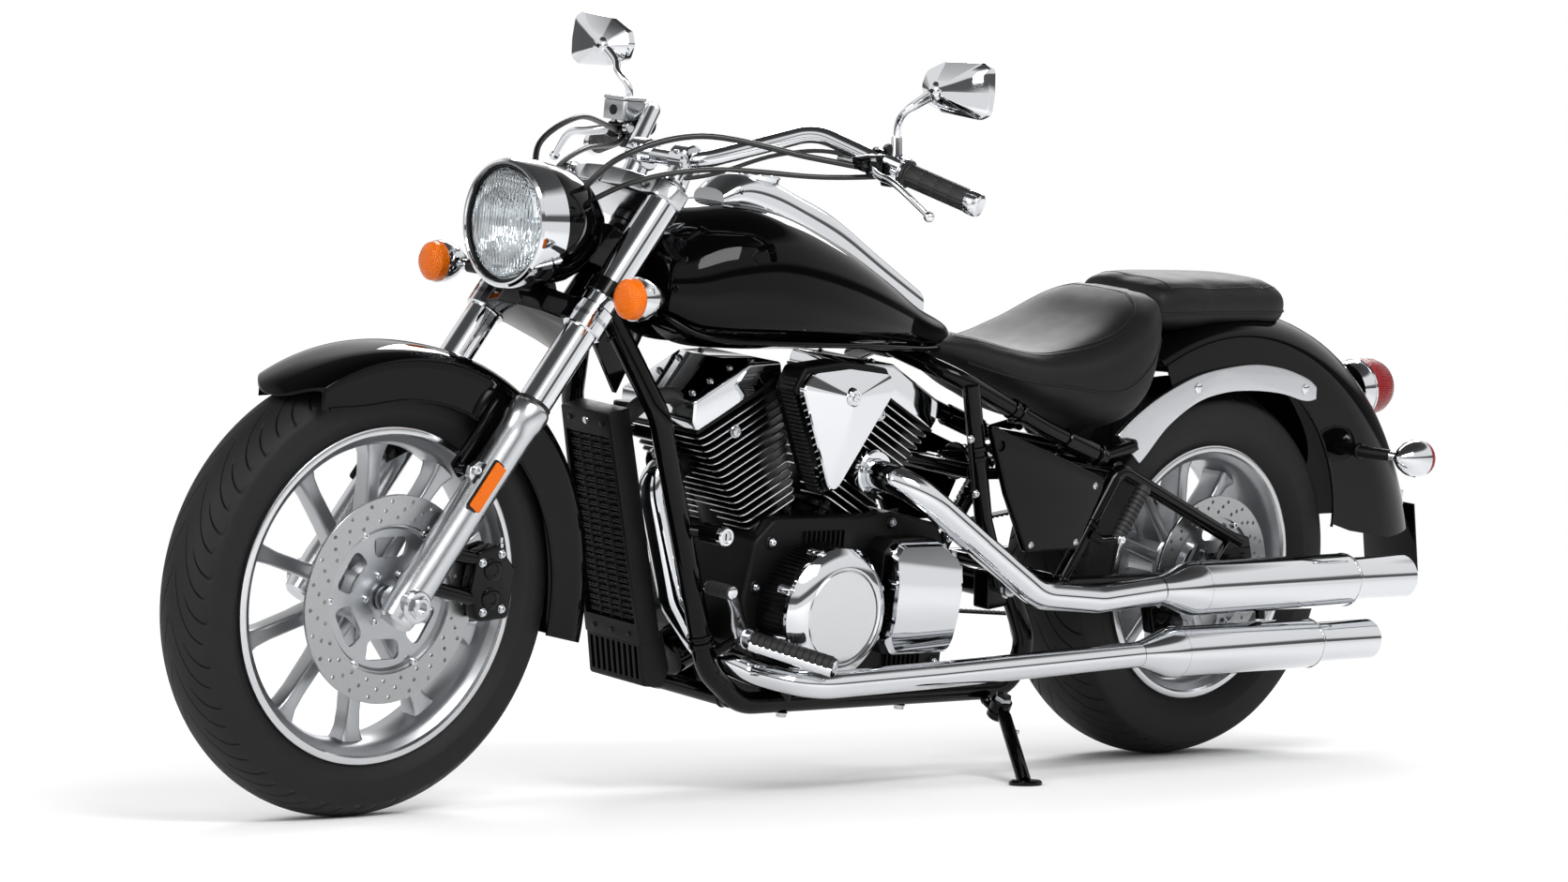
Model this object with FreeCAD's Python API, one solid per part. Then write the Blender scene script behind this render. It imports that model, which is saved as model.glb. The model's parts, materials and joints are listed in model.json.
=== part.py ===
import FreeCAD, Part
import os
from math import atan2, cos, degrees, hypot, pi, radians, sin, sqrt, tan

# A cruiser motorcycle with a V-twin engine, parked on its side stand, in millimetres.
# Every piece is drawn with the motorcycle upright: X forward from the rear axle, Y to the
# left, Z up from the floor. The finished pieces are then leaned over onto the stand.

V = FreeCAD.Vector
left = V(0, 1, 0)
up = V(0, 0, 1)

# Whole machine
wheelbase = 1700.0
lean_angle = 8.0
rake_angle = 35.5
fork_offset = 58.0
fit_gap = 0.4  # between a shaft and what turns on it
seat_gap = 0.3  # between two pieces that rest on each other

# Wheels and tyres
front_radius = 326.0
front_width = 115.0
front_crown = 73.0
front_lip = 243.0
front_rim_width = 102.0
rear_radius = 317.0
rear_width = 180.0
rear_crown = 154.0
rear_lip = 212.0
rear_rim_width = 162.0
lip_height = 15.0
lip_wall = 6.0
barrel_wall = 12.0
spoke_count = 10
front_hub_half = 60.0
front_hub_radius = 38.0
front_flange_radius = 52.0
rear_hub_half = 78.0
rear_hub_radius = 45.0
rear_flange_radius = 62.0
hub_seat = 9.0  # how far a disc or pulley reaches in over the hub's end
axle_radius = 14.0
axle_bore = 8.0
front_axle_reach = 142.0
fork_foot_out = 30.0  # from a leg's middle to the outer face of its foot
fork_foot_in = 28.0  # and to the inner face
rear_axle_reach = 168.0
disc_wall = 5.0
front_disc_radius = 150.0
front_disc_y = 73.0
rear_disc_radius = 132.0
rear_disc_y = 102.0
pulley_radius = 108.0
belt_width = 18.0
belt_wall = 5.0
drive_pulley_z = 300.0
drive_pulley_radius = 45.0
belt_y = -106.0

# Fork and steering head, measured up the fork legs from the front axle
leg_spread = 110.0
slider_radius = 27.0
slider_top = 343.0
fork_tube_radius = 22.0
lower_clamp_up = 480.0
lower_clamp_height = 40.0
top_clamp_up = 705.0
top_clamp_height = 30.0
fork_tube_top = 745.0
stem_radius = 17.0
clamp_boss_radius = 30.0
head_tube_radius = 30.0
head_clearance = 0.5

# Handlebar and what is on it
bar_radius = 13.0
bar_end_y = 430.0
bar_bend = 70.0
switch_box_radius = 24.0
grip_radius = 17.0
grip_inner_y = 300.0
riser_y = 48.0
mirror_y = 396.0
mirror_z = 1109.0
mirror_x = wheelbase - 699.0

# Lamps
headlight_x = wheelbase - 211.0
headlight_z = 857.0
headlight_radius = 94.0
front_signal_y = 223.0
rear_signal_y = 200.0
signal_radius = 30.0

# Frame tubes
rail_radius = 17.0
rail_y = 100.0
rail_z = 150.0
backbone_radius = 28.0
seat_rail_y = 134.0
seat_rail_radius = 14.0
swing_pivot_x = 520.0
swing_pivot_z = 318.0
swing_arm_y = 138.0
swing_arm_radius = 14.0
swing_tube_half = 108.0
swing_tube_radius = 22.0

# Engine
crank_x = 910.0
crank_z = 290.0
cylinder_angle = 27.5
fin_start = 165.0
fin_end = 352.0
fin_count = 15
fin_wall = 4.0
fin_depth = 85.0
barrel_radius = 60.0
case_half = 112.0
case_floor = 176.0
engine_mount_x = (crank_x - 210, crank_x + 40)
pushrod_y = 70.0
pushrod_radius = 9.0
clutch_x = crank_x + 15
drive_pulley_x = crank_x - 270
clutch_z = 296.0
clutch_radius = 97.0
clutch_y = 198.0
cover_bolts = 8
louvre_count = 9

# Rear shock absorber, between the swing arm's upper brace and the frame
shock_low = V(322, 0, 497)
shock_high = V(572, 0, 500)
shock_eye_radius = 13.0
shock_half = 13.0
spring_radius = 27.0
spring_wire = 8.0
spring_coils = 8

# Bodywork
tank_wall_y = 160.0
tank_wall = 3.0
seam_z = 696.0
seam_out = 4.0
fender_wall = 3.0
front_fender_half = 76.0
rear_fender_half = 112.0
strut_wall = 8.0

# Exhaust
pipe_radius = 22.5
port_radius = 29.0
upper_muffler_y = 230.0
upper_muffler_z = 322.0
lower_muffler_y = 240.0
lower_muffler_z = 222.0
muffler_radius = 44.0

# Plate holder
holder_top = V(-558, 0, 420)
holder_back = 590.0  # from the rear axle to the rearmost point of the machine

# Foot pegs
peg_x = wheelbase - 642.0
peg_z = 256.0
peg_pin_radius = 9.0

# Side stand, deployed
stand_pivot = V(520, 152, 134)
stand_reach = V(100, 165, 0)
stand_leg_radius = 11.0
stand_pin_radius = 8.0
stand_foot_wall = 8.0

lean = radians(lean_angle)
rake = radians(rake_angle)
origin_x = (wheelbase + front_radius - holder_back) / 2  # the middle of the length, from the rear axle
origin_y = mirror_z * sin(lean)  # the middle of the width, on the floor, from the wheels' plane
front_axle = V(wheelbase, 0, front_radius - front_crown + front_crown / cos(lean))
rear_axle = V(0, 0, rear_radius - rear_crown + rear_crown / cos(lean))
up_leg = V(-sin(rake), 0, cos(rake))
ahead = V(cos(rake), 0, sin(rake))


def at_fork(forward, sideways, along):
    """A point by its distance ahead of the front axle's leg line, to the left, and up the leg."""
    return front_axle + ahead * forward + left * sideways + up_leg * along


def at_cylinder(side, forward, along, sideways=0.0):
    """A point on a cylinder: side is 1 for the front one and -1 for the rear one."""
    tilt = radians(cylinder_angle) * side
    axis = V(sin(tilt), 0, cos(tilt))
    across = V(cos(tilt), 0, -sin(tilt)) * side
    return V(crank_x, sideways, crank_z) + axis * along + across * forward


def mirrored(shape):
    return shape.mirror(V(0, 0, 0), left)


def fused(*shapes):
    return shapes[0].fuse(list(shapes[1:])).removeSplitter()


def together(*shapes):
    solids = []
    for shape in shapes:
        solids += shape.Solids
    return Part.makeCompound(solids)


def rod(start, end, radius):
    return Part.makeCylinder(radius, (end - start).Length, start, end - start)


def ring(start, end, outer, inner):
    return rod(start, end, outer).cut(rod(start, end, inner))


def bent_wire(points, bend):
    """Straight runs joined by arcs of one radius, or as large as the runs allow."""
    edges = []
    last = points[0]
    for i in range(1, len(points) - 1):
        back = points[i - 1] - points[i]
        on = points[i + 1] - points[i]
        half = back.getAngle(on) / 2
        share_back = 0.95 if i == 1 else 0.49
        share_on = 0.95 if i == len(points) - 2 else 0.49
        cut = min(bend / tan(half), back.Length * share_back, on.Length * share_on)
        radius = cut * tan(half)
        back.normalize()
        on.normalize()
        middle = (back + on).normalize() * (hypot(cut, radius) - radius)
        start = points[i] + back * cut
        end = points[i] + on * cut
        edges.append(Part.LineSegment(last, start).toShape())
        edges.append(Part.Arc(start, points[i] + middle, end).toShape())
        last = end
    edges.append(Part.LineSegment(last, points[-1]).toShape())
    return Part.Wire(edges)


def pipe(points, radius, bend):
    circle = Part.Wire([Part.Circle(points[0], points[1] - points[0], radius).toShape()])
    return bent_wire(points, bend).makePipeShell([circle], True, False)


def plate(outline, y_low, y_high):
    """A flat piece from its side outline, a list of (x, z)."""
    points = [V(x, y_low, z) for x, z in outline]
    face = Part.Face(Part.makePolygon(points + points[:1]))
    return face.extrude(left * (y_high - y_low))


def revolved(profile, base, axis):
    """A turned piece from its profile, a list of (distance along the axis, radius)."""
    axis = V(axis).normalize()
    across = V(0, 0, 1) if abs(axis.z) < 0.9 else V(1, 0, 0)
    across = (across - axis * across.dot(axis)).normalize()
    points = [base + axis * along + across * radius for along, radius in profile]
    face = Part.Face(Part.makePolygon(points + points[:1]))
    return face.revolve(base, axis, 360)


def lofted(wires, ruled=False):
    return Part.makeLoft(wires, True, ruled)


def oval_wire(centre, half_width, half_height, power=0.8, count=12):
    """A rounded closed section across the machine: power 1 is an ellipse, less is squarer."""
    points = []
    for i in range(count):
        turn = 2 * pi * (i + 0.5) / count
        c, s = cos(turn), sin(turn)
        y = half_width * abs(c) ** power * (1 if c > 0 else -1)
        z = half_height * abs(s) ** power * (1 if s > 0 else -1)
        points.append(centre + V(0, y, z))
    curve = Part.BSplineCurve()
    curve.interpolate(points, PeriodicFlag=True)
    return Part.Wire([curve.toShape()])


# Wheels


def tyre(axle, radius, width, crown, lip, rim_width):
    """A solid tyre down to the rim's barrel, with a round tread and bulging walls."""
    tread_edge = radius - crown + sqrt(crown**2 - (width / 2) ** 2)
    seat = lip - lip_height + seat_gap
    bead = rim_width / 2 - lip_wall - seat_gap
    clear = lip + 3.0

    def at(y, r):
        return axle + V(0, y, r)

    tread = Part.Arc(at(-width / 2, tread_edge), at(0, radius), at(width / 2, tread_edge))
    wall_middle = (tread_edge + clear) / 2
    edges = [tread.toShape()]
    for side in (1, -1):
        outer = at(side * width / 2, tread_edge)
        wall = Part.Arc(outer, at(side * (width / 2 + 1.0), wall_middle), at(side * bead, clear))
        edges.append(wall.toShape())
        edges.append(Part.LineSegment(at(side * bead, clear), at(side * bead, seat)).toShape())
    edges.append(Part.LineSegment(at(bead, seat), at(-bead, seat)).toShape())
    face = Part.Face(Part.Wire(Part.__sortEdges__(edges)))
    return face.revolve(axle, left, 360)


def spoke(axle, hub, outer, hub_size, rim_size, turn):
    """One tapered spoke: each size is its width round the wheel and its depth along Y."""
    wires = []
    waist = hub + (outer - hub) * 0.72
    waist_size = (hub_size[0] - 3, (hub_size[1] + rim_size[1]) / 2)
    for radius, (wide, deep) in ((hub, hub_size), (waist, waist_size), (outer, rim_size)):
        corners = [V(-wide / 2, -deep / 2, 0), V(wide / 2, -deep / 2, 0)]
        corners += [V(wide / 2, deep / 2, 0), V(-wide / 2, deep / 2, 0)]
        points = [axle + V(0, 0, radius) + corner for corner in corners]
        wires.append(Part.makePolygon(points + points[:1]))
    piece = lofted(wires, True)
    piece.rotate(axle, left, turn)
    return piece


def cast_wheel(axle, lip, rim_width, hub_half, hub_radius, flange_radius, spoke_depth):
    """Rim barrel with lips, ten spokes and a bored hub."""
    half = rim_width / 2
    seat = lip - lip_height
    inside = seat - barrel_wall
    side = [(half, lip), (half - lip_wall, lip), (half - lip_wall, seat)]
    inner_side = [(half, seat - 5), (half - 18, inside), (0, inside)]
    profile = side + [(-y, r) for y, r in reversed(side)]
    profile += [(-y, r) for y, r in inner_side[:2]] + list(reversed(inner_side[:2]))
    rim = revolved(profile, axle, left)
    hub = rod(axle - left * hub_half, axle + left * hub_half, hub_radius)
    flange = rod(axle - left * (spoke_depth / 2), axle + left * (spoke_depth / 2), flange_radius)
    pieces = [flange]
    for i in range(spoke_count):
        hub_size = (22.0, spoke_depth - 4)
        rim_size = (46.0, spoke_depth * 0.72)
        turn = 360.0 * (i + 0.5) / spoke_count
        pieces.append(spoke(axle, flange_radius - 10, inside + 4, hub_size, rim_size, turn))
    bore = rod(axle - left * hub_half, axle + left * hub_half, axle_radius + fit_gap)
    return fused(rim, hub, *pieces).cut(bore)


def brake_disc(axle, y, radius, inner, hub, carrier_y):
    """A flat ring on a carrier with windows."""
    face = ring(axle + left * (y - disc_wall / 2), axle + left * (y + disc_wall / 2), radius, inner)
    low, high = sorted((carrier_y, y))
    carrier = ring(axle + left * low, axle + left * high, inner + 6, hub)
    for i in range(6):
        window = rod(axle + V(0, low - 1, (inner + hub) / 2), axle + V(0, high + 1, (inner + hub) / 2), 19)
        window.rotate(axle, left, 60.0 * i)
        carrier = carrier.cut(window)
    return fused(face, carrier)


def front_rim():
    hub = (front_hub_half, front_hub_radius, front_flange_radius)
    return cast_wheel(front_axle, front_lip, front_rim_width, *hub, 44.0)


def front_tyre():
    return tyre(front_axle, front_radius, front_width, front_crown, front_lip, front_rim_width)


def front_disc():
    hub = front_hub_radius - hub_seat
    return brake_disc(front_axle, front_disc_y, front_disc_radius, 104.0, hub, front_hub_half + seat_gap)


def rear_rim():
    hub = (rear_hub_half, rear_hub_radius, rear_flange_radius)
    return cast_wheel(rear_axle, rear_lip, rear_rim_width, *hub, 64.0)


def rear_tyre():
    return tyre(rear_axle, rear_radius, rear_width, rear_crown, rear_lip, rear_rim_width)


def rear_disc():
    hub = rear_hub_radius - hub_seat
    return brake_disc(rear_axle, rear_disc_y, rear_disc_radius, 92.0, hub, rear_hub_half + seat_gap)


def rear_pulley():
    wide = belt_width / 2 + 1
    centre = rear_axle + left * belt_y
    hub = rear_hub_radius - hub_seat
    web = ring(rear_axle - left * (rear_hub_half + seat_gap), centre - left * 6, pulley_radius - 6, hub)
    rim = ring(centre - left * wide, centre + left * wide, pulley_radius, pulley_radius - 12)
    return fused(rim, web)


# Steering: the fork and everything that turns with it


def fork_tubes():
    legs = []
    for side in (1, -1):
        y = side * leg_spread
        legs.append(rod(at_fork(0, y, slider_top + seat_gap), at_fork(0, y, fork_tube_top), fork_tube_radius))
    return together(*legs)


def fork_sliders():
    """Lower legs: a long tube, a collar at the top and a clamp round the axle."""
    legs = []
    for side in (1, -1):
        y = side * leg_spread
        tube = rod(at_fork(0, y, 0), at_fork(0, y, slider_top), slider_radius)
        collar = rod(at_fork(0, y, slider_top - 14), at_fork(0, y, slider_top), slider_radius + 3)
        foot = rod(at_fork(0, y - side * fork_foot_in, 0), at_fork(0, y + side * fork_foot_out, 0), slider_radius + 2)
        leg = fused(tube, collar, foot)
        hole = rod(at_fork(0, y - 60, 0), at_fork(0, y + 60, 0), axle_radius + seat_gap)
        legs.append(leg.cut(hole))
    return together(*legs)


def front_axle_shaft():
    """A hollow axle with a spacer at each side of the hub and a head at each end."""
    reach = front_axle_reach
    shaft = rod(front_axle - left * reach, front_axle + left * reach, axle_radius)
    pieces = []
    for side in (1, -1):
        inner = front_axle + left * side * (front_hub_half + fit_gap)
        outer = front_axle + left * side * (leg_spread - fork_foot_in - seat_gap)
        pieces.append(rod(inner, outer, 20.0))
        outside = leg_spread + fork_foot_out + seat_gap
        pieces.append(
            rod(front_axle + left * side * outside, front_axle + left * side * (reach + 6), 17.0)
        )
    bore = rod(front_axle - left * (reach + 7), front_axle + left * (reach + 7), axle_bore)
    return fused(shaft, *pieces).cut(bore)


def triple_clamps():
    """Lower and upper clamp joined by the stem that turns in the steering head."""
    pieces = []
    for along, height in ((lower_clamp_up, lower_clamp_height), (top_clamp_up, top_clamp_height)):
        base = at_fork(0, 0, along)
        corners = [(-78, 22), (-78, -22), (-26, -120), (26, -120), (34, -50), (34, 50), (26, 120), (-26, 120)]
        points = [base + ahead * p + left * y for p, y in corners]
        bridge = Part.Face(Part.makePolygon(points + points[:1])).extrude(up_leg * height)
        bridge = bridge.fuse(rod(head_axis(along), head_axis(along + height), clamp_boss_radius))
        for side in (1, -1):
            y = side * leg_spread
            boss = rod(at_fork(0, y, along), at_fork(0, y, along + height), clamp_boss_radius)
            hole = rod(at_fork(0, y, along - 1), at_fork(0, y, along + height + 1), fork_tube_radius + seat_gap)
            bridge = bridge.fuse(boss).cut(hole)
        pieces.append(bridge)
    stem = rod(at_fork(-fork_offset, 0, lower_clamp_up), at_fork(-fork_offset, 0, top_clamp_up + 38), stem_radius)
    return fused(*pieces, stem)


def below_fork_plane(along):
    """A thick slab under a plane square to the fork legs, to trim what stands on a clamp."""
    corners = [(-200, -200), (200, -200), (200, 200), (-200, 200)]
    points = [at_fork(p, y, along) for p, y in corners]
    return Part.Face(Part.makePolygon(points + points[:1])).extrude(up_leg * -80)


def riser_base(side):
    return at_fork(-fork_offset + 4, side * riser_y, top_clamp_up + top_clamp_height - 12)


bar_centre = V(wheelbase - 504, 0, 962)
bar_peak = V(wheelbase - 634, 181, 1023)
bar_turn = V(wheelbase - 697, 300, 980)
bar_end = V(wheelbase - 735, bar_end_y, 945)


def bar_points():
    inner = bar_centre + left * (riser_y + 24)
    side = [inner, bar_peak, bar_turn, bar_end]
    other = [V(p.x, -p.y, p.z) for p in reversed(side)]
    return other + side


def handlebar():
    bar = pipe(bar_points(), bar_radius, bar_bend)
    pieces = [bar]
    for side in (1, -1):
        top = bar_centre + left * side * riser_y
        pieces.append(rod(riser_base(side), top, 16.0))
        pieces.append(rod(top - left * 17, top + left * 17, 24.0))
    return fused(*pieces).cut(below_fork_plane(top_clamp_up + top_clamp_height + seat_gap))


def along_grip(y):
    """A point on the bar's straight end, by its distance from the middle."""
    share = (abs(y) - bar_turn.y) / (bar_end.y - bar_turn.y)
    point = bar_turn + (bar_end - bar_turn) * share
    return V(point.x, y, point.z)


def grips():
    pieces = []
    for side in (1, -1):
        start = along_grip(side * (grip_inner_y + 12))
        end = along_grip(side * (bar_end_y - 2))
        grip = rod(start, end, grip_radius).cut(rod(start, end, bar_radius + seat_gap))
        pieces.append(grip)
    return together(*pieces)


def hand_controls():
    """Switch box, lever bracket and lever on each side, with the brake fluid box on the right."""
    pieces = []
    for side in (1, -1):
        inner = along_grip(side * (grip_inner_y - 18))
        outer = along_grip(side * (grip_inner_y + 11))
        box = rod(inner, outer, switch_box_radius)
        pivot = inner + V(38, side * 6, -4)
        bracket = rod(inner + V(0, side * 8, 0), pivot, 11.0)
        tip = V(bar_end.x + 87, side * (bar_end_y - 10), bar_end.z - 20)
        lever = pipe([pivot, pivot + V(22, side * 40, -10), tip], 5.0, 40)
        ball = Part.makeSphere(8.0, tip)
        piece = fused(box, bracket, lever, ball)
        if side < 0:
            corner = inner + V(2, -8, 12)
            piece = piece.fuse(Part.makeBox(52, 44, 40, corner))
        pieces.append(piece.cut(pipe(bar_points(), bar_radius + seat_gap, bar_bend)))
    return together(*pieces)


def mirrors():
    pieces = []
    for side in (1, -1):
        base = along_grip(side * (grip_inner_y - 2)) + V(6, 0, switch_box_radius - 2)
        head = V(mirror_x, side * mirror_y, mirror_z)
        points = [base, base + V(8, side * 4, 42), head + V(24, -side * 46, -24), head + V(8, 0, -4)]
        stem = pipe(points, 5.5, 40)
        wires = []
        for x, grow in ((-14, 1.0), (6, 1.0), (20, 0.62)):
            wires.append(oval_wire(head + V(x, 0, 0), 70 * grow, 43 * grow, 0.62))
        box = rod(along_grip(side * 200), along_grip(side * 340), switch_box_radius + seat_gap)
        pieces.append(fused(stem, lofted(wires)).cut(box))
    return together(*pieces)


def headlight():
    centre = V(headlight_x, 0, headlight_z)
    profile = [(8, 0), (6, 40), (0, 86), (0, headlight_radius), (-42, headlight_radius), (-44, 88)]
    profile += [(-80, 84), (-120, 68), (-150, 46), (-166, 18), (-168, 0)]
    shell = revolved(profile, centre, V(1, 0, 0))
    clamp_top = lower_clamp_up + lower_clamp_height
    foot = rod(at_fork(20, 0, clamp_top - 12), centre + V(-64, 0, -67), 12.0)
    return shell.fuse(foot).removeSplitter().cut(below_fork_plane(clamp_top + seat_gap))


def signal_lamp(centre, forward):
    """A round lens with a bullet behind it, pointing forward (1) or back (-1)."""
    profile = [(10, 0), (8, 16), (0, signal_radius), (-14, signal_radius + 2), (-40, 24), (-62, 10), (-66, 0)]
    return revolved(profile, centre, V(forward, 0, 0))


def front_signals():
    pieces = []
    for side in (1, -1):
        centre = V(wheelbase - 265, side * front_signal_y, 776)
        leg = at_fork(0, side * (leg_spread + 8), 548)
        stalk = rod(leg, centre + V(-24, 0, 0), 8.0)
        hole = rod(at_fork(0, side * leg_spread, 500), at_fork(0, side * leg_spread, 600), fork_tube_radius + seat_gap)
        pieces.append(fused(signal_lamp(centre, 1), stalk).cut(hole))
    return together(*pieces)


def arch_section(axle, turn, half_width, edge, shoulder, crown):
    """One section of a fender: upright walls, a round crown and a thin wall."""

    def at(y, r):
        return axle + V(r * cos(turn), y, r * sin(turn))

    outer_foot = at(half_width, edge)
    outer_top = at(half_width, shoulder)
    inner_half = half_width - fender_wall
    wire = [
        Part.LineSegment(outer_foot, outer_top).toShape(),
        Part.Arc(outer_top, at(0, crown), at(-half_width, shoulder)).toShape(),
        Part.LineSegment(at(-half_width, shoulder), at(-half_width, edge)).toShape(),
        Part.LineSegment(at(-half_width, edge), at(-inner_half, edge)).toShape(),
        Part.LineSegment(at(-inner_half, edge), at(-inner_half, shoulder)).toShape(),
        Part.Arc(at(-inner_half, shoulder), at(0, crown - fender_wall), at(inner_half, shoulder)).toShape(),
        Part.LineSegment(at(inner_half, shoulder), at(inner_half, edge)).toShape(),
        Part.LineSegment(at(inner_half, edge), outer_foot).toShape(),
    ]
    return Part.Wire(wire)


def fender(axle, half_width, stations):
    """A shell round a wheel from its stations: angle, edge, shoulder and crown radius."""
    wires = []
    for turn, edge, shoulder, crown in stations:
        wires.append(arch_section(axle, radians(turn), half_width, edge, shoulder, crown))
    return lofted(wires)


front_stations = [
    (57, 326, 330, 338),
    (62, 306, 333, 345),
    (75, 284, 336, 352),
    (90, 282, 339, 358),
    (110, 284, 343, 366),
    (135, 287, 346, 378),
    (160, 291, 346, 386),
    (180, 296, 346, 392),
    (192, 300, 346, 398),
]
front_fender_bill = 95.0  # radius of its front end, seen from above

rear_stations = [
    (64, 345, 385, 425),
    (90, 340, 395, 433),
    (115, 335, 398, 460),
    (140, 318, 402, 498),
    (160, 298, 408, 534),
    (173, 277, 416, 562),
]


def front_fender():
    shell = fender(front_axle, front_fender_half, front_stations)
    tip = front_axle + V(front_stations[0][3] * cos(radians(front_stations[0][0])), 0, 0)
    bill = rod(tip - V(front_fender_bill, 0, 0), tip + V(-front_fender_bill, 0, 500), front_fender_bill)
    reach = front_fender_half + 5
    ahead = Part.makeBox(200, 2 * reach, 500, V(tip.x - front_fender_bill, -reach, tip.z))
    shell = shell.cut(ahead.cut(bill))
    pieces = []
    for side in (1, -1):
        corners = [at_fork(p, 0, s) for p, s in ((-34, 332), (40, 328), (34, 206), (8, 206))]
        stay = plate([(c.x, c.z) for c in corners], front_fender_half - 3, front_fender_half + 2)
        bolt = rod(at_fork(20, front_fender_half, 218), at_fork(20, leg_spread, 218), 9.0)
        leg = rod(at_fork(0, leg_spread, 0), at_fork(0, leg_spread, slider_top + 1), slider_radius + seat_gap)
        collar_low = at_fork(0, leg_spread, slider_top - 16)
        collar = rod(collar_low, at_fork(0, leg_spread, slider_top + 1), slider_radius + 3 + seat_gap)
        bracket = stay.fuse(bolt).cut(leg).cut(collar)
        pieces.append(bracket if side > 0 else mirrored(bracket))
    return fused(shell, *pieces)


def front_caliper():
    """A block astride the disc, behind the left leg, hung on the slider."""
    middle = front_axle + V(-158, 0, 24)
    outline = [(-34, -52), (20, -56), (38, -10), (30, 46), (-6, 56), (-40, 20)]
    outline = [(middle.x + x, middle.z + z) for x, z in outline]
    body = plate(outline, front_disc_y - 14, front_disc_y + 36)
    slot = ring(
        front_axle + left * (front_disc_y - 7.5),
        front_axle + left * (front_disc_y + 7.5),
        front_disc_radius + 7,
        60,
    )
    leg_hole = rod(at_fork(0, leg_spread, 0), at_fork(0, leg_spread, slider_top), slider_radius + seat_gap)
    lugs = []
    for along, height in ((92, 44), (36, 14)):
        lugs.append(rod(V(middle.x + 6, leg_spread - 6, middle.z + height), at_fork(-6, leg_spread - 6, along), 11.0))
    return fused(body, *lugs).cut(slot).cut(leg_hole)


def reflectors():
    pieces = []
    for side in (1, -1):
        low = at_fork(0, side * (leg_spread + slider_radius), 160)
        corners = [low + ahead * p + up_leg * s for p, s in ((-11, 0), (11, 0), (11, 78), (-11, 78))]
        face = Part.Face(Part.makePolygon(corners + corners[:1]))
        piece = face.extrude(left * side * 8)
        leg = rod(at_fork(0, side * leg_spread, 100), at_fork(0, side * leg_spread, 300), slider_radius + seat_gap)
        pad = face.extrude(left * side * -6)
        pieces.append(piece.fuse(pad).cut(leg))
    return together(*pieces)


def control_cables():
    """Clutch cable, throttle cables and brake hose, from the bar down behind the headlight."""
    runs = []
    held = [hand_controls(), headlight()]
    for side in (1, -1):
        start = along_grip(side * (grip_inner_y - 10)) + V(34, 0, -4)
        lamp = V(headlight_x, 0, headlight_z)
        points = [start, start + V(76, -side * 64, 10), lamp + V(-239, side * 140, 149)]
        points += [lamp + V(-127, side * 92, 109), lamp + V(-89, side * 40, 39)]
        runs.append(pipe(points, 4.5, 70).cut(held))
    return together(*runs)


# Frame and what is fixed to it


def head_axis(along):
    return at_fork(-fork_offset, 0, along)


head_low = lower_clamp_up + lower_clamp_height + head_clearance
head_high = top_clamp_up - head_clearance


def down_tube(side, room=0.0):
    y = side * rail_y
    points = [
        V(wheelbase - 400, side * 30, 728),
        V(wheelbase - 453, y, 589),
        V(wheelbase - 545, y, 340),
        V(wheelbase - 592, y, 206),
        V(wheelbase - 666, y, rail_z),
        V(474, side * 114, rail_z + 2),
        V(456, side * seat_rail_y, 222),
        V(504, side * seat_rail_y, swing_pivot_z - 8),
    ]
    return pipe(points, rail_radius + room, 85)


strut_outer = rear_fender_half + seat_gap + strut_wall


def strut_bolt(side, y):
    """Where a fender strut is bolted to the frame."""
    return V(256, side * y, 540)


radiator_tube = V(wheelbase - 464, 0, 560)


def seat_rail_points(side):
    y = side * seat_rail_y
    return [V(706, side * 14, 684), V(660, y - side * 8, 650), V(467, y, 572), V(324, y, 522)]


def backbone_points():
    return [head_axis(640), V(wheelbase - 580, 0, 772), V(830, 0, 714), V(690, 0, 692)]


def frame():
    """Steering head, backbone, twin cradle, seat rails and cross tubes as one welded piece."""
    head = rod(head_axis(head_low), head_axis(head_high), head_tube_radius)
    pieces = [head, pipe(backbone_points(), backbone_radius, 200)]
    for side in (1, -1):
        y = side * seat_rail_y
        pieces.append(down_tube(side))
        pieces.append(pipe(seat_rail_points(side), seat_rail_radius, 60))
        post = [V(640, y, 640), V(582, y, 426), V(534, y, swing_pivot_z + 6)]
        pieces.append(pipe(post, seat_rail_radius, 60))
        pieces.append(pivot_plate(side))
        pieces.append(rod(V(330, y, 524), V(256, side * 133, 540), 10))
        pieces.append(rod(strut_bolt(side, strut_outer + seat_gap), strut_bolt(side, seat_rail_y), 12))
        for x in engine_mount_x:
            pieces.append(rod(V(x, side * rail_y, rail_z), V(x, side * rail_y, case_floor - seat_gap), 12))
        pieces.append(rod(V(420, y, 554.5), V(350, y, 531), seat_rail_radius + 4))
        tab = V(560, y, 500)
        pieces.append(rod(V(600, y, 500), tab, 9))
        pieces.append(rod(tab - left * side * 6, tab + left * side * seat_rail_radius, 8))
    low_cross = V(wheelbase - 648, 0, rail_z + 8)
    pieces.append(rod(low_cross - left * rail_y, low_cross + left * rail_y, seat_rail_radius))
    pieces.append(rod(V(600, -rail_y, rail_z), V(600, rail_y, rail_z), seat_rail_radius))
    pieces.append(rod(V(334, -seat_rail_y, 526), V(334, seat_rail_y, 526), seat_rail_radius - 2))
    pieces.append(rod(V(600, -seat_rail_y, 500), V(600, seat_rail_y, 500), seat_rail_radius - 2))
    pieces.append(rod(radiator_tube - left * rail_y, radiator_tube + left * rail_y, 10))
    pivot = V(swing_pivot_x, 0, swing_pivot_z)
    pieces.append(rod(pivot - left * (seat_rail_y + 14), pivot + left * (seat_rail_y + 14), 9.0))
    pieces.append(stand_boss())
    pieces += shock_lugs(V(600, 0, 500), shock_high)
    gusset = [head_axis(head_low + 24), V(wheelbase - 448, 0, 610), V(wheelbase - 520, 0, 760)]
    gusset.append(head_axis(head_high - 60))
    pieces.append(plate([(p.x, p.z) for p in gusset], -5, 5))
    bore = rod(head_axis(head_low - 1), head_axis(head_high + 1), stem_radius + fit_gap)
    return fused(*pieces).cut(bore)


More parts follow.
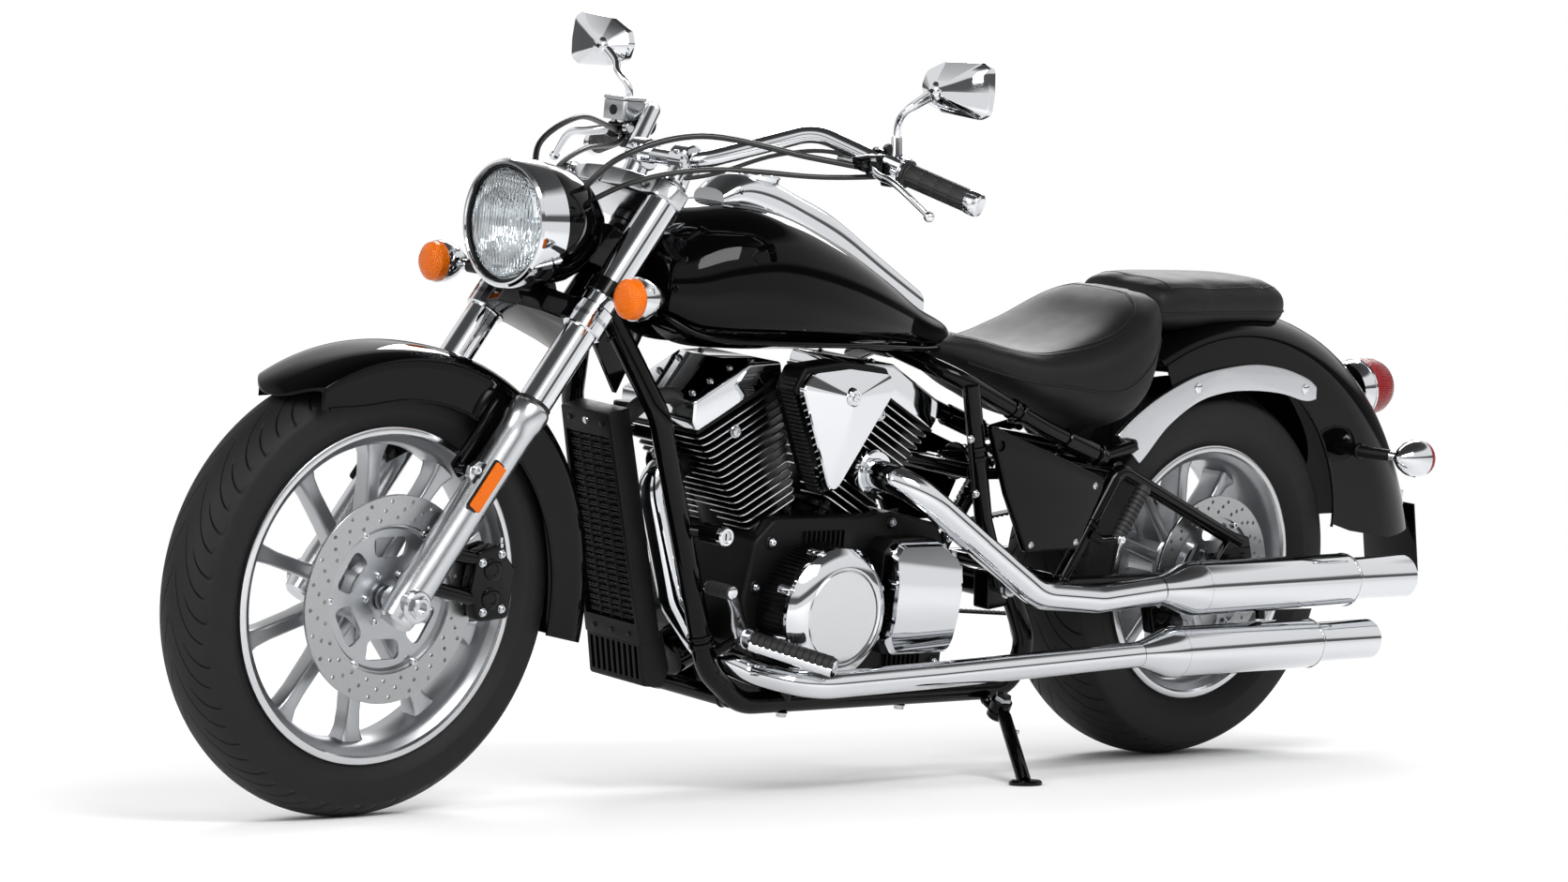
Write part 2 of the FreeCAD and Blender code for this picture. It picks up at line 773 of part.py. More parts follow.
def pivot_plate(side, room=0.0):
    """The plate beside the swing arm's pivot."""
    low, high = sorted((side * (swing_tube_half + seat_gap), side * (seat_rail_y + 6 + room)))
    outline = [(496, 300), (510, 290), (560, 284), (566, 346), (520, 346), (498, 336)]
    return plate(outline, low, high)


def shock_lugs(tube, bolt):
    """Two ears on a cross tube and the bolt through them."""
    pieces = [rod(bolt - left * (shock_half + 9), bolt + left * (shock_half + 9), 6.0)]
    for side in (1, -1):
        low, high = sorted((side * (shock_half + seat_gap), side * (shock_half + 6)))
        end = 1 if bolt.x > tube.x else -1
        outline = [(tube.x, tube.z - 10), (bolt.x + end * 10, bolt.z - 8), (bolt.x + end * 10, bolt.z + 8)]
        pieces.append(plate(outline + [(tube.x, tube.z + 10)], low, high))
    return pieces


def rear_shock():
    """Damper, rod and coil spring, with an eye at each end."""
    axis = (shock_high - shock_low).normalize()
    length = (shock_high - shock_low).Length
    spring_start = 50.0
    spring_end = length - 52
    pieces = [rod(shock_low, shock_high, 7.0)]
    pieces.append(rod(shock_low + axis * (length / 2), shock_high - axis * 16, 17.0))
    for start in (spring_start - 7, spring_end):
        pieces.append(rod(shock_low + axis * start, shock_low + axis * (start + 7), spring_radius + 3))
    pitch = (spring_end - spring_start) / spring_coils
    for i in range(spring_coils):
        start = spring_start + pitch * i
        profile = [(start, 6.0), (start + 2, spring_radius - 2), (start + 4, spring_radius)]
        profile += [(start + spring_wire, spring_radius), (start + spring_wire + 2, spring_radius - 2)]
        profile.append((start + spring_wire + 4, 6.0))
        pieces.append(revolved(profile, shock_low, axis))
    eyes = []
    for place in (shock_low, shock_high):
        pieces.append(rod(place - left * shock_half, place + left * shock_half, shock_eye_radius))
        eyes.append(rod(place - left * 30, place + left * 30, 6.0 + seat_gap))
    return fused(*pieces).cut(eyes)


def swingarm():
    """A triangulated rear arm whose upper tube carries on the line of the seat rail."""
    pieces = []
    for side in (1, -1):
        y = side * swing_arm_y
        start = V(swing_pivot_x - 10, side * (swing_tube_half - 16), swing_pivot_z)
        elbow = V(468, side * (swing_tube_half - 10), swing_pivot_z)
        pieces.append(pipe([start, elbow, V(424, y, swing_pivot_z), rear_axle + V(26, y, 0)], swing_arm_radius, 60))
        high = V(290, y, 505)
        pieces.append(rod(high, V(-16, y, 378), swing_arm_radius - 2))
        pieces.append(rod(high, V(404, y, swing_pivot_z), swing_arm_radius - 2))
        outline = [(-46, 296), (-50, 350), (-36, 388), (0, 396), (36, 352), (40, 296), (0, 284)]
        pieces.append(plate(outline, y - 8, y + 8))
    pieces.append(rod(V(372, -swing_arm_y, swing_pivot_z), V(372, swing_arm_y, swing_pivot_z), 13))
    pieces.append(rod(V(290, -swing_arm_y, 505), V(290, swing_arm_y, 505), 12))
    pieces += shock_lugs(V(290, 0, 505), shock_low)
    pivot = V(swing_pivot_x, 0, swing_pivot_z)
    pieces.append(rod(pivot - left * swing_tube_half, pivot + left * swing_tube_half, swing_tube_radius))
    bolt = rod(pivot - left * 200, pivot + left * 200, 9.0 + seat_gap)
    whole = fused(*pieces).cut(bolt)
    hole = rod(rear_axle - left * 200, rear_axle + left * 200, axle_radius + seat_gap)
    return whole.cut(hole)


def rear_axle_shaft():
    reach = rear_axle_reach
    shaft = rod(rear_axle - left * reach, rear_axle + left * reach, axle_radius)
    pieces = []
    inside = swing_arm_y - 8 - seat_gap
    outside = swing_arm_y + 8 + seat_gap
    for side in (1, -1):
        at = left * side
        pieces.append(rod(rear_axle + at * (rear_hub_half + fit_gap), rear_axle + at * inside, 20.0))
        pieces.append(rod(rear_axle + at * outside, rear_axle + at * (outside + 12), 19.0))
    bore = rod(rear_axle - left * (reach + 1), rear_axle + left * (reach + 1), axle_bore)
    return fused(shaft, *pieces).cut(bore)


def rear_caliper():
    middle = rear_axle + V(112, 0, -60)
    outline = [(-40, -30), (30, -34), (44, 10), (20, 44), (-36, 34)]
    outline = [(middle.x + x, middle.z + z) for x, z in outline]
    body = plate(outline, rear_disc_y - 9, rear_disc_y + 17)
    slot = ring(
        rear_axle + left * (rear_disc_y - 7.5),
        rear_axle + left * (rear_disc_y + 7.5),
        rear_disc_radius + 6,
        50,
    )
    stay = rod(middle + V(20, 0, 24) + left * (rear_disc_y + 12), V(middle.x + 30, swing_arm_y, rear_axle.z), 8.0)
    arm = rod(V(424, swing_arm_y, swing_pivot_z), rear_axle + V(20, swing_arm_y, 0), swing_arm_radius + seat_gap)
    carrier = rod(rear_axle, rear_axle + left * 130, 104)
    return body.fuse(stay).cut(slot).cut(arm).cut(carrier)


def drive_belt():
    """A toothed belt from the gearbox to the rear wheel, shown as one loop."""
    low = belt_y - belt_width / 2
    front = V(drive_pulley_x, low, drive_pulley_z)
    back = V(0, low, rear_axle.z)
    front_radius_out = drive_pulley_radius + seat_gap + belt_wall
    back_radius_out = pulley_radius + fit_gap + belt_wall

    def loop(small, large):
        between = back - front
        angle = atan2(between.z, between.x)
        spread = atan2(large - small, between.Length)
        points = []
        for centre, radius in ((front, small), (back, large)):
            for side in (1, -1):
                turn = angle + side * (pi / 2 + spread)
                points.append(centre + V(cos(turn), 0, sin(turn)) * radius)
        direction = V(between).normalize()
        a, b, c, d = points
        edges = [
            Part.LineSegment(a, c).toShape(),
            Part.Arc(c, back + direction * large, d).toShape(),
            Part.LineSegment(d, b).toShape(),
            Part.Arc(b, front - direction * small, a).toShape(),
        ]
        return Part.Face(Part.Wire(edges)).extrude(left * belt_width)

    outer = loop(front_radius_out, back_radius_out)
    return outer.cut(loop(front_radius_out - belt_wall, back_radius_out - belt_wall))


def from_crank(outline):
    """Points (x, z) of an outline whose x is measured from the crankshaft."""
    return [(crank_x + x, z) for x, z in outline]


def engine_case():
    """Crankcase and gearbox with the sump between the lower rails."""
    outline = [(-288, case_floor), (74, case_floor), (124, 240), (148, 310), (132, 400), (94, 434)]
    outline += [(-94, 434), (-150, 440), (-250, 420), (-292, 360)]
    case = plate(from_crank(outline), -case_half, case_half)
    sump = plate(from_crank([(-270, 142), (50, 142), (68, case_floor + 2), (-280, case_floor + 2)]), -78, 78)
    inner = belt_y + belt_width / 2 + 6
    pulley = V(drive_pulley_x, 0, drive_pulley_z)
    room = rod(pulley + left * inner, pulley - left * 200, drive_pulley_radius + belt_wall + 8)
    behind = [(-80, 230), (0, 241), (0, 359), (-80, 370)]
    room = room.fuse(plate([(pulley.x + x, z) for x, z in behind], -200, inner))
    drive = rod(pulley + left * (inner + 4), pulley + left * (belt_y - belt_width / 2 - 2), drive_pulley_radius)
    return fused(case, sump).cut(room).fuse(drive).removeSplitter()


def cylinder(side):
    """One finned barrel and head."""
    base = at_cylinder(side, 0, fin_start - 40)
    core = rod(base, at_cylinder(side, 0, fin_end), barrel_radius)
    pieces = [core]
    pitch = (fin_end - fin_start) / fin_count
    for i in range(fin_count):
        along = fin_start + pitch * i
        half = 52 + 38.0 * i / (fin_count - 1)
        corner = 22.0
        outline = []
        for sx, sy in ((1, 1), (-1, 1), (-1, -1), (1, -1)):
            first = (sx * half, sy * (fin_depth - corner))
            second = (sx * (half - corner), sy * fin_depth)
            outline += [first, second] if sx * sy > 0 else [second, first]
        points = [at_cylinder(side, p, along, y) for p, y in outline]
        axis = at_cylinder(side, 0, 1) - at_cylinder(side, 0, 0)
        fin = Part.Face(Part.makePolygon(points + points[:1])).extrude(axis * fin_wall)
        pieces.append(fin)
    start, way = exhaust_port(side)
    pieces.append(rod(start - way * 50, start, port_radius))
    for forward in (-34, 10):
        foot = at_cylinder(side, forward, fin_start - 46, pushrod_y)
        pieces.append(rod(foot, at_cylinder(side, forward, fin_start + 2, pushrod_y), pushrod_radius))
    return fused(*pieces).cut(engine_case())


def exhaust_port(side):
    """Where a header meets its cylinder, and the way it points."""
    if side > 0:
        across = (at_cylinder(1, 1, 0) - at_cylinder(1, 0, 0)).normalize()
        return at_cylinder(1, 100, 290), across
    return V(crank_x - 110, fin_depth + 6, 500), left


def head_covers():
    pieces = []
    for side in (1, -1):
        outline = [(-92, fin_end), (92, fin_end), (94, 372), (80, 400), (-40, 402), (-98, 376)]
        half = fin_depth - 1
        points = [at_cylinder(side, p, s, -half) for p, s in outline]
        block = Part.Face(Part.makePolygon(points + points[:1])).extrude(left * 2 * half)
        pieces.append(block)
    return together(*pieces)


air_box_outline = from_crank([(111, 637), (92, 662), (19, 669), (-70, 660), (-80, 635), (32, 470)])


def air_box():
    box = plate(air_box_outline, fin_depth + seat_gap, 150)
    duct = rod(V(crank_x + 6, 30, 570), V(crank_x + 6, fin_depth + 4, 570), 34)
    return fused(box, duct)


def air_cover():
    wires = []
    centre = V(crank_x + 15, 0, 600)
    for y, grow in ((150 + seat_gap, 1.0), (172, 0.97), (186, 0.84)):
        points = [centre + V((x - centre.x) * grow, y, (z - centre.z) * grow) for x, z in air_box_outline]
        wires.append(Part.makePolygon(points + points[:1]))
    return lofted(wires, True)


def clutch_cover():
    base = V(clutch_x, case_half + seat_gap, clutch_z)
    deep = clutch_y - case_half
    profile = [(0, 0), (0, clutch_radius + 4), (deep - 24, clutch_radius), (deep - 10, clutch_radius - 8)]
    profile += [(deep - 4, 72), (deep - 4, 0)]
    pieces = [revolved(profile, base, left)]
    for i in range(cover_bolts):
        turn = 2 * pi * (i + 0.5) / cover_bolts
        spot = base + V(cos(turn), 0, sin(turn)) * (clutch_radius + 1)
        pieces.append(rod(spot, spot + left * (deep - 22), 7.0))
    return fused(*pieces)


def case_covers():
    """The rounded rear cover on the left and the round cover on the right."""
    inner = case_half + seat_gap
    outline = from_crank([(-242, 228), (-120, 228), (-104, 250), (-104, 384), (-120, 400),
                          (-210, 400), (-246, 372), (-246, 246)])
    middle = V(crank_x - 175, 0, 314)
    wires = []
    for y, grow in ((inner, 1.0), (168, 1.0), (182, 0.9)):
        points = [middle + V((x - middle.x) * grow, y, (z - middle.z) * grow) for x, z in outline]
        wires.append(Part.makePolygon(points + points[:1]))
    rear = lofted(wires, True)
    clutch_room = rod(V(clutch_x, inner - 1, clutch_z), V(clutch_x, 200, clutch_z), clutch_radius + 8 + seat_gap)
    base = V(crank_x, -inner, crank_z)
    profile = [(0, 0), (0, 112), (44, 106), (62, 84), (66, 0)]
    right = revolved(profile, base, V(0, -1, 0))
    return together(rear.cut(clutch_room), right)


def radiator():
    """A narrow core with side tanks, ahead of the down tubes, and a louvred guard below."""
    top = V(wheelbase - 432, 0, 596)
    low = V(wheelbase - 528, 0, 250)
    along = (low - top).normalize()
    face = V(-along.z, 0, along.x)
    length = (low - top).Length
    points = []
    for s, y in ((0, 58), (length, 66), (length, -66), (0, -58)):
        points.append(top + along * s + left * y)
    core = Part.Face(Part.makePolygon(points + points[:1])).extrude(face * 42)
    points = []
    for s, y in ((34, 50), (length - 30, 57), (length - 30, -57), (34, -50)):
        points.append(top + along * s + left * y + face * 37)
    recess = Part.Face(Part.makePolygon(points + points[:1])).extrude(face * 10)
    outline = [(-4, 12), (40, 0), (24, -74), (-16, -78), (-26, -50)]
    guard = plate([(low.x + x, low.z + z) for x, z in outline], -62, 62)
    outline = [(low.x + x, low.z + z) for x, z in ((18, -14), (50, -18), (34, -68), (8, -64))]
    slots = []
    for i in range(louvre_count):
        y = -50 + 100 * i / (louvre_count - 1)
        slots.append(plate(outline, y - 2.5, y + 2.5))
    brackets = [rod(radiator_tube + V(0, y, 0), radiator_tube + V(34, y, 0), 8.0) for y in (-40, 40)]
    lug = rod(radiator_tube - left * 60, radiator_tube + left * 60, 10 + seat_gap)
    return fused(core.cut(recess), guard.cut(slots), *brackets).cut(lug)


tank_stations = [
    (1232, 86, 722, 836),
    (1196, 116, 696, 860),
    (1150, 138, 685, 888),
    (1080, 154, 682, 903),
    (1000, tank_wall_y, 682, 890),
    (900, 152, 684, 853),
    (800, 130, 684, 806),
    (700, 92, 682, 758),
    (612, 46, 684, 728),
]


def tank_body(grow=0.0, stations=tank_stations):
    """The tank's skin, or one that lies outside it by so much."""
    wires = []
    for x, half, low, high in stations:
        x += grow if x == stations[0][0] else -grow if x == stations[-1][0] else 0.0
        wires.append(oval_wire(V(x, 0, (low + high) / 2), half + grow, (high - low) / 2 + grow, 0.72))
    return lofted(wires)


def tank_tunnel(grow=0.0):
    """The room under the tank for the backbone, the steering head and the side tubes."""
    half = backbone_radius + 3 + grow
    spine = pipe(backbone_points()[:-1] + [V(560, 0, 672)], half, 200)
    head = rod(head_axis(head_low - 60), head_axis(head_high + 60), head_tube_radius + 8 + grow)
    outline = [(wheelbase - 400, 600), (wheelbase - 400, 780), (wheelbase - 580, 772), (830, 714), (560, 672)]
    slot = plate(outline + [(560, 600)], -half, half)
    rails = [pipe(seat_rail_points(side), seat_rail_radius + seat_gap + grow, 60) for side in (1, -1)]
    tubes = [down_tube(side, 3 + grow) for side in (1, -1)]
    return [spine, head, slot] + rails + tubes


def fuel_tank():
    """A pressed shell with a seam flange, open below over the frame's backbone."""
    body = tank_body()
    band = plate([(680, seam_z), (1225, seam_z), (1225, seam_z + 5), (680, seam_z + 5)], -200, 200)
    flange = tank_body(seam_out).common(band)
    cavity = tank_body(-tank_wall, tank_stations[:-1]).cut(tank_tunnel(tank_wall))
    return fused(body, flange).cut(tank_tunnel()).cut(cavity)


def tank_console():
    stations = [(1100, 34, 886, 920), (1064, 44, 880, 944), (1010, 46, 866, 940), (940, 42, 846, 916)]
    stations += [(850, 34, 806, 882), (740, 24, 756, 822), (640, 14, 716, 768)]
    wires = []
    for x, half, low, high in stations:
        wires.append(oval_wire(V(x, 0, (low + high) / 2), half, (high - low) / 2, 0.8))
    return lofted(wires).cut(tank_body(seat_gap))


def rider_seat():
    stations = [(664, 70, 676, 716), (560, 108, 640, 704), (452, 150, 596, 692), (335, 172, 560, 728)]
    stations += [(250, 160, 590, 772), (196, 120, 690, 794)]
    wires = []
    for x, half, low, high in stations:
        wires.append(oval_wire(V(x, 0, (low + high) / 2), half, (high - low) / 2, 0.62))
    pad = lofted(wires).cut(tank_body(seat_gap))
    for side in (1, -1):
        pad = pad.cut(pipe(seat_rail_points(side), seat_rail_radius + seat_gap, 60))
    return pad


def passenger_seat():
    stations = [(186, 96, 716, 800), (130, 108, 718, 804), (0, 106, 720, 806), (-110, 98, 722, 804)]
    stations.append((-150, 80, 730, 790))
    wires = []
    for x, half, low, high in stations:
        wires.append(oval_wire(V(x, 0, (low + high) / 2), half, (high - low) / 2, 0.6))
    return lofted(wires).cut(rear_fender_room())


def rear_fender():
    return fender(rear_axle, rear_fender_half, rear_stations)


def fender_struts():
    """A curved bar along each side of the rear fender, bolted to the frame."""
    pieces = []
    inner = rear_fender_half + seat_gap
    outer_curve = [(276, 552), (200, 600), (104, 655), (-10, 668), (-110, 664), (-196, 644)]
    inner_curve = [(-190, 602), (-110, 622), (-10, 624), (96, 610), (180, 556), (222, 512)]
    side = plate(outer_curve + inner_curve, inner, inner + strut_wall)
    for at in (side, mirrored(side)):
        pieces.append(at)
    return together(*pieces)


def tail_light():
    base = rear_axle + V(-412, 0, 292)
    profile = [(0, 0), (0, 46), (30, 50), (62, 46), (84, 26), (92, 0)]
    return revolved(profile, base, V(-1, 0, 0.12)).cut(rear_fender_room())


def rear_fender_room():
    """The space under the rear fender's outer skin, which pieces seated on it keep out of."""
    wires = []
    for turn, edge, shoulder, crown in rear_stations:
        t = radians(turn)
        half = rear_fender_half + seat_gap
        low = rear_axle + V(edge * cos(t), half, edge * sin(t))
        top = rear_axle + V(shoulder * cos(t), half, shoulder * sin(t))
        peak = rear_axle + V((crown + seat_gap) * cos(t), 0, (crown + seat_gap) * sin(t))
        other_top = V(top.x, -top.y, top.z)
        other_low = V(low.x, -low.y, low.z)
        edges = [
            Part.LineSegment(low, top).toShape(),
            Part.Arc(top, peak, other_top).toShape(),
            Part.LineSegment(other_top, other_low).toShape(),
            Part.LineSegment(other_low, low).toShape(),
        ]
        wires.append(Part.Wire(edges))
    return lofted(wires)


def rear_signals():
    pieces = []
    for side in (1, -1):
        centre = V(-388, side * rear_signal_y, 523)
        root = V(-330, side * (rear_fender_half - 10), 523)
        stalk = rod(root, centre + V(24, 0, 0), 8.0)
        pieces.append(fused(signal_lamp(centre, -1), stalk).cut(rear_fender_room()))
    return together(*pieces)


def plate_bracket():
    """A bare plate holder below the tail light, with two holes."""
    top = holder_top
    outline = [(top.x + 2, top.z), (top.x - 2, top.z), (-holder_back, top.z - 120), (4 - holder_back, top.z - 120)]
    holder = plate(outline, -60, 60)
    arm = rod(V(-520, 0, 440), V(-562, 0, 400), 9.0)
    return fused(holder, arm).cut(rear_fender_room())


def side_covers():
    outline = [(618, 586), (567, 566), (445, 528), (345, 494), (345, 478), (391, 380), (508, 378), (564, 470)]
    cover = plate(outline, seat_rail_y + seat_rail_radius + seat_gap, seat_rail_y + seat_rail_radius + 14)
    return together(cover, mirrored(cover))


def muffler(start, end, radius):
    """A stepped silencer with an open end."""
    axis = end - start
    length = axis.Length
    profile = [(0, 14), (0, pipe_radius), (70, radius), (length - 150, radius), (length - 140, radius - 8)]
    profile += [(length, radius - 8), (length, radius - 12), (length - 120, radius - 12), (length - 120, 14)]
    return revolved(profile, start, axis)


def lower_muffler(grow=0.0):
    start = V(312, lower_muffler_y, lower_muffler_z)
    return muffler(start, V(-251, lower_muffler_y, lower_muffler_z + 4), muffler_radius - 3 + grow)


def exhaust_upper():
    start = V(268, upper_muffler_y, upper_muffler_z)
    port, way = exhaust_port(-1)
    points = [port + way * seat_gap, port + way * 84, V(crank_x - 267, 188, 399), V(crank_x - 392, 204, 318)]
    points += [V(400, 222, 310), start]
    header = pipe(points, pipe_radius, 90)
    body = muffler(start, V(-336, upper_muffler_y, upper_muffler_z + 6), muffler_radius)
    collar = rod(port + way * 6, port + way * 16, pipe_radius + 13)
    hanger = rod(V(486, 144, 304), V(452, 200, 312), 7.0)
    hanger = hanger.cut(down_tube(1, seat_gap)).cut(pivot_plate(1, seat_gap))
    link = rod(V(20, 233, upper_muffler_z - 30), V(20, 236, lower_muffler_z + muffler_radius), 8.0)
    return fused(header, body, collar, hanger, link).cut(lower_muffler(seat_gap))


def exhaust_lower():
    start = V(312, lower_muffler_y, lower_muffler_z)
    port, way = exhaust_port(1)
    points = [port + way * seat_gap, port + way * 42]
    for x, y, z in ((216, 30, 300), (170, 56, 226), (126, 124, 204), (90, 226, 199), (-146, 228, 205)):
        points.append(V(crank_x + x, y, z))
    points.append(start)
    header = pipe(points, pipe_radius - 2, 60)
    return fused(header, lower_muffler())


def foot_controls():
    """Gear lever on the left and brake pedal on the right, with their pivots."""
    pieces = []
    for side in (1, -1):
        hub = ring(peg_root(side, 122), peg_root(side, 134), 16.0, peg_pin_radius + seat_gap)
        points = [V(10, side * 128, 8), V(42, side * 146, 46), V(82, side * 172, 80)]
        arm = pipe([peg_root(side, 0) + point for point in points], 6.0, 60)
        toe = rod(peg_root(side, 178) + V(82, 0, 80), peg_root(side, 124) + V(82, 0, 80), 11.0)
        pieces.append(fused(hub, arm, toe))
    return together(*pieces)


def peg_root(side, y):
    return V(peg_x, side * y, peg_z)


def foot_pegs():
    pieces = []
    for side in (1, -1):
        pin = rod(peg_root(side, 108), peg_root(side, 146), peg_pin_radius)
        bracket = rod(peg_root(side, 104) + V(60, 0, -24), peg_root(side, 112), 10.0)
        peg = rod(peg_root(side, 142), peg_root(side, 266) + V(-58, 0, -20), 14.0)
        front = fused(pin, bracket, peg)
        folded = rod(V(266, side * 176, 481), V(320, side * 176, 396), 13.0)
        arm = pipe([V(350, side * swing_arm_y, 405), V(336, side * 160, 393), V(318, side * 176, 398)], 8.0, 20)
        upright = rod(V(290, side * swing_arm_y, 505), V(404, side * swing_arm_y, swing_pivot_z), swing_arm_radius - 2)
        pieces += [front.cut(down_tube(side)), fused(folded, arm).cut(upright)]
    return together(*pieces)


def ignition_lock():
    """The lock's barrel on an arm from the left down tube."""
    place = V(wheelbase - 538, 0, 420)
    barrel = rod(place + left * 128, place + left * 178, 15.0)
    arm = rod(place + V(22, 100, 0), place + left * 136, 9.0)
    return fused(barrel, arm).cut(down_tube(1, seat_gap))


# Side stand


def unleaned(point):
    """A point given on the leaned machine, back in the upright frame."""
    return V(point.x, point.y * cos(lean) - point.z * sin(lean), point.y * sin(lean) + point.z * cos(lean))


def leaned(point):
    return V(point.x, point.y * cos(lean) + point.z * sin(lean), -point.y * sin(lean) + point.z * cos(lean))


def stand_foot():
    """The middle of the foot's sole, on the floor when the machine leans."""
    spot = stand_pivot + stand_reach
    return V(spot.x, spot.y, spot.y * tan(lean))


stand_down = (stand_foot() - stand_pivot).normalize()
stand_stowed = V(-0.98, 0.18, 0.05).normalize()
stand_axis = stand_down.cross(stand_stowed).normalize()
stand_swing = degrees(stand_down.getAngle(stand_stowed))


def stand_boss():
    """Lug on the lower left rail and the pin that carries the stand."""
    half = 9.0
    low = stand_pivot - stand_axis * (half + seat_gap)
    high = stand_pivot + stand_axis * (half + seat_gap)
    pin = rod(low - stand_axis * 14, high + stand_axis * 6, stand_pin_radius)
    lug = rod(low - stand_axis * 14, low, 17.0)
    head = rod(high, high + stand_axis * 8, 14.0)
    rail_point = V(stand_pivot.x, rail_y + 6, rail_z)
    middle = low - stand_axis * 7
    inboard = rail_point - middle
    inboard = (inboard - stand_axis * inboard.dot(stand_axis)).normalize()
    knee = middle + inboard * 29
    web = rod(middle, knee, 6.5)
    return fused(pin, lug, head, web, rod(knee, rail_point, 8.0), Part.makeSphere(8.0, knee))


def side_stand():
    half = 9.0
    eye = rod(stand_pivot - stand_axis * half, stand_pivot + stand_axis * half, 17.0)
    foot = stand_foot()
    neck = rod(stand_pivot + stand_down * 8, stand_pivot + stand_down * 34, half - 1)
    leg = rod(stand_pivot + stand_down * 24, foot + stand_down * -4, stand_leg_radius)
    floor_up = unleaned(up)
    pad = rod(foot, foot + floor_up * stand_foot_wall, 26.0)
    below = rod(foot - floor_up * 60, foot, 80.0)
    hole = rod(stand_pivot - stand_axis * 20, stand_pivot + stand_axis * 20, stand_pin_radius + fit_gap)
    return fused(eye, neck, leg, pad).cut(hole).cut(below)


parts = {
    "frame": frame,
    "swingarm": swingarm,
    "rear_axle": rear_axle_shaft,
    "rear_shock": rear_shock,
    "rear_caliper": rear_caliper,
    "drive_belt": drive_belt,
    "engine_case": engine_case,
    "front_cylinder": lambda: cylinder(1),
    "rear_cylinder": lambda: cylinder(-1),
    "head_covers": head_covers,
    "air_cleaner_box": air_box,
    "air_cleaner_cover": air_cover,
    "clutch_cover": clutch_cover,
    "case_covers": case_covers,
    "radiator": radiator,
    "fuel_tank": fuel_tank,
    "tank_console": tank_console,
    "rider_seat": rider_seat,
    "passenger_seat": passenger_seat,
    "rear_fender": rear_fender,
    "fender_struts": fender_struts,
    "tail_light": tail_light,
    "rear_signals": rear_signals,
    "plate_bracket": plate_bracket,
    "side_covers": side_covers,
    "exhaust_upper": exhaust_upper,
    "exhaust_lower": exhaust_lower,
    "foot_controls": foot_controls,
    "foot_pegs": foot_pegs,
    "ignition_lock": ignition_lock,
    "fork_tubes": fork_tubes,
    "fork_sliders": fork_sliders,
    "triple_clamps": triple_clamps,
    "handlebar": handlebar,
    "grips": grips,
    "hand_controls": hand_controls,
    "mirrors": mirrors,
    "headlight": headlight,
    "front_signals": front_signals,
    "front_fender": front_fender,
    "front_axle": front_axle_shaft,
    "front_caliper": front_caliper,
    "reflectors": reflectors,
    "control_cables": control_cables,
    "front_rim": front_rim,
    "front_tyre": front_tyre,
    "front_disc": front_disc,
    "rear_rim": rear_rim,
    "rear_tyre": rear_tyre,
    "rear_disc": rear_disc,
    "rear_pulley": rear_pulley,
    "side_stand": side_stand,
}


def row_point(point):
    """A point of the upright machine as it stands on the floor, from the part's own origin."""
    return leaned(point) - V(origin_x, origin_y, 0)


def build():
    os.makedirs("parts", exist_ok=True)
    for name, make in parts.items():
        shape = make()
        shape.rotate(V(0, 0, 0), V(1, 0, 0), -lean_angle)
        shape.translate(V(-origin_x, -origin_y, 0))
        shape.exportStep(f"parts/{name}.step")
        print(name, len(shape.Solids), round(shape.Volume / 1e3, 1), shape.isValid())


def report_joints():
    """Where the joints turn, in metres in the part's own frame."""
    lines = {
        "steering": (head_axis(0), up_leg),
        "front_wheel": (front_axle, left),
        "rear_wheel": (rear_axle, left),
        "side_stand": (stand_pivot, stand_axis),
    }
    for name, (point, axis) in lines.items():
        place = row_point(point) * 0.001
        way = leaned(axis)
        print("joint", name, [round(c, 6) for c in place], [round(c, 6) for c in way])
    print("stand swing", round(stand_swing, 2))


build()
report_joints()
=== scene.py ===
import bpy
import bmesh
import json
from math import atan2, cos, hypot, pi, radians, sin, sqrt, tan
from mathutils import Matrix, Vector
from mathutils.bvhtree import BVHTree

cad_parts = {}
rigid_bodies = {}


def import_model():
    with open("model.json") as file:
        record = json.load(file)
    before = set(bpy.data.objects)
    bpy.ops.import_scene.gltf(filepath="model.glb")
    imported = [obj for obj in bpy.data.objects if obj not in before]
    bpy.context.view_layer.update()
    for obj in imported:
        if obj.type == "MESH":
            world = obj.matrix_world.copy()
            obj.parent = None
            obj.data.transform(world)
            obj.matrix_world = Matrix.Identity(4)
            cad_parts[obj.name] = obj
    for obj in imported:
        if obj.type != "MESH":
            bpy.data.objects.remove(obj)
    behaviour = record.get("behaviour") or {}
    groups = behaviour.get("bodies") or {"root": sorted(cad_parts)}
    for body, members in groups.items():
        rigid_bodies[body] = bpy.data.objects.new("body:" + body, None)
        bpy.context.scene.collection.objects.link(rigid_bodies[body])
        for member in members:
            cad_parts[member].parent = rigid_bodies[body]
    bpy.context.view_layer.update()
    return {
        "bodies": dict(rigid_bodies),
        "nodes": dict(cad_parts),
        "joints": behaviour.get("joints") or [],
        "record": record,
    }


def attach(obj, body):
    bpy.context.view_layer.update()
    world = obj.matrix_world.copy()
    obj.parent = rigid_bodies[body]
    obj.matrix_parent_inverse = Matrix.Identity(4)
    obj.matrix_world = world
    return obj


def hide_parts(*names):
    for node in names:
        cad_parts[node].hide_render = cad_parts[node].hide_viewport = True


# A cruiser motorcycle on its side stand. Shapes are drawn in millimetres with the machine upright:
# x forward from the rear axle, y to the left, z up from the floor. gather() leans them onto the stand.
print("loading the frame")
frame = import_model()

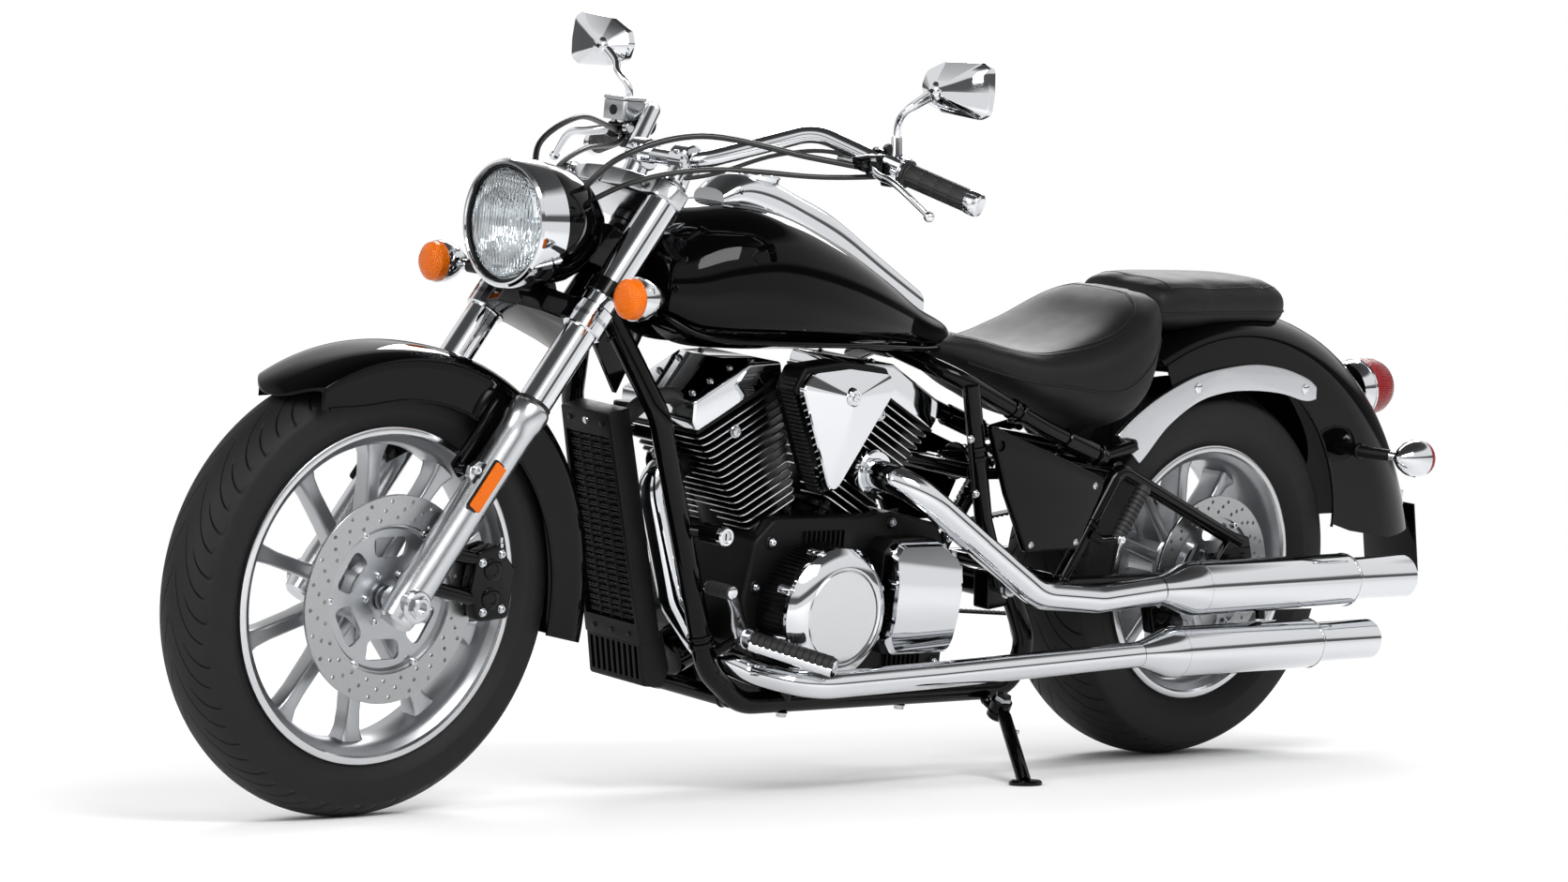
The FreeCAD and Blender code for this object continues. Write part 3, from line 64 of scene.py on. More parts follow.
joints = {joint["name"]: joint for joint in frame["joints"]}
slots = {part["node"]: part["material_slot"] for part in frame["record"]["subparts"]}
rearPlace = Vector(joints["rear_wheel"]["pos_m"])
frontPlace = Vector(joints["front_wheel"]["pos_m"])
wheelAxis = Vector(joints["rear_wheel"]["axis"])
forkAxis = Vector(joints["steering"]["axis"])
lean = atan2(-wheelAxis.z, wheelAxis.y)
rake = atan2(-forkAxis.x, hypot(forkAxis.y, forkAxis.z))
rearAxle = Vector((0, 0, rearPlace.z / cos(lean) * 1000))
frontAxle = Vector(((frontPlace.x - rearPlace.x) * 1000, 0, frontPlace.z / cos(lean) * 1000))
toRow = (
    Matrix.Translation(rearPlace)
    @ Matrix.Rotation(-lean, 4, "X")
    @ Matrix.Scale(0.001, 4)
    @ Matrix.Translation(-rearAxle)
)
left = Vector((0, 1, 0))
up = Vector((0, 0, 1))
forward = Vector((1, 0, 0))
upLeg = Vector((-sin(rake), 0, cos(rake)))
ahead = Vector((cos(rake), 0, sin(rake)))


def at(x, y, z):
    return Vector((x, y, z))


def atFork(out, side, along):  # out ahead of the leg, to the left, and up the leg from the axle
    return frontAxle + ahead * out + left * side + upLeg * along


# Nodes, for shaders and for geometry


def addNode(tree, kind, links={}, **settings):
    made = tree.nodes.new(kind)
    for key, value in settings.items():
        setattr(made, key, value)
    for socket, source in links.items():
        if isinstance(source, bpy.types.NodeSocket):
            tree.links.new(source, made.inputs[socket])
        else:
            made.inputs[socket].default_value = source
    return made


def linear(hexColour):  # sRGB hex to the linear colour that sockets take
    parts = [int(hexColour[i : i + 2], 16) / 255 for i in (0, 2, 4)]
    return [c / 12.92 if c <= 0.04045 else ((c + 0.055) / 1.055) ** 2.4 for c in parts] + [1]


finish = {}


def makeFinish(name, colour, roughness, metallic=0.0, **more):
    material = bpy.data.materials.new(name)
    material.use_nodes = True
    shader = material.node_tree.nodes["Principled BSDF"]
    shader.inputs["Base Color"].default_value = linear(colour)
    shader.inputs["Roughness"].default_value = roughness
    shader.inputs["Metallic"].default_value = metallic
    for socket, value in more.items():
        shader.inputs[socket.replace("_", " ")].default_value = value
    finish[name] = material
    return material.node_tree, shader


def objectPlace(tree, scale=(1, 1, 1), turn=(0, 0, 0), centre=(0, 0, 0)):
    coordinates = addNode(tree, "ShaderNodeTexCoord")
    source = {"Vector": coordinates.outputs["Object"], "Location": centre, "Rotation": turn}
    moved = addNode(tree, "ShaderNodeMapping", source, vector_type="TEXTURE")
    stretch = addNode(tree, "ShaderNodeMapping", {"Vector": moved.outputs[0], "Scale": scale})
    return stretch.outputs[0]


def addBump(tree, shader, height, strength, depth):  # depth in metres
    bump = addNode(tree, "ShaderNodeBump", {"Height": height, "Strength": strength, "Distance": depth})
    tree.links.new(bump.outputs["Normal"], shader.inputs["Normal"])


def vary(tree, shader, height, socket, low, high):  # one value drifts over the surface
    spread = {"Value": height, "To Min": low, "To Max": high}
    mapped = addNode(tree, "ShaderNodeMapRange", spread)
    tree.links.new(mapped.outputs[0], shader.inputs[socket])


def tint(tree, shader, height, first, second):
    mixed = addNode(tree, "ShaderNodeMix", {0: height, 6: linear(first), 7: linear(second)}, data_type="RGBA")
    tree.links.new(mixed.outputs[2], shader.inputs["Base Color"])


def grain(tree, size, detail=3.0, turn=(0, 0, 0), stretch=(1, 1, 1)):  # size of one blotch in millimetres
    place = objectPlace(tree, scale=stretch, turn=turn)
    return addNode(tree, "ShaderNodeTexNoise",
                   {"Vector": place, "Scale": 1000 / size, "Detail": detail}).outputs[0]


def lacquer():
    # Steel sprayed with black acrylic and clear coat: a deep mirror with faint orange peel
    tree, shader = makeFinish("blackLacquer", "030304", 0.03, IOR=1.25)
    addBump(tree, shader, grain(tree, 9.0, 1.0), 0.04, 0.0002)


def powderCoat():
    # Frame tube in gloss powder coat: black, slightly soft highlights
    tree, shader = makeFinish("blackPowderCoat", "040405", 0.08, IOR=1.28)
    addBump(tree, shader, grain(tree, 3.0), 0.08, 0.0002)


def wrinklePaint():
    # Cast aluminium under baked wrinkle enamel: black, fine pebbling, drawn at 1.6 mm so that it shows
    tree, shader = makeFinish("wrinkleEnamel", "050506", 0.4, IOR=1.27)
    pebble = grain(tree, 1.6, 4.0)
    addBump(tree, shader, pebble, 0.35, 0.0005)
    vary(tree, shader, grain(tree, 22.0), "Roughness", 0.36, 0.52)


def chromePlate():
    # Nickel and chrome over polished steel: nearly a mirror, a touch blue
    tree, shader = makeFinish("chromePlate", "D6D8DB", 0.045, 1.0)
    vary(tree, shader, grain(tree, 60.0), "Roughness", 0.03, 0.07)


def castAlloy():
    # Cast aluminium, shot-blasted and clear coated: pale grey with a fine sparkle
    tree, shader = makeFinish("castAluminium", "A9ABAE", 0.34, 1.0)
    addBump(tree, shader, grain(tree, 1.2, 2.0), 0.12, 0.0002)
    vary(tree, shader, grain(tree, 40.0), "Roughness", 0.28, 0.4)


def turnedAlloy():
    # Aluminium turned on a lathe: bright with soft streaks
    tree, shader = makeFinish("turnedAluminium", "C9CACC", 0.2, 1.0)
    vary(tree, shader, grain(tree, 12.0, stretch=(1, 6, 1)), "Roughness", 0.15, 0.27)


def polishedAlloy():
    # Buffed aluminium fork leg: long soft streaks along the leg
    tree, shader = makeFinish("buffedAluminium", "C2C4C7", 0.22, 1.0)
    streak = grain(tree, 7.0, 2.0, turn=(0, -rake, 0), stretch=(5, 5, 0.35))
    vary(tree, shader, streak, "Roughness", 0.17, 0.28)


def brushedSteel():
    # Stainless brake disc: concentric grinding marks about the axle, drawn at 1.5 mm
    for name, place in (("frontDiscSteel", frontPlace), ("rearDiscSteel", rearPlace)):
        tree, shader = makeFinish(name, "A3A4A5", 0.28, 1.0)
        ring = objectPlace(tree, turn=(-lean, 0, 0), centre=place)
        wave = {"Vector": ring, "Scale": 210.0, "Distortion": 1.5, "Detail": 2.0}
        marks = addNode(tree, "ShaderNodeTexWave", wave, wave_type="RINGS", rings_direction="Y").outputs[1]
        addBump(tree, shader, marks, 0.12, 0.0002)
        vary(tree, shader, marks, "Roughness", 0.22, 0.36)


def tyreRubber():
    # Vulcanised rubber: charcoal, matt, a little greyer where it is dry
    tree, shader = makeFinish("tyreRubber", "0E0E0F", 0.62, IOR=1.35)
    tint(tree, shader, grain(tree, 55.0, 4.0), "0B0B0C", "131314")
    addBump(tree, shader, grain(tree, 1.4, 3.0), 0.2, 0.0003)


def softRubber():
    # Moulded grip and peg rubber
    tree, shader = makeFinish("mouldedRubber", "111112", 0.58)
    addBump(tree, shader, grain(tree, 1.2, 2.0), 0.2, 0.0003)


def seatLeather():
    # Grained leather: pores at 1.8 mm, drawn coarser than real so that they show, with a low sheen
    tree, shader = makeFinish("grainedLeather", "0A0A0B", 0.52, IOR=1.33)
    cells = {"Vector": objectPlace(tree), "Scale": 560.0, "Randomness": 0.9}
    pores = addNode(tree, "ShaderNodeTexVoronoi", cells, feature="DISTANCE_TO_EDGE").outputs["Distance"]
    addBump(tree, shader, pores, 0.32, 0.0009)
    vary(tree, shader, grain(tree, 30.0, 3.0), "Roughness", 0.46, 0.58)
    tint(tree, shader, grain(tree, 80.0, 3.0), "080809", "0E0E0F")


def lenses():
    # Acrylic lamp lenses with moulded prisms, 3 mm apart
    for name, colour in (("amberAcrylic", "E66C00"), ("redAcrylic", "8C030C")):
        tree, shader = makeFinish(name, colour, 0.12, Transmission_Weight=0.2, IOR=1.33)
        cells = {"Vector": objectPlace(tree, turn=(-lean, 0, 0)), "Scale": 330.0, "Randomness": 0.1}
        prism = addNode(tree, "ShaderNodeTexVoronoi", cells).outputs["Distance"]
        addBump(tree, shader, prism, 0.7, 0.0012)
    makeFinish("clearGlass", "F4F6F7", 0.01, Transmission_Weight=1.0, IOR=1.5)
    makeFinish("silveredGlass", "E3E6E8", 0.015, 1.0)


def plainFinishes():
    makeFinish("blackNylon", "070708", 0.42, IOR=1.35)
    # darkCore is near black; on the ignition lock it is painted shade for the key slot
    makeFinish("darkCore", "040404", 0.6, IOR=1.3)
    makeFinish("cableSheath", "0B0B0C", 0.36)
    makeFinish("zincBolt", "B9BBBE", 0.2, 1.0)
    makeFinish("beltRubber", "121213", 0.6)
    makeFinish("waxedThread", "2A2A2B", 0.7)
    makeFinish("dialFace", "F2F2EE", 0.35)


for makeOne in (
    lacquer, powderCoat, wrinklePaint, chromePlate, castAlloy, turnedAlloy, polishedAlloy, brushedSteel,
    tyreRubber, softRubber, seatLeather, lenses, plainFinishes,
):
    makeOne()
print("finishes ready")


# Shapes: each is (points, faces, finish)


def skin(rows, material, around=True, caps=True, loop=False):
    count = len(rows[0])
    points = [p for row in rows for p in row]
    faces = []
    last = len(rows) if loop else len(rows) - 1
    for i in range(last):
        low = i * count
        high = ((i + 1) % len(rows)) * count
        for j in range(count if around else count - 1):
            k = (j + 1) % count
            faces.append((low + j, low + k, high + k, high + j))
    if caps and around and not loop:
        faces.append(tuple(range(count)))
        faces.append(tuple(range(len(points) - count, len(points))))
    return points, faces, material


def lathe(profile, base, axis, material, steps=48, loop=False):  # profile: (along the axis, radius)
    axis = axis.normalized()
    side = axis.orthogonal().normalized()
    other = axis.cross(side)
    points, rows, faces = [], [], []
    for along, radius in profile:
        count = 1 if radius < 0.01 else steps
        rows.append(list(range(len(points), len(points) + count)))
        for i in range(count):
            turn = 2 * pi * i / steps
            points.append(base + axis * along + (side * cos(turn) + other * sin(turn)) * radius)
    if loop:
        rows.append(rows[0])
    for low, high in zip(rows, rows[1:]):
        for i in range(steps):
            j = (i + 1) % steps
            quad = (low[i % len(low)], low[j % len(low)], high[j % len(high)], high[i % len(high)])
            face = tuple(dict.fromkeys(quad))
            if len(face) > 2:
                faces.append(face)
    return points, faces, material


def rod(start, end, radius, material, steps=24, edge=0.8):
    length = (end - start).length
    edge = min(edge, radius * 0.4, length * 0.3)
    profile = [(0, 0), (0, radius - edge), (edge, radius), (length - edge, radius), (length, radius - edge)]
    return lathe(profile + [(length, 0)], start, end - start, material, steps)


def ringShape(start, end, outer, inner, material, steps=48, edge=0.8):
    length = (end - start).length
    profile = [(0, inner), (0, outer - edge), (edge, outer), (length - edge, outer), (length, outer - edge)]
    return lathe(profile + [(length, inner)], start, end - start, material, steps, loop=True)


def bent(path, bend, steps=8):  # straight runs joined by arcs
    made = [path[0]]
    for i in range(1, len(path) - 1):
        back = path[i - 1] - path[i]
        on = path[i + 1] - path[i]
        half = back.angle(on) / 2
        backShare = 0.95 if i == 1 else 0.49
        onShare = 0.95 if i == len(path) - 2 else 0.49
        cut = min(bend / tan(half), back.length * backShare, on.length * onShare)
        start = path[i] + back.normalized() * cut
        end = path[i] + on.normalized() * cut
        for k in range(steps + 1):
            t = k / steps
            made.append(start * (1 - t) ** 2 + path[i] * 2 * t * (1 - t) + end * t**2)
    return made + [path[-1]]


def smoothRow(values, steps):  # Catmull-Rom through points, numbers in lists or vectors
    made = []
    for i in range(len(values) - 1):
        a = values[max(i - 1, 0)]
        b, c = values[i], values[i + 1]
        d = values[min(i + 2, len(values) - 1)]
        for k in range(steps):
            t = k / steps
            made.append(
                b + ((c - a) * t + (a * 2 - b * 5 + c * 4 - d) * t**2 + (b * 3 - a - c * 3 + d) * t**3) * 0.5
            )
    return made + [values[-1]]


def smoothStations(stations, steps):  # the same through lists of numbers
    count = len(stations[0])
    columns = [smoothRow([station[i] for station in stations], steps) for i in range(count)]
    return [tuple(column[k] for column in columns) for k in range(len(columns[0]))]


def sweep(path, radius, material, sides=20):
    rows = []
    normal = (path[1] - path[0]).orthogonal().normalized()
    for i, point in enumerate(path):
        way = (path[min(i + 1, len(path) - 1)] - path[max(i - 1, 0)]).normalized()
        normal = (normal - way * normal.dot(way)).normalized()
        other = way.cross(normal)
        size = radius[i] if isinstance(radius, list) else radius
        turns = [2 * pi * k / sides for k in range(sides)]
        rows.append([point + (normal * cos(t) + other * sin(t)) * size for t in turns])
    return skin(rows, material)


def prism(corners, depth, material, bevel=1.5, segments=2):  # a flat outline pushed along a vector
    mesh = bmesh.new()
    face = mesh.faces.new([mesh.verts.new(p) for p in corners])
    pushed = bmesh.ops.extrude_face_region(mesh, geom=[face])
    moved = [v for v in pushed["geom"] if isinstance(v, bmesh.types.BMVert)]
    bmesh.ops.translate(mesh, vec=depth, verts=moved)
    bmesh.ops.recalc_face_normals(mesh, faces=mesh.faces)
    sharp = [e for e in mesh.edges if e.calc_face_angle(0) > radians(25)]
    if bevel:
        bmesh.ops.bevel(mesh, geom=sharp, offset=bevel, segments=segments, profile=0.5, affect="EDGES")
    return fromMesh(mesh, material)


def fromMesh(mesh, material):
    mesh.verts.index_update()
    points = [v.co.copy() for v in mesh.verts]
    faces = [tuple(v.index for v in f.verts) for f in mesh.faces]
    mesh.free()
    return points, faces, material


def slab(outline, low, high, material, bevel=1.5, segments=2):  # outline: (x, z) pairs, pushed along y
    corners = [at(x, low, z) for x, z in outline]
    return prism(corners, at(0, high - low, 0), material, bevel, segments)


def roundCorners(outline, radius, steps=6):  # each corner of a flat outline becomes an arc
    made = []
    for i, corner in enumerate(outline):
        here = Vector(corner)
        back = Vector(outline[i - 1]) - here
        on = Vector(outline[(i + 1) % len(outline)]) - here
        half = back.angle(on) / 2
        cut = min(radius / tan(half), back.length * 0.48, on.length * 0.48)
        start = here + back.normalized() * cut
        end = here + on.normalized() * cut
        for k in range(steps + 1):
            t = k / steps
            made.append(tuple(start * (1 - t) ** 2 + here * 2 * t * (1 - t) + end * t**2))
    return made


def ovalRow(centre, halfWide, halfHigh, power, count=32, wide=left, high=up):
    row = []
    for i in range(count):
        turn = 2 * pi * (i + 0.5) / count
        c, s = cos(turn), sin(turn)
        y = halfWide * abs(c) ** power * (1 if c > 0 else -1)
        z = halfHigh * abs(s) ** power * (1 if s > 0 else -1)
        row.append(centre + wide * y + high * z)
    return row


def moved(shape, matrix, material=None):
    points, faces, old = shape
    return [matrix @ p for p in points], faces, material or old


def bothSides(shapes):  # a set of shapes and its mirror image
    mirror = Matrix.Scale(-1, 4, left)
    return list(shapes) + [moved(shape, mirror) for shape in shapes]


def hexBolt(place, way, radius, material="zincBolt", height=None):
    height = height or radius * 0.8
    profile = [(0, 0), (0, radius * 1.25), (1.2, radius * 1.25), (1.2, radius * 1.02),
               (height, radius * 1.02), (height + 0.8, radius * 0.85), (height + 0.8, radius * 0.5),
               (height - 1.6, radius * 0.45)]
    return lathe(profile + [(height - 1.6, 0)], place, way, material, 6 * 3)


def link(name, mesh):
    made = bpy.data.objects.new(name, mesh)
    bpy.context.scene.collection.objects.link(made)
    return made


def meshOf(name, shapes):
    points, faces, indexes, used = [], [], [], []
    for shapePoints, shapeFaces, material in shapes:
        if material not in used:
            used.append(material)
        base = len(points)
        points += shapePoints
        faces += [tuple(base + i for i in face) for face in shapeFaces]
        indexes += [used.index(material)] * len(shapeFaces)
    mesh = bpy.data.meshes.new(name)
    mesh.from_pydata(points, [], faces)
    mesh.polygons.foreach_set("material_index", indexes)
    for material in used:
        mesh.materials.append(finish[material])
    return mesh


def gather(name, body, shapes, nodes=(), angle=34):
    mesh = meshOf(name, shapes)
    mesh.transform(toRow)
    whole = bmesh.new()
    whole.from_mesh(mesh)
    bmesh.ops.recalc_face_normals(whole, faces=whole.faces)
    whole.to_mesh(mesh)
    whole.free()
    mesh.polygons.foreach_set("use_smooth", [True] * len(mesh.polygons))
    mesh.set_sharp_from_angle(angle=radians(angle))
    piece = link(name, mesh)
    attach(piece, body)
    if nodes:
        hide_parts(*nodes)
    return piece


# Geometry node trees for what repeats


def newTree(name, inputs):
    tree = bpy.data.node_groups.new(name, "GeometryNodeTree")
    tree.interface.new_socket("Geometry", in_out="INPUT", socket_type="NodeSocketGeometry")
    for label, kind in inputs.items():
        tree.interface.new_socket(label, in_out="INPUT", socket_type="NodeSocket" + kind)
    tree.interface.new_socket("Geometry", in_out="OUTPUT", socket_type="NodeSocketGeometry")
    return tree, addNode(tree, "NodeGroupInput").outputs


def endTree(tree, spread, material):
    solid = addNode(tree, "GeometryNodeRealizeInstances", {"Geometry": spread.outputs[0]})
    painted = addNode(tree, "GeometryNodeSetMaterial", {"Geometry": solid.outputs[0], "Material": material})
    addNode(tree, "NodeGroupOutput", {0: painted.outputs[0]})
    return tree


def makeRingTree():  # copies turned about Z
    tree, given = newTree("ringOfCopies", {"Count": "Int", "Step": "Float", "Material": "Material"})
    spots = addNode(tree, "GeometryNodePoints", {"Count": given["Count"]})
    index = addNode(tree, "GeometryNodeInputIndex")
    turn = addNode(tree, "ShaderNodeMath", {0: index.outputs[0], 1: given["Step"]}, operation="MULTIPLY")
    rotation = addNode(tree, "ShaderNodeCombineXYZ", {"Z": turn.outputs[0]})
    links = {"Points": spots.outputs[0], "Instance": given["Geometry"], "Rotation": rotation.outputs[0]}
    return endTree(tree, addNode(tree, "GeometryNodeInstanceOnPoints", links), given["Material"])


def makeRowTree():  # copies along a step, each scaled a little more than the last
    inputs = {"Count": "Int", "Step": "Vector", "First Scale": "Vector", "Scale Step": "Vector"}
    tree, given = newTree("rowOfCopies", {**inputs, "Material": "Material"})
    links = {"Count": given["Count"], "Offset": given["Step"]}
    spots = addNode(tree, "GeometryNodeMeshLine", links, mode="OFFSET")
    index = addNode(tree, "GeometryNodeInputIndex")
    links = {0: given["Scale Step"], "Scale": index.outputs[0]}
    grown = addNode(tree, "ShaderNodeVectorMath", links, operation="SCALE")
    links = {0: given["First Scale"], 1: grown.outputs[0]}
    size = addNode(tree, "ShaderNodeVectorMath", links, operation="ADD")
    links = {"Points": spots.outputs[0], "Instance": given["Geometry"], "Scale": size.outputs[0]}
    return endTree(tree, addNode(tree, "GeometryNodeInstanceOnPoints", links), given["Material"])


def makePathTree():  # copies of an object along a path, turned to follow it
    inputs = {"Seed": "Object", "Spacing": "Float", "Material": "Material"}
    tree, given = newTree("copiesAlongPath", inputs)
    curve = addNode(tree, "GeometryNodeMeshToCurve", {"Mesh": given["Geometry"]})
    links = {"Curve": curve.outputs[0], "Length": given["Spacing"]}
    spots = addNode(tree, "GeometryNodeCurveToPoints", links, mode="LENGTH")
    seed = addNode(tree, "GeometryNodeObjectInfo", {"Object": given["Seed"]})
    tangent = addNode(tree, "FunctionNodeAlignRotationToVector", {"Vector": spots.outputs["Tangent"]},
                      axis="X")
    links = {"Points": spots.outputs[0], "Instance": seed.outputs["Geometry"], "Rotation": tangent.outputs[0]}
    return endTree(tree, addNode(tree, "GeometryNodeInstanceOnPoints", links), given["Material"])


ringTree = makeRingTree()
rowTree = makeRowTree()
pathTree = makePathTree()


def runTree(tree, mesh, material, values):
    host = link("host", mesh)
    modifier = host.modifiers.new("repeat", "NODES")
    modifier.node_group = tree
    sockets = {item.name: item.identifier for item in tree.interface.items_tree if item.in_out == "INPUT"}
    for label, value in {**values, "Material": finish[material]}.items():
        modifier[sockets[label]] = value
    bpy.context.view_layer.update()
    made = bpy.data.meshes.new_from_object(host.evaluated_get(bpy.context.evaluated_depsgraph_get()))
    points = [v.co.copy() for v in made.vertices]
    faces = [tuple(p.vertices) for p in made.polygons]
    bpy.data.objects.remove(host)
    bpy.data.meshes.remove(made)
    return points, faces, material


def ringOf(shape, count, centre, axis, sweepAngle=2 * pi):
    # The seed is drawn at its place. It is brought to Z about the centre, turned and put back.
    home = Matrix.Translation(centre) @ axis.to_track_quat("Z", "Y").to_matrix().to_4x4()
    seed = moved(shape, home.inverted())
    step = sweepAngle / count
    made = runTree(ringTree, meshOf("seed", [seed]), shape[2], {"Count": count, "Step": step})
    return moved(made, home)


def rowOf(shape, count, step, centre=None, firstScale=(1, 1, 1), scaleStep=(0, 0, 0), basis=None):
    home = Matrix.Translation(centre or Vector()) @ (basis or Matrix.Identity(4))
    seed = moved(shape, home.inverted())
    step = home.inverted().to_3x3() @ step
    values = {"Count": count, "Step": step, "First Scale": Vector(firstScale),
              "Scale Step": Vector(scaleStep)}
    return moved(runTree(rowTree, meshOf("seed", [seed]), shape[2], values), home)


def alongPath(shape, path, spacing):
    seed = link("seedObject", meshOf("seed", [shape]))
    line = bpy.data.meshes.new("path")
    line.from_pydata(path, [(i, i + 1) for i in range(len(path) - 1)], [])
    made = runTree(pathTree, line, shape[2], {"Seed": seed, "Spacing": spacing})
    bpy.data.objects.remove(seed)
    return made


def cutAway(shape, cutters):
    host = link("host", meshOf("host", [shape]))
    tool = link("tool", meshOf("tool", cutters))
    for item in (host, tool):
        whole = bmesh.new()
        whole.from_mesh(item.data)
        bmesh.ops.remove_doubles(whole, verts=whole.verts, dist=0.001)
        bmesh.ops.recalc_face_normals(whole, faces=whole.faces)
        whole.to_mesh(item.data)
        whole.free()
    modifier = host.modifiers.new("cut", "BOOLEAN")
    modifier.object = tool
    modifier.operation = "DIFFERENCE"
    modifier.solver = "EXACT"
    modifier.use_self = True
    bpy.context.view_layer.update()
    made = bpy.data.meshes.new_from_object(host.evaluated_get(bpy.context.evaluated_depsgraph_get()))
    points = [v.co.copy() for v in made.vertices]
    faces = [tuple(p.vertices) for p in made.polygons]
    for item in (host, tool):
        bpy.data.objects.remove(item)
    return points, faces, shape[2]


# Wheels

wheels = {
    "front": {
        "centre": frontAxle, "radius": 326, "width": 115, "crown": 73, "lip": 243, "rimWidth": 102,
        "hubHalf": 60, "hubRadius": 38, "flange": 52, "spokeDepth": 44, "pitches": 30, "sweep": 120,
        "steel": "frontDiscSteel", "discY": 73, "discRadius": 150, "discInner": 108, "holes": 24,
    },
    "rear": {
        "centre": rearAxle, "radius": 317, "width": 180, "crown": 154, "lip": 212, "rimWidth": 162,
        "hubHalf": 78, "hubRadius": 45, "flange": 62, "spokeDepth": 62, "pitches": 28, "sweep": 150,
        "steel": "rearDiscSteel", "discY": 102, "discRadius": 132, "discInner": 96, "holes": 20,
    },
}
grooves = {"depth": 4.2, "columns": (0.0, 0.016, 0.03, 0.066, 0.08, 0.22, 0.38, 0.5, 0.515, 0.55, 0.565, 0.8)}
grooves["long"] = (2, 3)  # the columns that lie at the bottom of the long and of the short groove
grooves["short"] = (8, 9)


def tyre(sizes):
    half = sizes["width"] / 2
    radius, crown = sizes["radius"], sizes["crown"]
    edge = radius - crown + sqrt(crown**2 - half**2)
    foot = sizes["lip"] + 2
    bead = sizes["rimWidth"] / 2 - 6
    across = []  # (y, radius, share of the half width)
    rows = 60
    for i in range(rows + 1):
        share = -1 + 2 * i / rows
        y = share * half
        across.append((y, radius - crown + sqrt(crown**2 - y**2), share))
    wall = [(half + 0.8, edge - 6), (half + 1.4, edge - 14), (half + 1.6, (edge + foot) / 2 + 4),
            (half + 0.6, (edge + foot) / 2 - 2), (half + 0.9, (edge + foot) / 2 - 5),
            (half + 0.2, (edge + foot) / 2 - 8), (half * 0.3 + bead * 0.7 + 1.6, foot + 9),
            (bead + 1.8, foot + 3), (bead, foot), (bead, sizes["lip"] - 12)]
    across = [(-y, r, -2) for y, r in reversed(wall)] + across + [(y, r, 2) for y, r in wall]
    pitches = sizes["pitches"]
    columns = [(pitch + c, k) for pitch in range(pitches) for k, c in enumerate(grooves["columns"])]
    points = []
    for y, r, share in across:
        size = min(abs(share), 1.0)
        shift = sizes["sweep"] * (1 - size) ** 2 / radius
        for place, k in columns:
            deep = 0
            if k in grooves["long"] and 0.05 < size < 0.9:
                deep = grooves["depth"] * min(1, (size - 0.05) * 9, (0.9 - size) * 9)
            if k in grooves["short"] and 0.4 < size < 0.97:
                deep = grooves["depth"] * min(1, (size - 0.4) * 8, (0.97 - size) * 9)
            turn = 2 * pi * place / pitches + shift
            spot = sizes["centre"] + at(cos(turn) * (r - deep), y, sin(turn) * (r - deep))
            points.append(spot)
    count = len(columns)
    rowsOfPoints = [points[i * count : (i + 1) * count] for i in range(len(across))]
    return skin(rowsOfPoints, "tyreRubber", loop=True)


def spokeRows(sizes):
    inside = sizes["lip"] - 26
    deep = sizes["spokeDepth"]
    start = sizes["flange"] - 12
    shares = [(0, 26, 1), (0.15, 24, 0.95), (0.45, 21, 0.8), (0.75, 22, 0.72), (0.88, 26, 0.74),
              (0.96, 36, 0.82), (1.03, 54, 0.95)]
    rows = []
    for share, wide, depth in shares:
        centre = sizes["centre"] + up * (start + (inside - start) * share)
        rows.append(ovalRow(centre, deep * depth / 2, wide / 2, 0.32, 20, left, forward))
    return skin(rows, "castAluminium")


def rim(sizes):
    half = sizes["rimWidth"] / 2
    lip = sizes["lip"]
    side = [(half - 8, lip - 13), (half - 7, lip - 2), (half - 5, lip), (half - 1.5, lip - 0.5),
            (half, lip - 3)]
    polished = [(half - 1.5, lip - 0.5), (half, lip - 3), (half - 0.5, lip - 10), (half - 5, lip - 13)]
    inner = [(half - 0.5, lip - 10), (half - 5, lip - 13), (half - 9, lip - 21), (half - 22, lip - 27),
             (0, lip - 30)]
    outline = side + inner + [(-y, r) for y, r in reversed(inner[:-1])] + [(-y, r) for y, r in reversed(side)]
    outline += [(-half + 26, lip - 20), (half - 26, lip - 20)]
    centre = sizes["centre"]
    shapes = [lathe(outline, centre, left, "castAluminium", 128, loop=True)]
    for way in (left, -left):
        band = [(y + 0.5, r + 0.2) for y, r in polished] + [(half - 6, lip - 12), (half - 5, lip - 1)]
        shapes.append(lathe(band, centre, way, "turnedAluminium", 128, loop=True))
    hub, flange = sizes["hubRadius"], sizes["flange"]
    deep = sizes["spokeDepth"] / 2
    long = sizes["hubHalf"]
    profile = [(long, 14.4), (long, hub - 3), (long - 3, hub), (deep + 8, hub + 1), (deep, flange - 4),
               (deep - 4, flange)]
    profile += [(-y, r) for y, r in reversed(profile)]
    shapes.append(lathe(profile, centre, left, "castAluminium", 64, loop=True))
    shapes.append(ringOf(spokeRows(sizes), 10, centre, left))
    return shapes


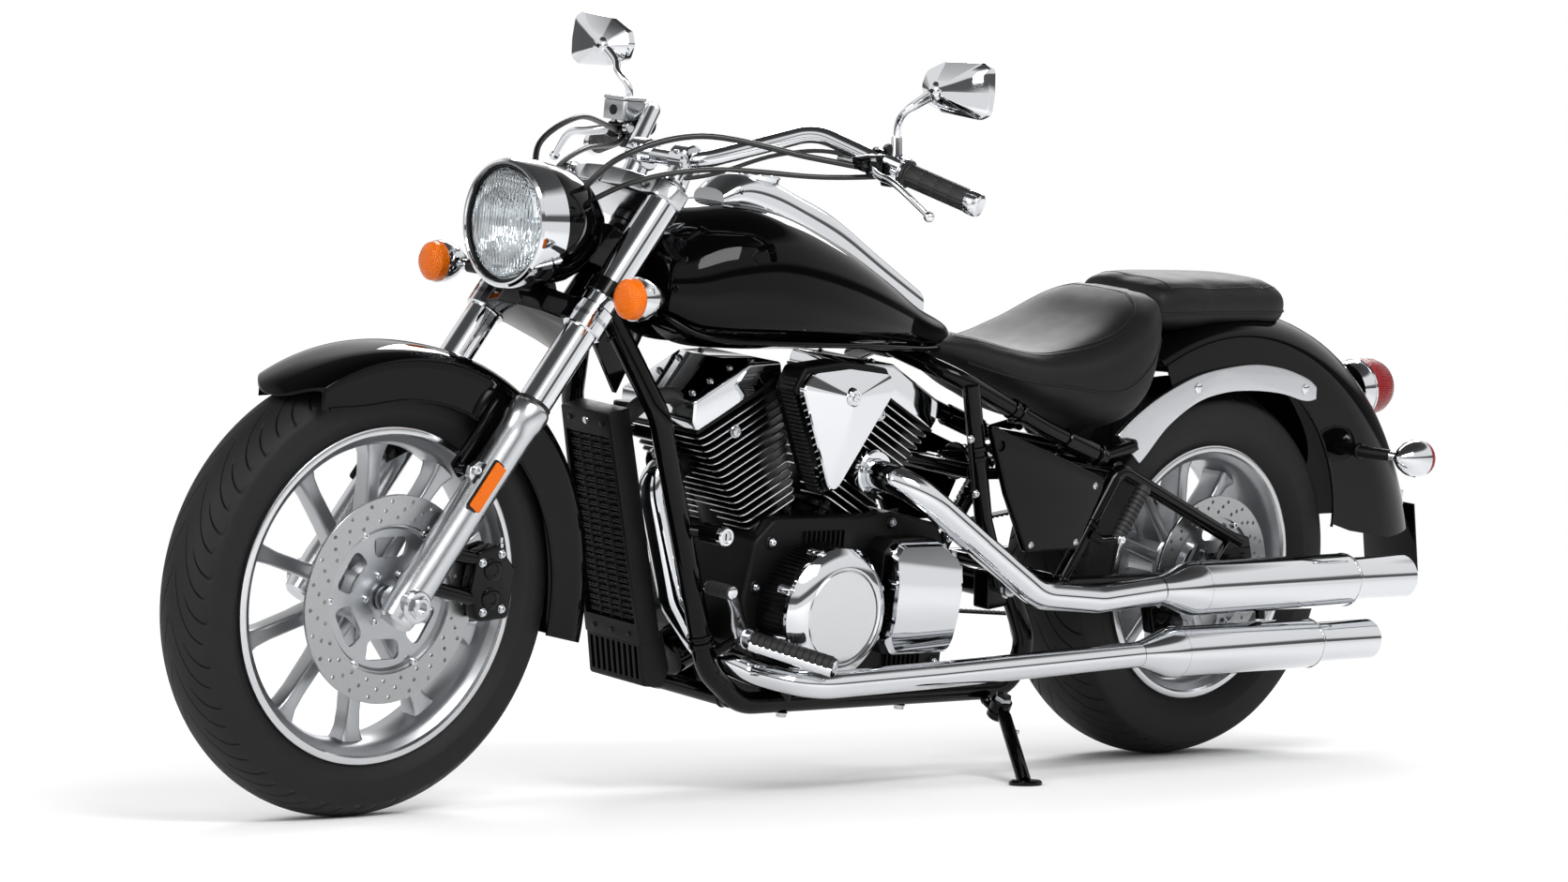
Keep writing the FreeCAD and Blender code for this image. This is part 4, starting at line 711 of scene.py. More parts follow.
def disc(sizes):
    centre = sizes["centre"]
    outer, inner, y = sizes["discRadius"], sizes["discInner"], sizes["discY"]
    face = ringShape(centre + left * (y - 2.5), centre + left * (y + 2.5), outer, inner, sizes["steel"], 96,
                     0.5)
    drills = []
    for k in range(3):
        radius = inner + 9 + k * (outer - inner - 18) / 2
        turn = 0.09 * k
        spot = centre + at(cos(turn) * radius, y - 4, sin(turn) * radius)
        hole = lathe([(0, 0), (0, 3.1), (8, 3.1), (8, 0)], spot, left, sizes["steel"], 12)
        drills.append(ringOf(hole, sizes["holes"], centre, left))
    shapes = [cutAway(face, drills)]
    hub = sizes["hubRadius"] - 9
    low = sizes["hubHalf"] + 0.5
    near = y - low <= 16  # the disc runs close to the hub's end, so its carrier is one plate
    if near:
        plate = [(low, hub), (low, inner + 2), (y - 2.6, inner + 2), (y - 1.5, inner - 4),
                 (low + 5.5, inner - 8), (low + 5.5, hub)]
    else:
        plate = [(y - 9, hub), (y - 9, inner + 3), (y - 2.6, inner + 3), (y - 2.6, hub)]
        shapes.append(ringShape(centre + left * low, centre + left * (y - 8.5), hub + 12, hub,
                                "wrinkleEnamel", 48))
    carrier = lathe(plate, centre, left, "castAluminium", 96, loop=True)
    middle = (hub + inner) / 2 + 5
    window = roundCorners([(-26, -15), (26, -15), (33, 15), (-33, 15)], 12, 5)
    corners = [centre + at(x, low - 20, middle + z) for x, z in window]
    holes = ringOf(prism(corners, left * 60, "castAluminium", 0), 6, centre, left)
    shapes.append(cutAway(carrier, [holes]))
    for radius, size, face in ((inner - 2, 5.5, y - 2.4), (hub + 9, 5.0, low + 5.5 if near else y - 2.6)):
        spot = centre + at(sin(pi / 6) * radius, face, cos(pi / 6) * radius)
        shapes.append(ringOf(hexBolt(spot, left, size), 6, centre, left))
    return shapes


def makeWheels():
    for side, sizes in wheels.items():
        body = side + "_wheel"
        gather(side + "Tyre", body, [tyre(sizes)], [side + "_tyre"], 50)
        gather(side + "Rim", body, rim(sizes), [side + "_rim"], 40)
        gather(side + "Disc", body, disc(sizes), [side + "_disc"])
    print("wheels done")


# Fork and what it carries

fork = {"spread": 110, "sliderTop": 343, "sleeve": 25, "lowerClamp": 480, "topClamp": 705, "top": 745}


def forkLegs():
    sliders, tubes = [], []
    y = fork["spread"]
    base = atFork(0, y, 0)
    top = fork["sliderTop"]
    profile = [(-33, 0), (-33, 21), (-29, 25.5), (-12, 27), (30, 28), (70, 27), (290, 27), (306, 28),
               (314, 30), (336, 30), (341, 28.5), (top, 27), (top, 22.5)]
    sliders.append(lathe(profile, base, upLeg, "buffedAluminium", 64))
    sliders.append(rod(base - left * 27, base + left * 30, 24, "buffedAluminium", 48, 3))
    lug = [atFork(p, y + 8, s) for p, s in ((-30, -16), (-30, 20), (-10, 26), (-10, -22))]
    sliders.append(prism(lug, left * -16, "buffedAluminium", 3))
    sliders.append(hexBolt(atFork(-20, y + 8, 2), left, 5))
    ear = [atFork(p, y + 14, s) for p, s in ((18, 190), (38, 196), (44, 210), (38, 224), (18, 232))]
    sliders.append(prism(ear, left * -12, "buffedAluminium", 3))
    sliders.append(hexBolt(atFork(35, y + 14, 210), left, 6.5))
    tubes.append(lathe([(top, 22), (top, 26.4), (top + 6, 26.4), (top + 8, 22)], base, upLeg, "blackNylon",
                       48, True))
    low = fork["lowerClamp"]
    sleeve = [(top + 6, 0), (top + 6, fork["sleeve"]), (low + 1, fork["sleeve"]), (low + 1, 0)]
    tubes.append(lathe(sleeve, base, upLeg, "chromePlate", 64))
    sleeve = [(low + 39, 0), (low + 39, fork["sleeve"]), (fork["topClamp"] + 1, fork["sleeve"])]
    tubes.append(lathe(sleeve + [(fork["topClamp"] + 1, 0)], base, upLeg, "chromePlate", 64))
    cap = [(fork["topClamp"] + 29, 0), (fork["topClamp"] + 29, 20), (fork["top"] - 3, 20), (fork["top"], 16)]
    tubes.append(lathe(cap + [(fork["top"] + 3, 12), (fork["top"] + 3, 0)], base, upLeg, "chromePlate", 6))
    gather("forkSliders", "steering", bothSides(sliders), ["fork_sliders"])
    gather("forkTubes", "steering", bothSides(tubes), ["fork_tubes"])


def clampPlate(along, height, outline, material, bevel):
    corners = [atFork(p, y, along) for p, y in outline]
    return prism(corners, upLeg * height, material, bevel, 3)


def tripleClamps():
    half = [(38, 0), (38, 48), (27, 84), (30, 118), (14, 138), (-14, 138), (-30, 118), (-28, 92), (-62, 52),
            (-92, 30)]
    outline = roundCorners(half + [(p, -y) for p, y in reversed(half[1:])], 16, 5)
    shapes = [clampPlate(fork["topClamp"], 30, outline, "buffedAluminium", 5)]
    shapes.append(clampPlate(fork["lowerClamp"], 38, outline, "blackPowderCoat", 4))
    stem = atFork(-58, 0, 0)
    shapes.append(rod(stem + upLeg * 520, stem + upLeg * 706, 17, "blackPowderCoat"))
    shapes.append(lathe([(0, 0), (0, 21), (9, 21), (11, 18), (11, 0)], stem + upLeg * 735, upLeg,
                        "chromePlate", 36))
    for side in (1, -1):
        leg = atFork(0, side * fork["spread"], 0)
        for low in (fork["lowerClamp"] - 3, fork["lowerClamp"] + 12):
            shapes.append(ringShape(leg + upLeg * low, leg + upLeg * (low + 26), 30.5, 24, "chromePlate",
                                    64, 2))
        shapes.append(hexBolt(atFork(31, side * 84, 720), ahead, 5.5))
    gather("tripleClamps", "steering", shapes, ["triple_clamps"])


lampSizes = {"centre": at(1489, 0, 857), "radius": 94, "lens": 84, "flutes": 23}


def headlight():
    centre = lampSizes["centre"]
    radius, lens = lampSizes["radius"], lampSizes["lens"]
    band = [(-44, radius - 3), (-42, radius), (-4, radius + 0.5), (3, radius - 1), (6, radius - 5),
            (6, lens + 2), (2, lens), (-8, lens - 1), (-8, radius - 5), (-44, radius - 6)]
    shapes = [lathe(band, centre, forward, "chromePlate", 96, loop=True)]
    trim = [(-6, lens + 1), (1, lens + 0.5), (3, lens - 1.5), (1, lens - 3), (-6, lens - 3)]
    shapes.append(lathe(trim, centre, forward, "blackNylon", 96, loop=True))
    bucket = [(-43, radius - 2), (-60, radius - 3), (-90, radius - 9), (-120, radius - 22),
              (-146, radius - 44), (-160, radius - 68), (-166, 12), (-168, 0)]
    shapes.append(lathe(bucket[:-1] + [(-168, 0), (-162, 0), (-140, 40), (-44, radius - 8)], centre,
                        forward, "blackLacquer", 96))
    bowl = [(-6, lens - 2), (-22, 74), (-40, 58), (-54, 38), (-62, 16), (-64, 0)]
    shapes.append(lathe(bowl, centre, forward, "silveredGlass", 72))
    shapes.append(lathe([(-60, 0), (-60, 9), (-34, 9), (-28, 6), (-26, 0)], centre, forward, "chromePlate",
                        32))
    dome = [(-5, lens - 2.6), (-3, lens - 4)]
    dome += [(2 + 9 * (1 - (r / (lens - 4)) ** 2), r) for r in (72, 58, 42, 24, 10, 0)]
    back = [(x - 4, r) for x, r in reversed(dome[1:])]
    glass = lathe(dome + back + [dome[0]], centre, forward, "clearGlass", 72)
    flute = []
    count = lampSizes["flutes"]
    for i in range(count):
        y = (i - (count - 1) / 2) * 2 * (lens - 8) / count
        tall = sqrt((lens - 6) ** 2 - y**2) - 2
        dip = 2 + 9 * (1 - (abs(y) / lens) ** 2) - 7.5
        flute.append(rod(centre + at(dip, y, -tall), centre + at(dip, y, tall), 2.3, "clearGlass", 8, 0.5))
    gather("headlampGlass", "steering", [glass] + flute)
    foot = roundCorners([(1392, 752), (1452, 760), (1440, 786), (1402, 780)], 8)
    shapes.append(slab(foot, -20, 20, "blackPowderCoat", 3))
    shapes.append(slab([(1300, 792), (1384, 812), (1392, 838), (1330, 866), (1296, 850)], -52, 52,
                       "blackPowderCoat", 5))
    gather("headlight", "steering", shapes, ["headlight"])


def bulletLamp(centre, way, lensMaterial, stalkRoot):
    lens = [(14, 0), (13.5, 12), (11, 22), (5, 28.5), (-5, 30), (-9, 30), (-9, 0)]
    bowl = [(-6, 0), (-6, 31.5), (-14, 32), (-28, 29), (-42, 22), (-56, 12), (-63, 5), (-65, 0)]
    shapes = [lathe(lens, centre, way, lensMaterial, 48), lathe(bowl, centre, way, "chromePlate", 48)]
    inner = centre - way * 26
    shapes.append(rod(inner, inner.lerp(stalkRoot, 0.45), 8, "chromePlate"))
    shapes.append(rod(inner.lerp(stalkRoot, 0.4), stalkRoot, 10, "blackNylon"))
    return shapes


def frontSignals():
    shapes = bulletLamp(at(1435, 223, 776), forward, "amberAcrylic", atFork(0, 132, 548))
    clamp = atFork(0, fork["spread"], 0)
    shapes.append(ringShape(clamp + upLeg * 536, clamp + upLeg * 560, 29, 24, "blackPowderCoat", 40))
    gather("frontSignals", "steering", bothSides(shapes), ["front_signals"])


# Fenders

fenders = {"frontHalf": 76, "rearHalf": 112, "wall": 3}
frontArch = [(57, 326, 330, 338), (62, 306, 333, 345), (75, 284, 336, 352), (90, 282, 339, 358),
             (110, 284, 343, 366), (135, 287, 346, 378), (160, 291, 346, 386), (180, 296, 346, 392),
             (192, 300, 346, 398)]
rearArch = [(64, 345, 385, 425), (90, 340, 395, 433), (115, 335, 398, 460), (140, 318, 402, 498),
            (160, 298, 408, 534), (173, 277, 416, 562)]


def archRow(axle, turn, half, edge, shoulder, crown, wall):
    t = radians(turn)
    ray = at(cos(t), 0, sin(t))
    outer = []
    for k in range(5):  # the side, straight up with a slight flare at its foot
        share = k / 5
        outer.append((half + 0.8 * (1 - share) ** 2, edge + (shoulder - edge) * share))
    for k in range(13):  # and over the crown
        a = pi * k / 24
        outer.append((half * cos(a) ** 0.86, shoulder + (crown - shoulder) * sin(a)))
    row = [(y, r) for y, r in outer] + [(-y, r) for y, r in reversed(outer[:-1])]
    inner = [(y * (1 - wall / half), r - wall * max(0, min(1, (r - edge) / 20))) for y, r in reversed(row)]
    return [axle + left * y + ray * r for y, r in row + inner]


def fenderShape(axle, half, stations, wall, material):
    rows = [archRow(axle, *row[:1], half, *row[1:], wall) for row in smoothStations(stations, 8)]
    return skin(rows, material)


def fenderBead(axle, half, stations, side, skip=0):  # the rolled edge
    path = []
    for turn, edge, *_ in smoothStations(stations, 8)[skip:]:
        t = radians(turn)
        path.append(axle + left * side * half + at(cos(t), 0, sin(t)) * (edge + 2))
    return sweep(path, 2.6, "blackLacquer", 10)


def frontFender():
    turn, *_, crown = frontArch[0]
    tip = frontAxle + at(cos(radians(turn)), 0, sin(radians(turn))) * crown
    bill = [(tip.x - 95 + sqrt(95**2 - y * y), y) for y in range(-82, 83, 4)]
    bill += [(tip.x + 60, 82), (tip.x + 60, -82)]
    front = prism([at(x, y, tip.z - 20) for x, y in bill], up * 200, "blackLacquer", 0)
    shapes = [cutAway(fenderShape(frontAxle, fenders["frontHalf"], frontArch, fenders["wall"],
                                  "blackLacquer"), [front])]
    for side in (1, -1):
        shapes.append(fenderBead(frontAxle, fenders["frontHalf"], frontArch, side, 9))
        stay = [atFork(p, side * 77, s) for p, s in ((-36, 330), (40, 326), (44, 206), (20, 198), (-6, 240))]
        shapes.append(prism(stay, left * side * 5, "blackLacquer", 2))
        shapes.append(rod(atFork(30, side * 80, 210), atFork(30, side * 98, 210), 8, "blackPowderCoat"))
    gather("frontFender", "steering", shapes, ["front_fender"], 40)


def rearFender():
    scoop = slab([(-262, 404), (-330, 386), (-420, 374), (-500, 369), (-570, 367), (-570, 300), (-200, 300),
                  (-230, 410)],
                 -130, 130, "blackLacquer", 0)
    shapes = [cutAway(fenderShape(rearAxle, fenders["rearHalf"], rearArch, fenders["wall"], "blackLacquer"),
                      [scoop])]
    for side in (1, -1):
        shapes.append(fenderBead(rearAxle, fenders["rearHalf"], rearArch[:-1] + [(165, 289, 410, 543)], side))
    gather("rearFender", "chassis", shapes, ["rear_fender"], 40)
    strut = []
    outer = [(280, 556), (236, 590), (180, 622), (104, 652), (30, 666), (-40, 671), (-110, 664),
             (-170, 648), (-196, 634)]
    inner = [(-198, 612), (-170, 610), (-110, 622), (-40, 627), (30, 624), (96, 608), (160, 570),
             (205, 524), (222, 508)]
    curve = smoothRow([at(x, 0, z) for x, z in outer], 6) + smoothRow([at(x, 0, z) for x, z in inner], 6)
    outline = [(p.x, p.z) for p in curve]
    strut.append(slab(outline, 112.3, 120.5, "buffedAluminium", 2.5, 3))
    for x, z in ((246, 546), (232, 534)):
        strut.append(lathe([(0, 0), (0, 3.4), (1.4, 3), (1.8, 1.2), (1.8, 0)], at(x, 120.2, z), left,
                           "darkCore", 16))
    for x, z in ((100, 632), (-166, 630)):
        strut.append(lathe([(0, 0), (0, 9), (2, 8.4), (4, 5), (4.6, 0)], at(x, 120, z), left, "chromePlate",
                           24))
    gather("fenderStruts", "chassis", bothSides(strut), ["fender_struts"])


# Tank, console and seats

tankStations = [
    (1238, 60, 740, 820, 0.9), (1232, 86, 722, 836, 0.84), (1196, 116, 696, 860, 0.78),
    (1150, 138, 685, 888, 0.76),
    (1080, 154, 682, 903, 0.74), (1000, 160, 682, 890, 0.74), (900, 152, 684, 853, 0.74),
    (800, 130, 684, 806, 0.76),
    (700, 92, 682, 758, 0.8), (612, 46, 684, 728, 0.86), (596, 20, 694, 716, 0.95),
]


def tankRow(x, half, low, high, power):  # a teardrop whose widest line lies below its middle
    row = []
    middle = low + (high - low) * 0.42
    for i in range(48):
        turn = 2 * pi * (i + 0.5) / 48
        c, s = cos(turn), sin(turn)
        y = half * abs(c) ** power * (1 if c > 0 else -1)
        size = high - middle if s > 0 else middle - low
        z = middle + size * abs(s) ** power * (1 if s > 0 else -1)
        row.append(at(x, y, z))
    return row


def fuelTank():
    stations = smoothStations(tankStations, 8)
    tank = skin([tankRow(*station) for station in stations], "blackLacquer")
    gap = roundCorners([(-36, 640), (-36, 742), (36, 742), (36, 640)], 14)
    tunnel = prism([at(1300, y, z) for y, z in gap], at(-760, 0, 0), "blackLacquer", 0)
    shapes = [cutAway(tank, [tunnel])]
    for side in (1, -1):  # the welded seam flange along the lower edge
        seam = []
        for x, half, low, high, _ in stations[4:-4]:
            seam.append(at(x, side * (half * 0.93 + 1), low + (high - low) * 0.10))
        last = len(seam) - 1
        sizes = [4 * min(1, k / 6, (last - k) / 6) + 0.5 for k in range(last + 1)]
        shapes.append(sweep(seam, sizes, "blackLacquer", 12))
    gather("fuelTank", "chassis", shapes, ["fuel_tank"], 40)


# Handlebar and what is fixed to it

bar = {"radius": 12.7, "clampY": 48, "bend": 70, "turn": at(1003, 300, 980), "end": at(965, 430, 945)}
bar["way"] = (bar["end"] - bar["turn"]).normalized()
grip = {"start": 312, "end": 428, "radius": 17, "pads": 14, "bands": 4, "cap": 12}


def alongGrip(y):
    share = (y - bar["turn"].y) / (bar["end"].y - bar["turn"].y)
    return bar["turn"].lerp(bar["end"], share)


# sizes: (half width, half height) at each point
def ovalSweep(path, sizes, material, wide, power=1.0, count=20):
    rows = []
    for i, point in enumerate(path):
        way = (path[min(i + 1, len(path) - 1)] - path[max(i - 1, 0)]).normalized()
        side = (wide - way * wide.dot(way)).normalized()
        rows.append(ovalRow(point, *sizes[i], power, count, side, way.cross(side)))
    return skin(rows, material)


def handlebar():
    half = [at(1196, 72, 962), at(1066, 181, 1023), bar["turn"], bar["end"]]
    path = [at(p.x, -p.y, p.z) for p in reversed(half)] + half
    shapes = [sweep(bent(path, bar["bend"], 10), bar["radius"], "chromePlate", 32)]
    risers = []
    y = bar["clampY"]
    foot, top = atFork(-54, y, 735), at(1196, y, 962)
    path = [foot, foot.lerp(top, 0.3), foot.lerp(top, 0.62), top]
    risers.append(ovalSweep(path, [(19, 24), (17, 20), (16, 18), (16, 16)], "chromePlate", left, 0.8, 32))
    risers.append(lathe([(-1, 0), (-1, 25), (4, 25), (6, 21), (6, 0)], foot, top - foot, "chromePlate", 40))
    barrel = [(-17, 13), (-17, 21), (-14, 24), (14, 24), (17, 21), (17, 13)]
    risers.append(lathe(barrel, top, left, "chromePlate", 48, loop=True))
    for side in (1, -1):
        risers.append(hexBolt(top + at(side * 19, 0, 12), at(0.2 * side, 0, 1), 4))
    gather("handlebar", "steering", shapes + bothSides(risers), ["handlebar"])


def gripSkin(start, end, radius):  # raised pads between fine grooves, lengthwise and round
    length = (end - start).length
    way = (end - start).normalized()
    side = way.orthogonal().normalized()
    other = way.cross(side)
    stations = [(0, 1), (0.6, 4.6), (3.4, 4.6), (4.4, 0.2)]
    band = (length - 10) / grip["bands"]
    for i in range(grip["bands"]):
        low = 6 + band * i
        stations += [(low, -0.9), (low + 0.8, 0), (low + band - 1.4, 0), (low + band - 0.6, -0.9)]
    stations.append((length, -0.9))
    rows = []
    for along, rise in stations:
        row = []
        for i in range(grip["pads"] * 6):
            size = radius + (-0.9 if i % 6 in (0, 5) and along > 5 else rise)
            turn = 2 * pi * (i + 0.5) / (grip["pads"] * 6)
            row.append(start + way * along + (side * cos(turn) + other * sin(turn)) * size)
        rows.append(row)
    return skin(rows, "mouldedRubber")


def grips():
    start, end = alongGrip(grip["start"]), alongGrip(grip["end"])
    shapes = [gripSkin(start, end - bar["way"] * grip["cap"], grip["radius"])]
    cap = [(-3, 0), (-3, 17.4), (0, 18.2), (13, 18.2), (17, 16.5), (19, 12), (18.2, 10), (18.2, 0)]
    shapes.append(lathe(cap, end - bar["way"] * grip["cap"], bar["way"], "chromePlate", 48))
    collar = [(-8, 13), (-8, 20), (-5, 22), (-1, 22), (0, 20), (0, 13)]
    shapes.append(lathe(collar, start, bar["way"], "chromePlate", 48, loop=True))
    gather("grips", "steering", bothSides(shapes), ["grips"])


controls = {"boxFrom": 279, "boxTo": 309, "boxRadius": 22, "ball": 8, "tip": at(1052, 420, 925)}


def leverBlade(root):
    pivot = root + at(40, 8, -4)
    path = smoothRow([pivot, pivot + at(20, 36, -8), pivot + at(24, 76, -16), controls["tip"]], 6)
    sizes = [(9 - 4.6 * i / (len(path) - 1), 6 - 1.8 * i / (len(path) - 1)) for i in range(len(path))]
    tip = controls["tip"]
    ball = [(cos(pi - pi * k / 12) * controls["ball"],
             sin(pi * k / 12) * controls["ball"]) for k in range(13)]
    return [
        ovalSweep(path, sizes, "chromePlate", ahead, 0.8),
        lathe(ball, tip, path[-1] - path[-2], "chromePlate", 32),
        rod(pivot - up * 13, pivot + up * 11, 9, "blackPowderCoat", 32, 1.5),
        hexBolt(pivot + up * 11, up, 4.4),
    ]


def switchBox(low, high):  # the shell of the switches, split along its middle
    path = [low, low + bar["way"] * 3, high - bar["way"] * 3, high]
    r = controls["boxRadius"]
    shapes = [ovalSweep(path, [(r - 3, r - 3), (r, r), (r, r), (r - 3, r - 3)], "chromePlate", up, 0.62, 40)]
    middle = low.lerp(high, 0.5)
    shapes.append(slab([(middle.x - r - 0.3, middle.z - 0.5), (middle.x + r + 0.3, middle.z - 0.5),
                        (middle.x + r + 0.3, middle.z + 0.5), (middle.x - r - 0.3, middle.z + 0.5)],
                       low.y + 4, high.y - 4, "blackNylon", 0))
    shapes.append(lathe([(-2, 0), (-2, 4.4), (0.6, 4.2), (1.2, 2), (0.2, 0)],
                        middle + forward * (r - 0.4) + up * 6,
                        forward, "blackNylon", 20))
    return shapes


def leftControls():
    low, high = alongGrip(controls["boxFrom"]), alongGrip(controls["boxTo"])
    shapes = switchBox(low, high)
    root = alongGrip(262)
    shapes.append(ringShape(root - bar["way"] * 9, root + bar["way"] * 9, 19, 13, "blackPowderCoat", 40, 1.5))
    perch = [(-4, -12), (24, -14), (54, -10), (56, 6), (30, 12), (6, 16)]
    corners = [root + bar["way"] * 4 + forward * x + up * z for x, z in roundCorners(perch, 6, 4)]
    shapes.append(prism(corners, at(0, 24, -4), "blackPowderCoat", 2.5, 3))
    for x, z in ((-10, 17), (-10, -17)):
        shapes.append(hexBolt(root + at(x + 14, 2, z), up if z > 0 else -up, 3.6))
    shapes += leverBlade(alongGrip(282))
    start = root + at(46, 2, -2)
    shapes.append(lathe([(0, 0), (0, 6), (5, 6), (6, 5), (16, 5), (17, 4), (26, 3.6), (26, 0)], start,
                        at(0.62, -0.76, 0.1), "zincBolt", 12))
    pod = [low + at(-16, 4, -16), low + at(18, 4, -16), low + at(14, 4, -30), low + at(-10, 4, -30)]
    shapes.append(prism(pod, at(0, 20, 0), "blackNylon", 3, 3))
    shapes.append(rod(low + at(6, 12, 18), low + at(14, 10, 30), 7, "blackNylon", 24, 2))
    return shapes


def rightControls():  # drawn on the left and mirrored
    low, high = alongGrip(controls["boxFrom"]), alongGrip(controls["boxTo"])
    shapes = switchBox(low, high)
    root = alongGrip(262)
    shapes.append(ringShape(root - bar["way"] * 11, root + bar["way"] * 11, 19, 13, "blackPowderCoat", 40,
                            1.5))
    base = root + at(30, 12, 6)
    tub = roundCorners([(-22, -26), (22, -26), (22, 26), (-22, 26)], 7, 5)
    shapes.append(prism([base + at(x, y, 0) for x, y in tub], up * 30, "castAluminium", 1.5, 2))
    shapes.append(prism([base + at(x * 1.05, y * 1.05, 30.4) for x, y in tub], up * 6, "castAluminium", 2, 2))
    for x, y in ((15, 19), (-15, -19)):
        shapes.append(lathe([(0, 0), (0, 3.4), (1, 3.2), (1.4, 1.6), (0.8, 0)], base + at(x, y, 36.2), up,
                            "zincBolt", 16))
    window = [base + at(22, 0, 15), base + at(23.6, 0, 15)]
    shapes.append(rod(window[0], window[1], 8, "blackNylon", 24, 0.6))
    body = [(-6, -16), (40, -14), (46, 2), (6, 8)]
    corners = [root + forward * x + up * z for x, z in roundCorners(body, 5, 4)]
    shapes.append(prism(corners, at(0, 44, -8), "blackPowderCoat", 2.5, 3))
    shapes += leverBlade(alongGrip(282))
    banjo = root + at(40, -6, -4)
    shapes.append(rod(banjo, banjo - left * 12, 8, "zincBolt", 24, 1))
    pod = [low + at(-18, 2, -14), low + at(16, 2, -14), low + at(14, 2, -34), low + at(-14, 2, -34)]
    shapes.append(prism(pod, at(0, 24, 0), "blackNylon", 4, 3))
    mirror = Matrix.Scale(-1, 4, left)
    return [moved(shape, mirror) for shape in shapes]


def handControls():
    gather("handControls", "steering", leftControls() + rightControls(), ["hand_controls"])


mirrorSizes = {"centre": at(1001, 396, 1109), "half": 70, "outerHigh": 43, "innerHigh": 30, "hub": 28}


def mirrors():
    # A shell drawn from its rim to a small hub, with one crease to each corner, and glass set in its back
    centre = mirrorSizes["centre"]
    half, tall, low = mirrorSizes["half"], mirrorSizes["outerHigh"], mirrorSizes["innerHigh"]
    corners = [(half - 4, tall - 8), (half - 20, tall), (-24, low + 9), (-half + 8, low - 8), (-half, 0),
               (-half + 8, -low + 6), (-24, -low - 6), (half - 20, -tall + 3), (half - 2, -tall + 12),
               (half, 0)]
    rim = [(y, z) for y, z in roundCorners(corners, 14, 4)]
    hub = (-mirrorSizes["hub"] + 4, -6)
    shapes = []
    rows = []
    for x, share in ((-14, 0.965), (-13, 0.99), (-10, 1.0), (-3, 1.0), (0, 0.97), (9, 0.62), (15, 0.36),
                     (19, 0.18)):
        rows.append([centre + at(x, hub[0] * (1 - share) + y * share,
                                 hub[1] * (1 - share) + z * share) for y, z in rim])
    shapes.append(skin(rows, "chromePlate"))
    glass = [centre + at(-14.6, y * 0.93, z * 0.92) for y, z in rim]
    shapes.append(prism(glass, at(0.9, 0, 0), "silveredGlass", 0))
    hubPlace = centre + at(12, *hub)
    shapes.append(lathe([(-2, 0), (-2, 15), (5, 14), (9, 10), (11, 5), (11.4, 0)], hubPlace, forward,
                        "chromePlate", 36))
    shapes.append(lathe([(0, 0), (0, 3.6), (0.8, 3.2), (0.8, 0)], hubPlace + forward * 11.2, forward,
                        "blackNylon", 16))
    base = alongGrip(298) + at(6, 0, 20)
    stem = smoothRow([base + up * 2, base + at(6, 3, 44), base + at(14, 22, 66), hubPlace + at(2, -34, -20),
                      hubPlace], 7)
    count = len(stem) - 1
    sizes = [(5.4 + 4.6 * max(0, i / count - 0.55) / 0.45,
              5.2 + 2.4 * max(0, i / count - 0.6) / 0.4) for i in range(count + 1)]
    shapes.append(ovalSweep(stem, sizes, "chromePlate", up, 1.0, 24))
    sleeve = [(-4, 0), (-4, 9.4), (2, 9.4), (4, 8.4), (28, 7.6), (31, 6), (31, 0)]
    shapes.append(lathe(sleeve, base, stem[3] - stem[0], "chromePlate", 32))
    gather("mirrors", "steering", bothSides(shapes), ["mirrors"])


def controlCables():
    # Held all along by the lever, the clamp and the lamp's bucket
    shapes = []
    for side in (1, -1):
        start = alongGrip(290)
        start = at(start.x + 34, side * start.y, start.z - 4)
        route = [start, start + at(76, -side * 64, 10), at(1250, side * 140, 1006), at(1362, side * 92, 966)]
        route.append(at(1400, side * 40, 896))
        shapes.append(sweep(smoothRow(route, 10), 4.5, "cableSheath", 14))
        second = [p + at(-20, side * 4, -8 - 20 * i) for i, p in enumerate(route[:3])]
        second += [at(1330, side * 86, 930), at(1392, side * 30, 880)]
        shapes.append(sweep(smoothRow(second, 10), 4.0, "cableSheath", 14))
        loom = [at(1010, side * 290, 968), at(1052, side * 214, 996), at(1110, side * 150, 984),
                at(1178, side * 86, 946)]
        loom.append(at(1240, side * 40, 930))
        shapes.append(sweep(smoothRow(loom, 8), 3.2, "cableSheath", 12))
    gather("controlCables", "steering", shapes, ["control_cables"])


def frontCaliper():
    middle = at(1542, 0, 350.7)
    outline = roundCorners([(-34, -52), (20, -56), (38, -10), (30, 46), (-6, 56), (-40, 20)], 9, 5)
    spots = [(middle.x + x, middle.z + z) for x, z in outline]
    shapes = [slab(spots, 82, 107, "blackPowderCoat", 3, 3), slab(spots, 60, 69, "blackPowderCoat", 2, 2)]
    bridge = roundCorners([(-30, -44), (-8, -48), (0, 40), (-26, 40)], 6, 4)
    shapes.append(slab([(middle.x + x, middle.z + z) for x, z in bridge], 68, 84, "blackPowderCoat", 1))
    for z in (-22, 20):
        spot = middle + at(2, 104, z)
        pot = [(0, 0), (0, 17), (5, 16), (7, 13), (7, 8), (5.5, 7), (5.5, 0)]
        shapes.append(lathe(pot, spot, left, "blackPowderCoat", 40))
    for x, z in ((-20, -38), (14, -42), (22, 30), (-12, 42)):
        shapes.append(hexBolt(middle + at(x, 106, z), left, 5))
    for height, along in ((-28, 36), (30, 92)):
        spot = middle + at(6, 96, height)
        shapes.append(rod(spot, atFork(-6, 96, along), 10.5, "blackPowderCoat", 28, 2))
        shapes.append(hexBolt(atFork(-12, 105, along), left, 6))
    shapes.append(lathe([(0, 0), (0, 4), (6, 4), (7, 2.6), (14, 2.4), (14, 0)], middle + at(-18, 96, 50),
                        up, "zincBolt", 12))
    for z in (-26, 24):
        shapes.append(rod(middle + at(-16, 70, z), middle + at(-16, 82, z), 4, "zincBolt", 16))
    gather("frontCaliper", "steering", shapes, ["front_caliper"])


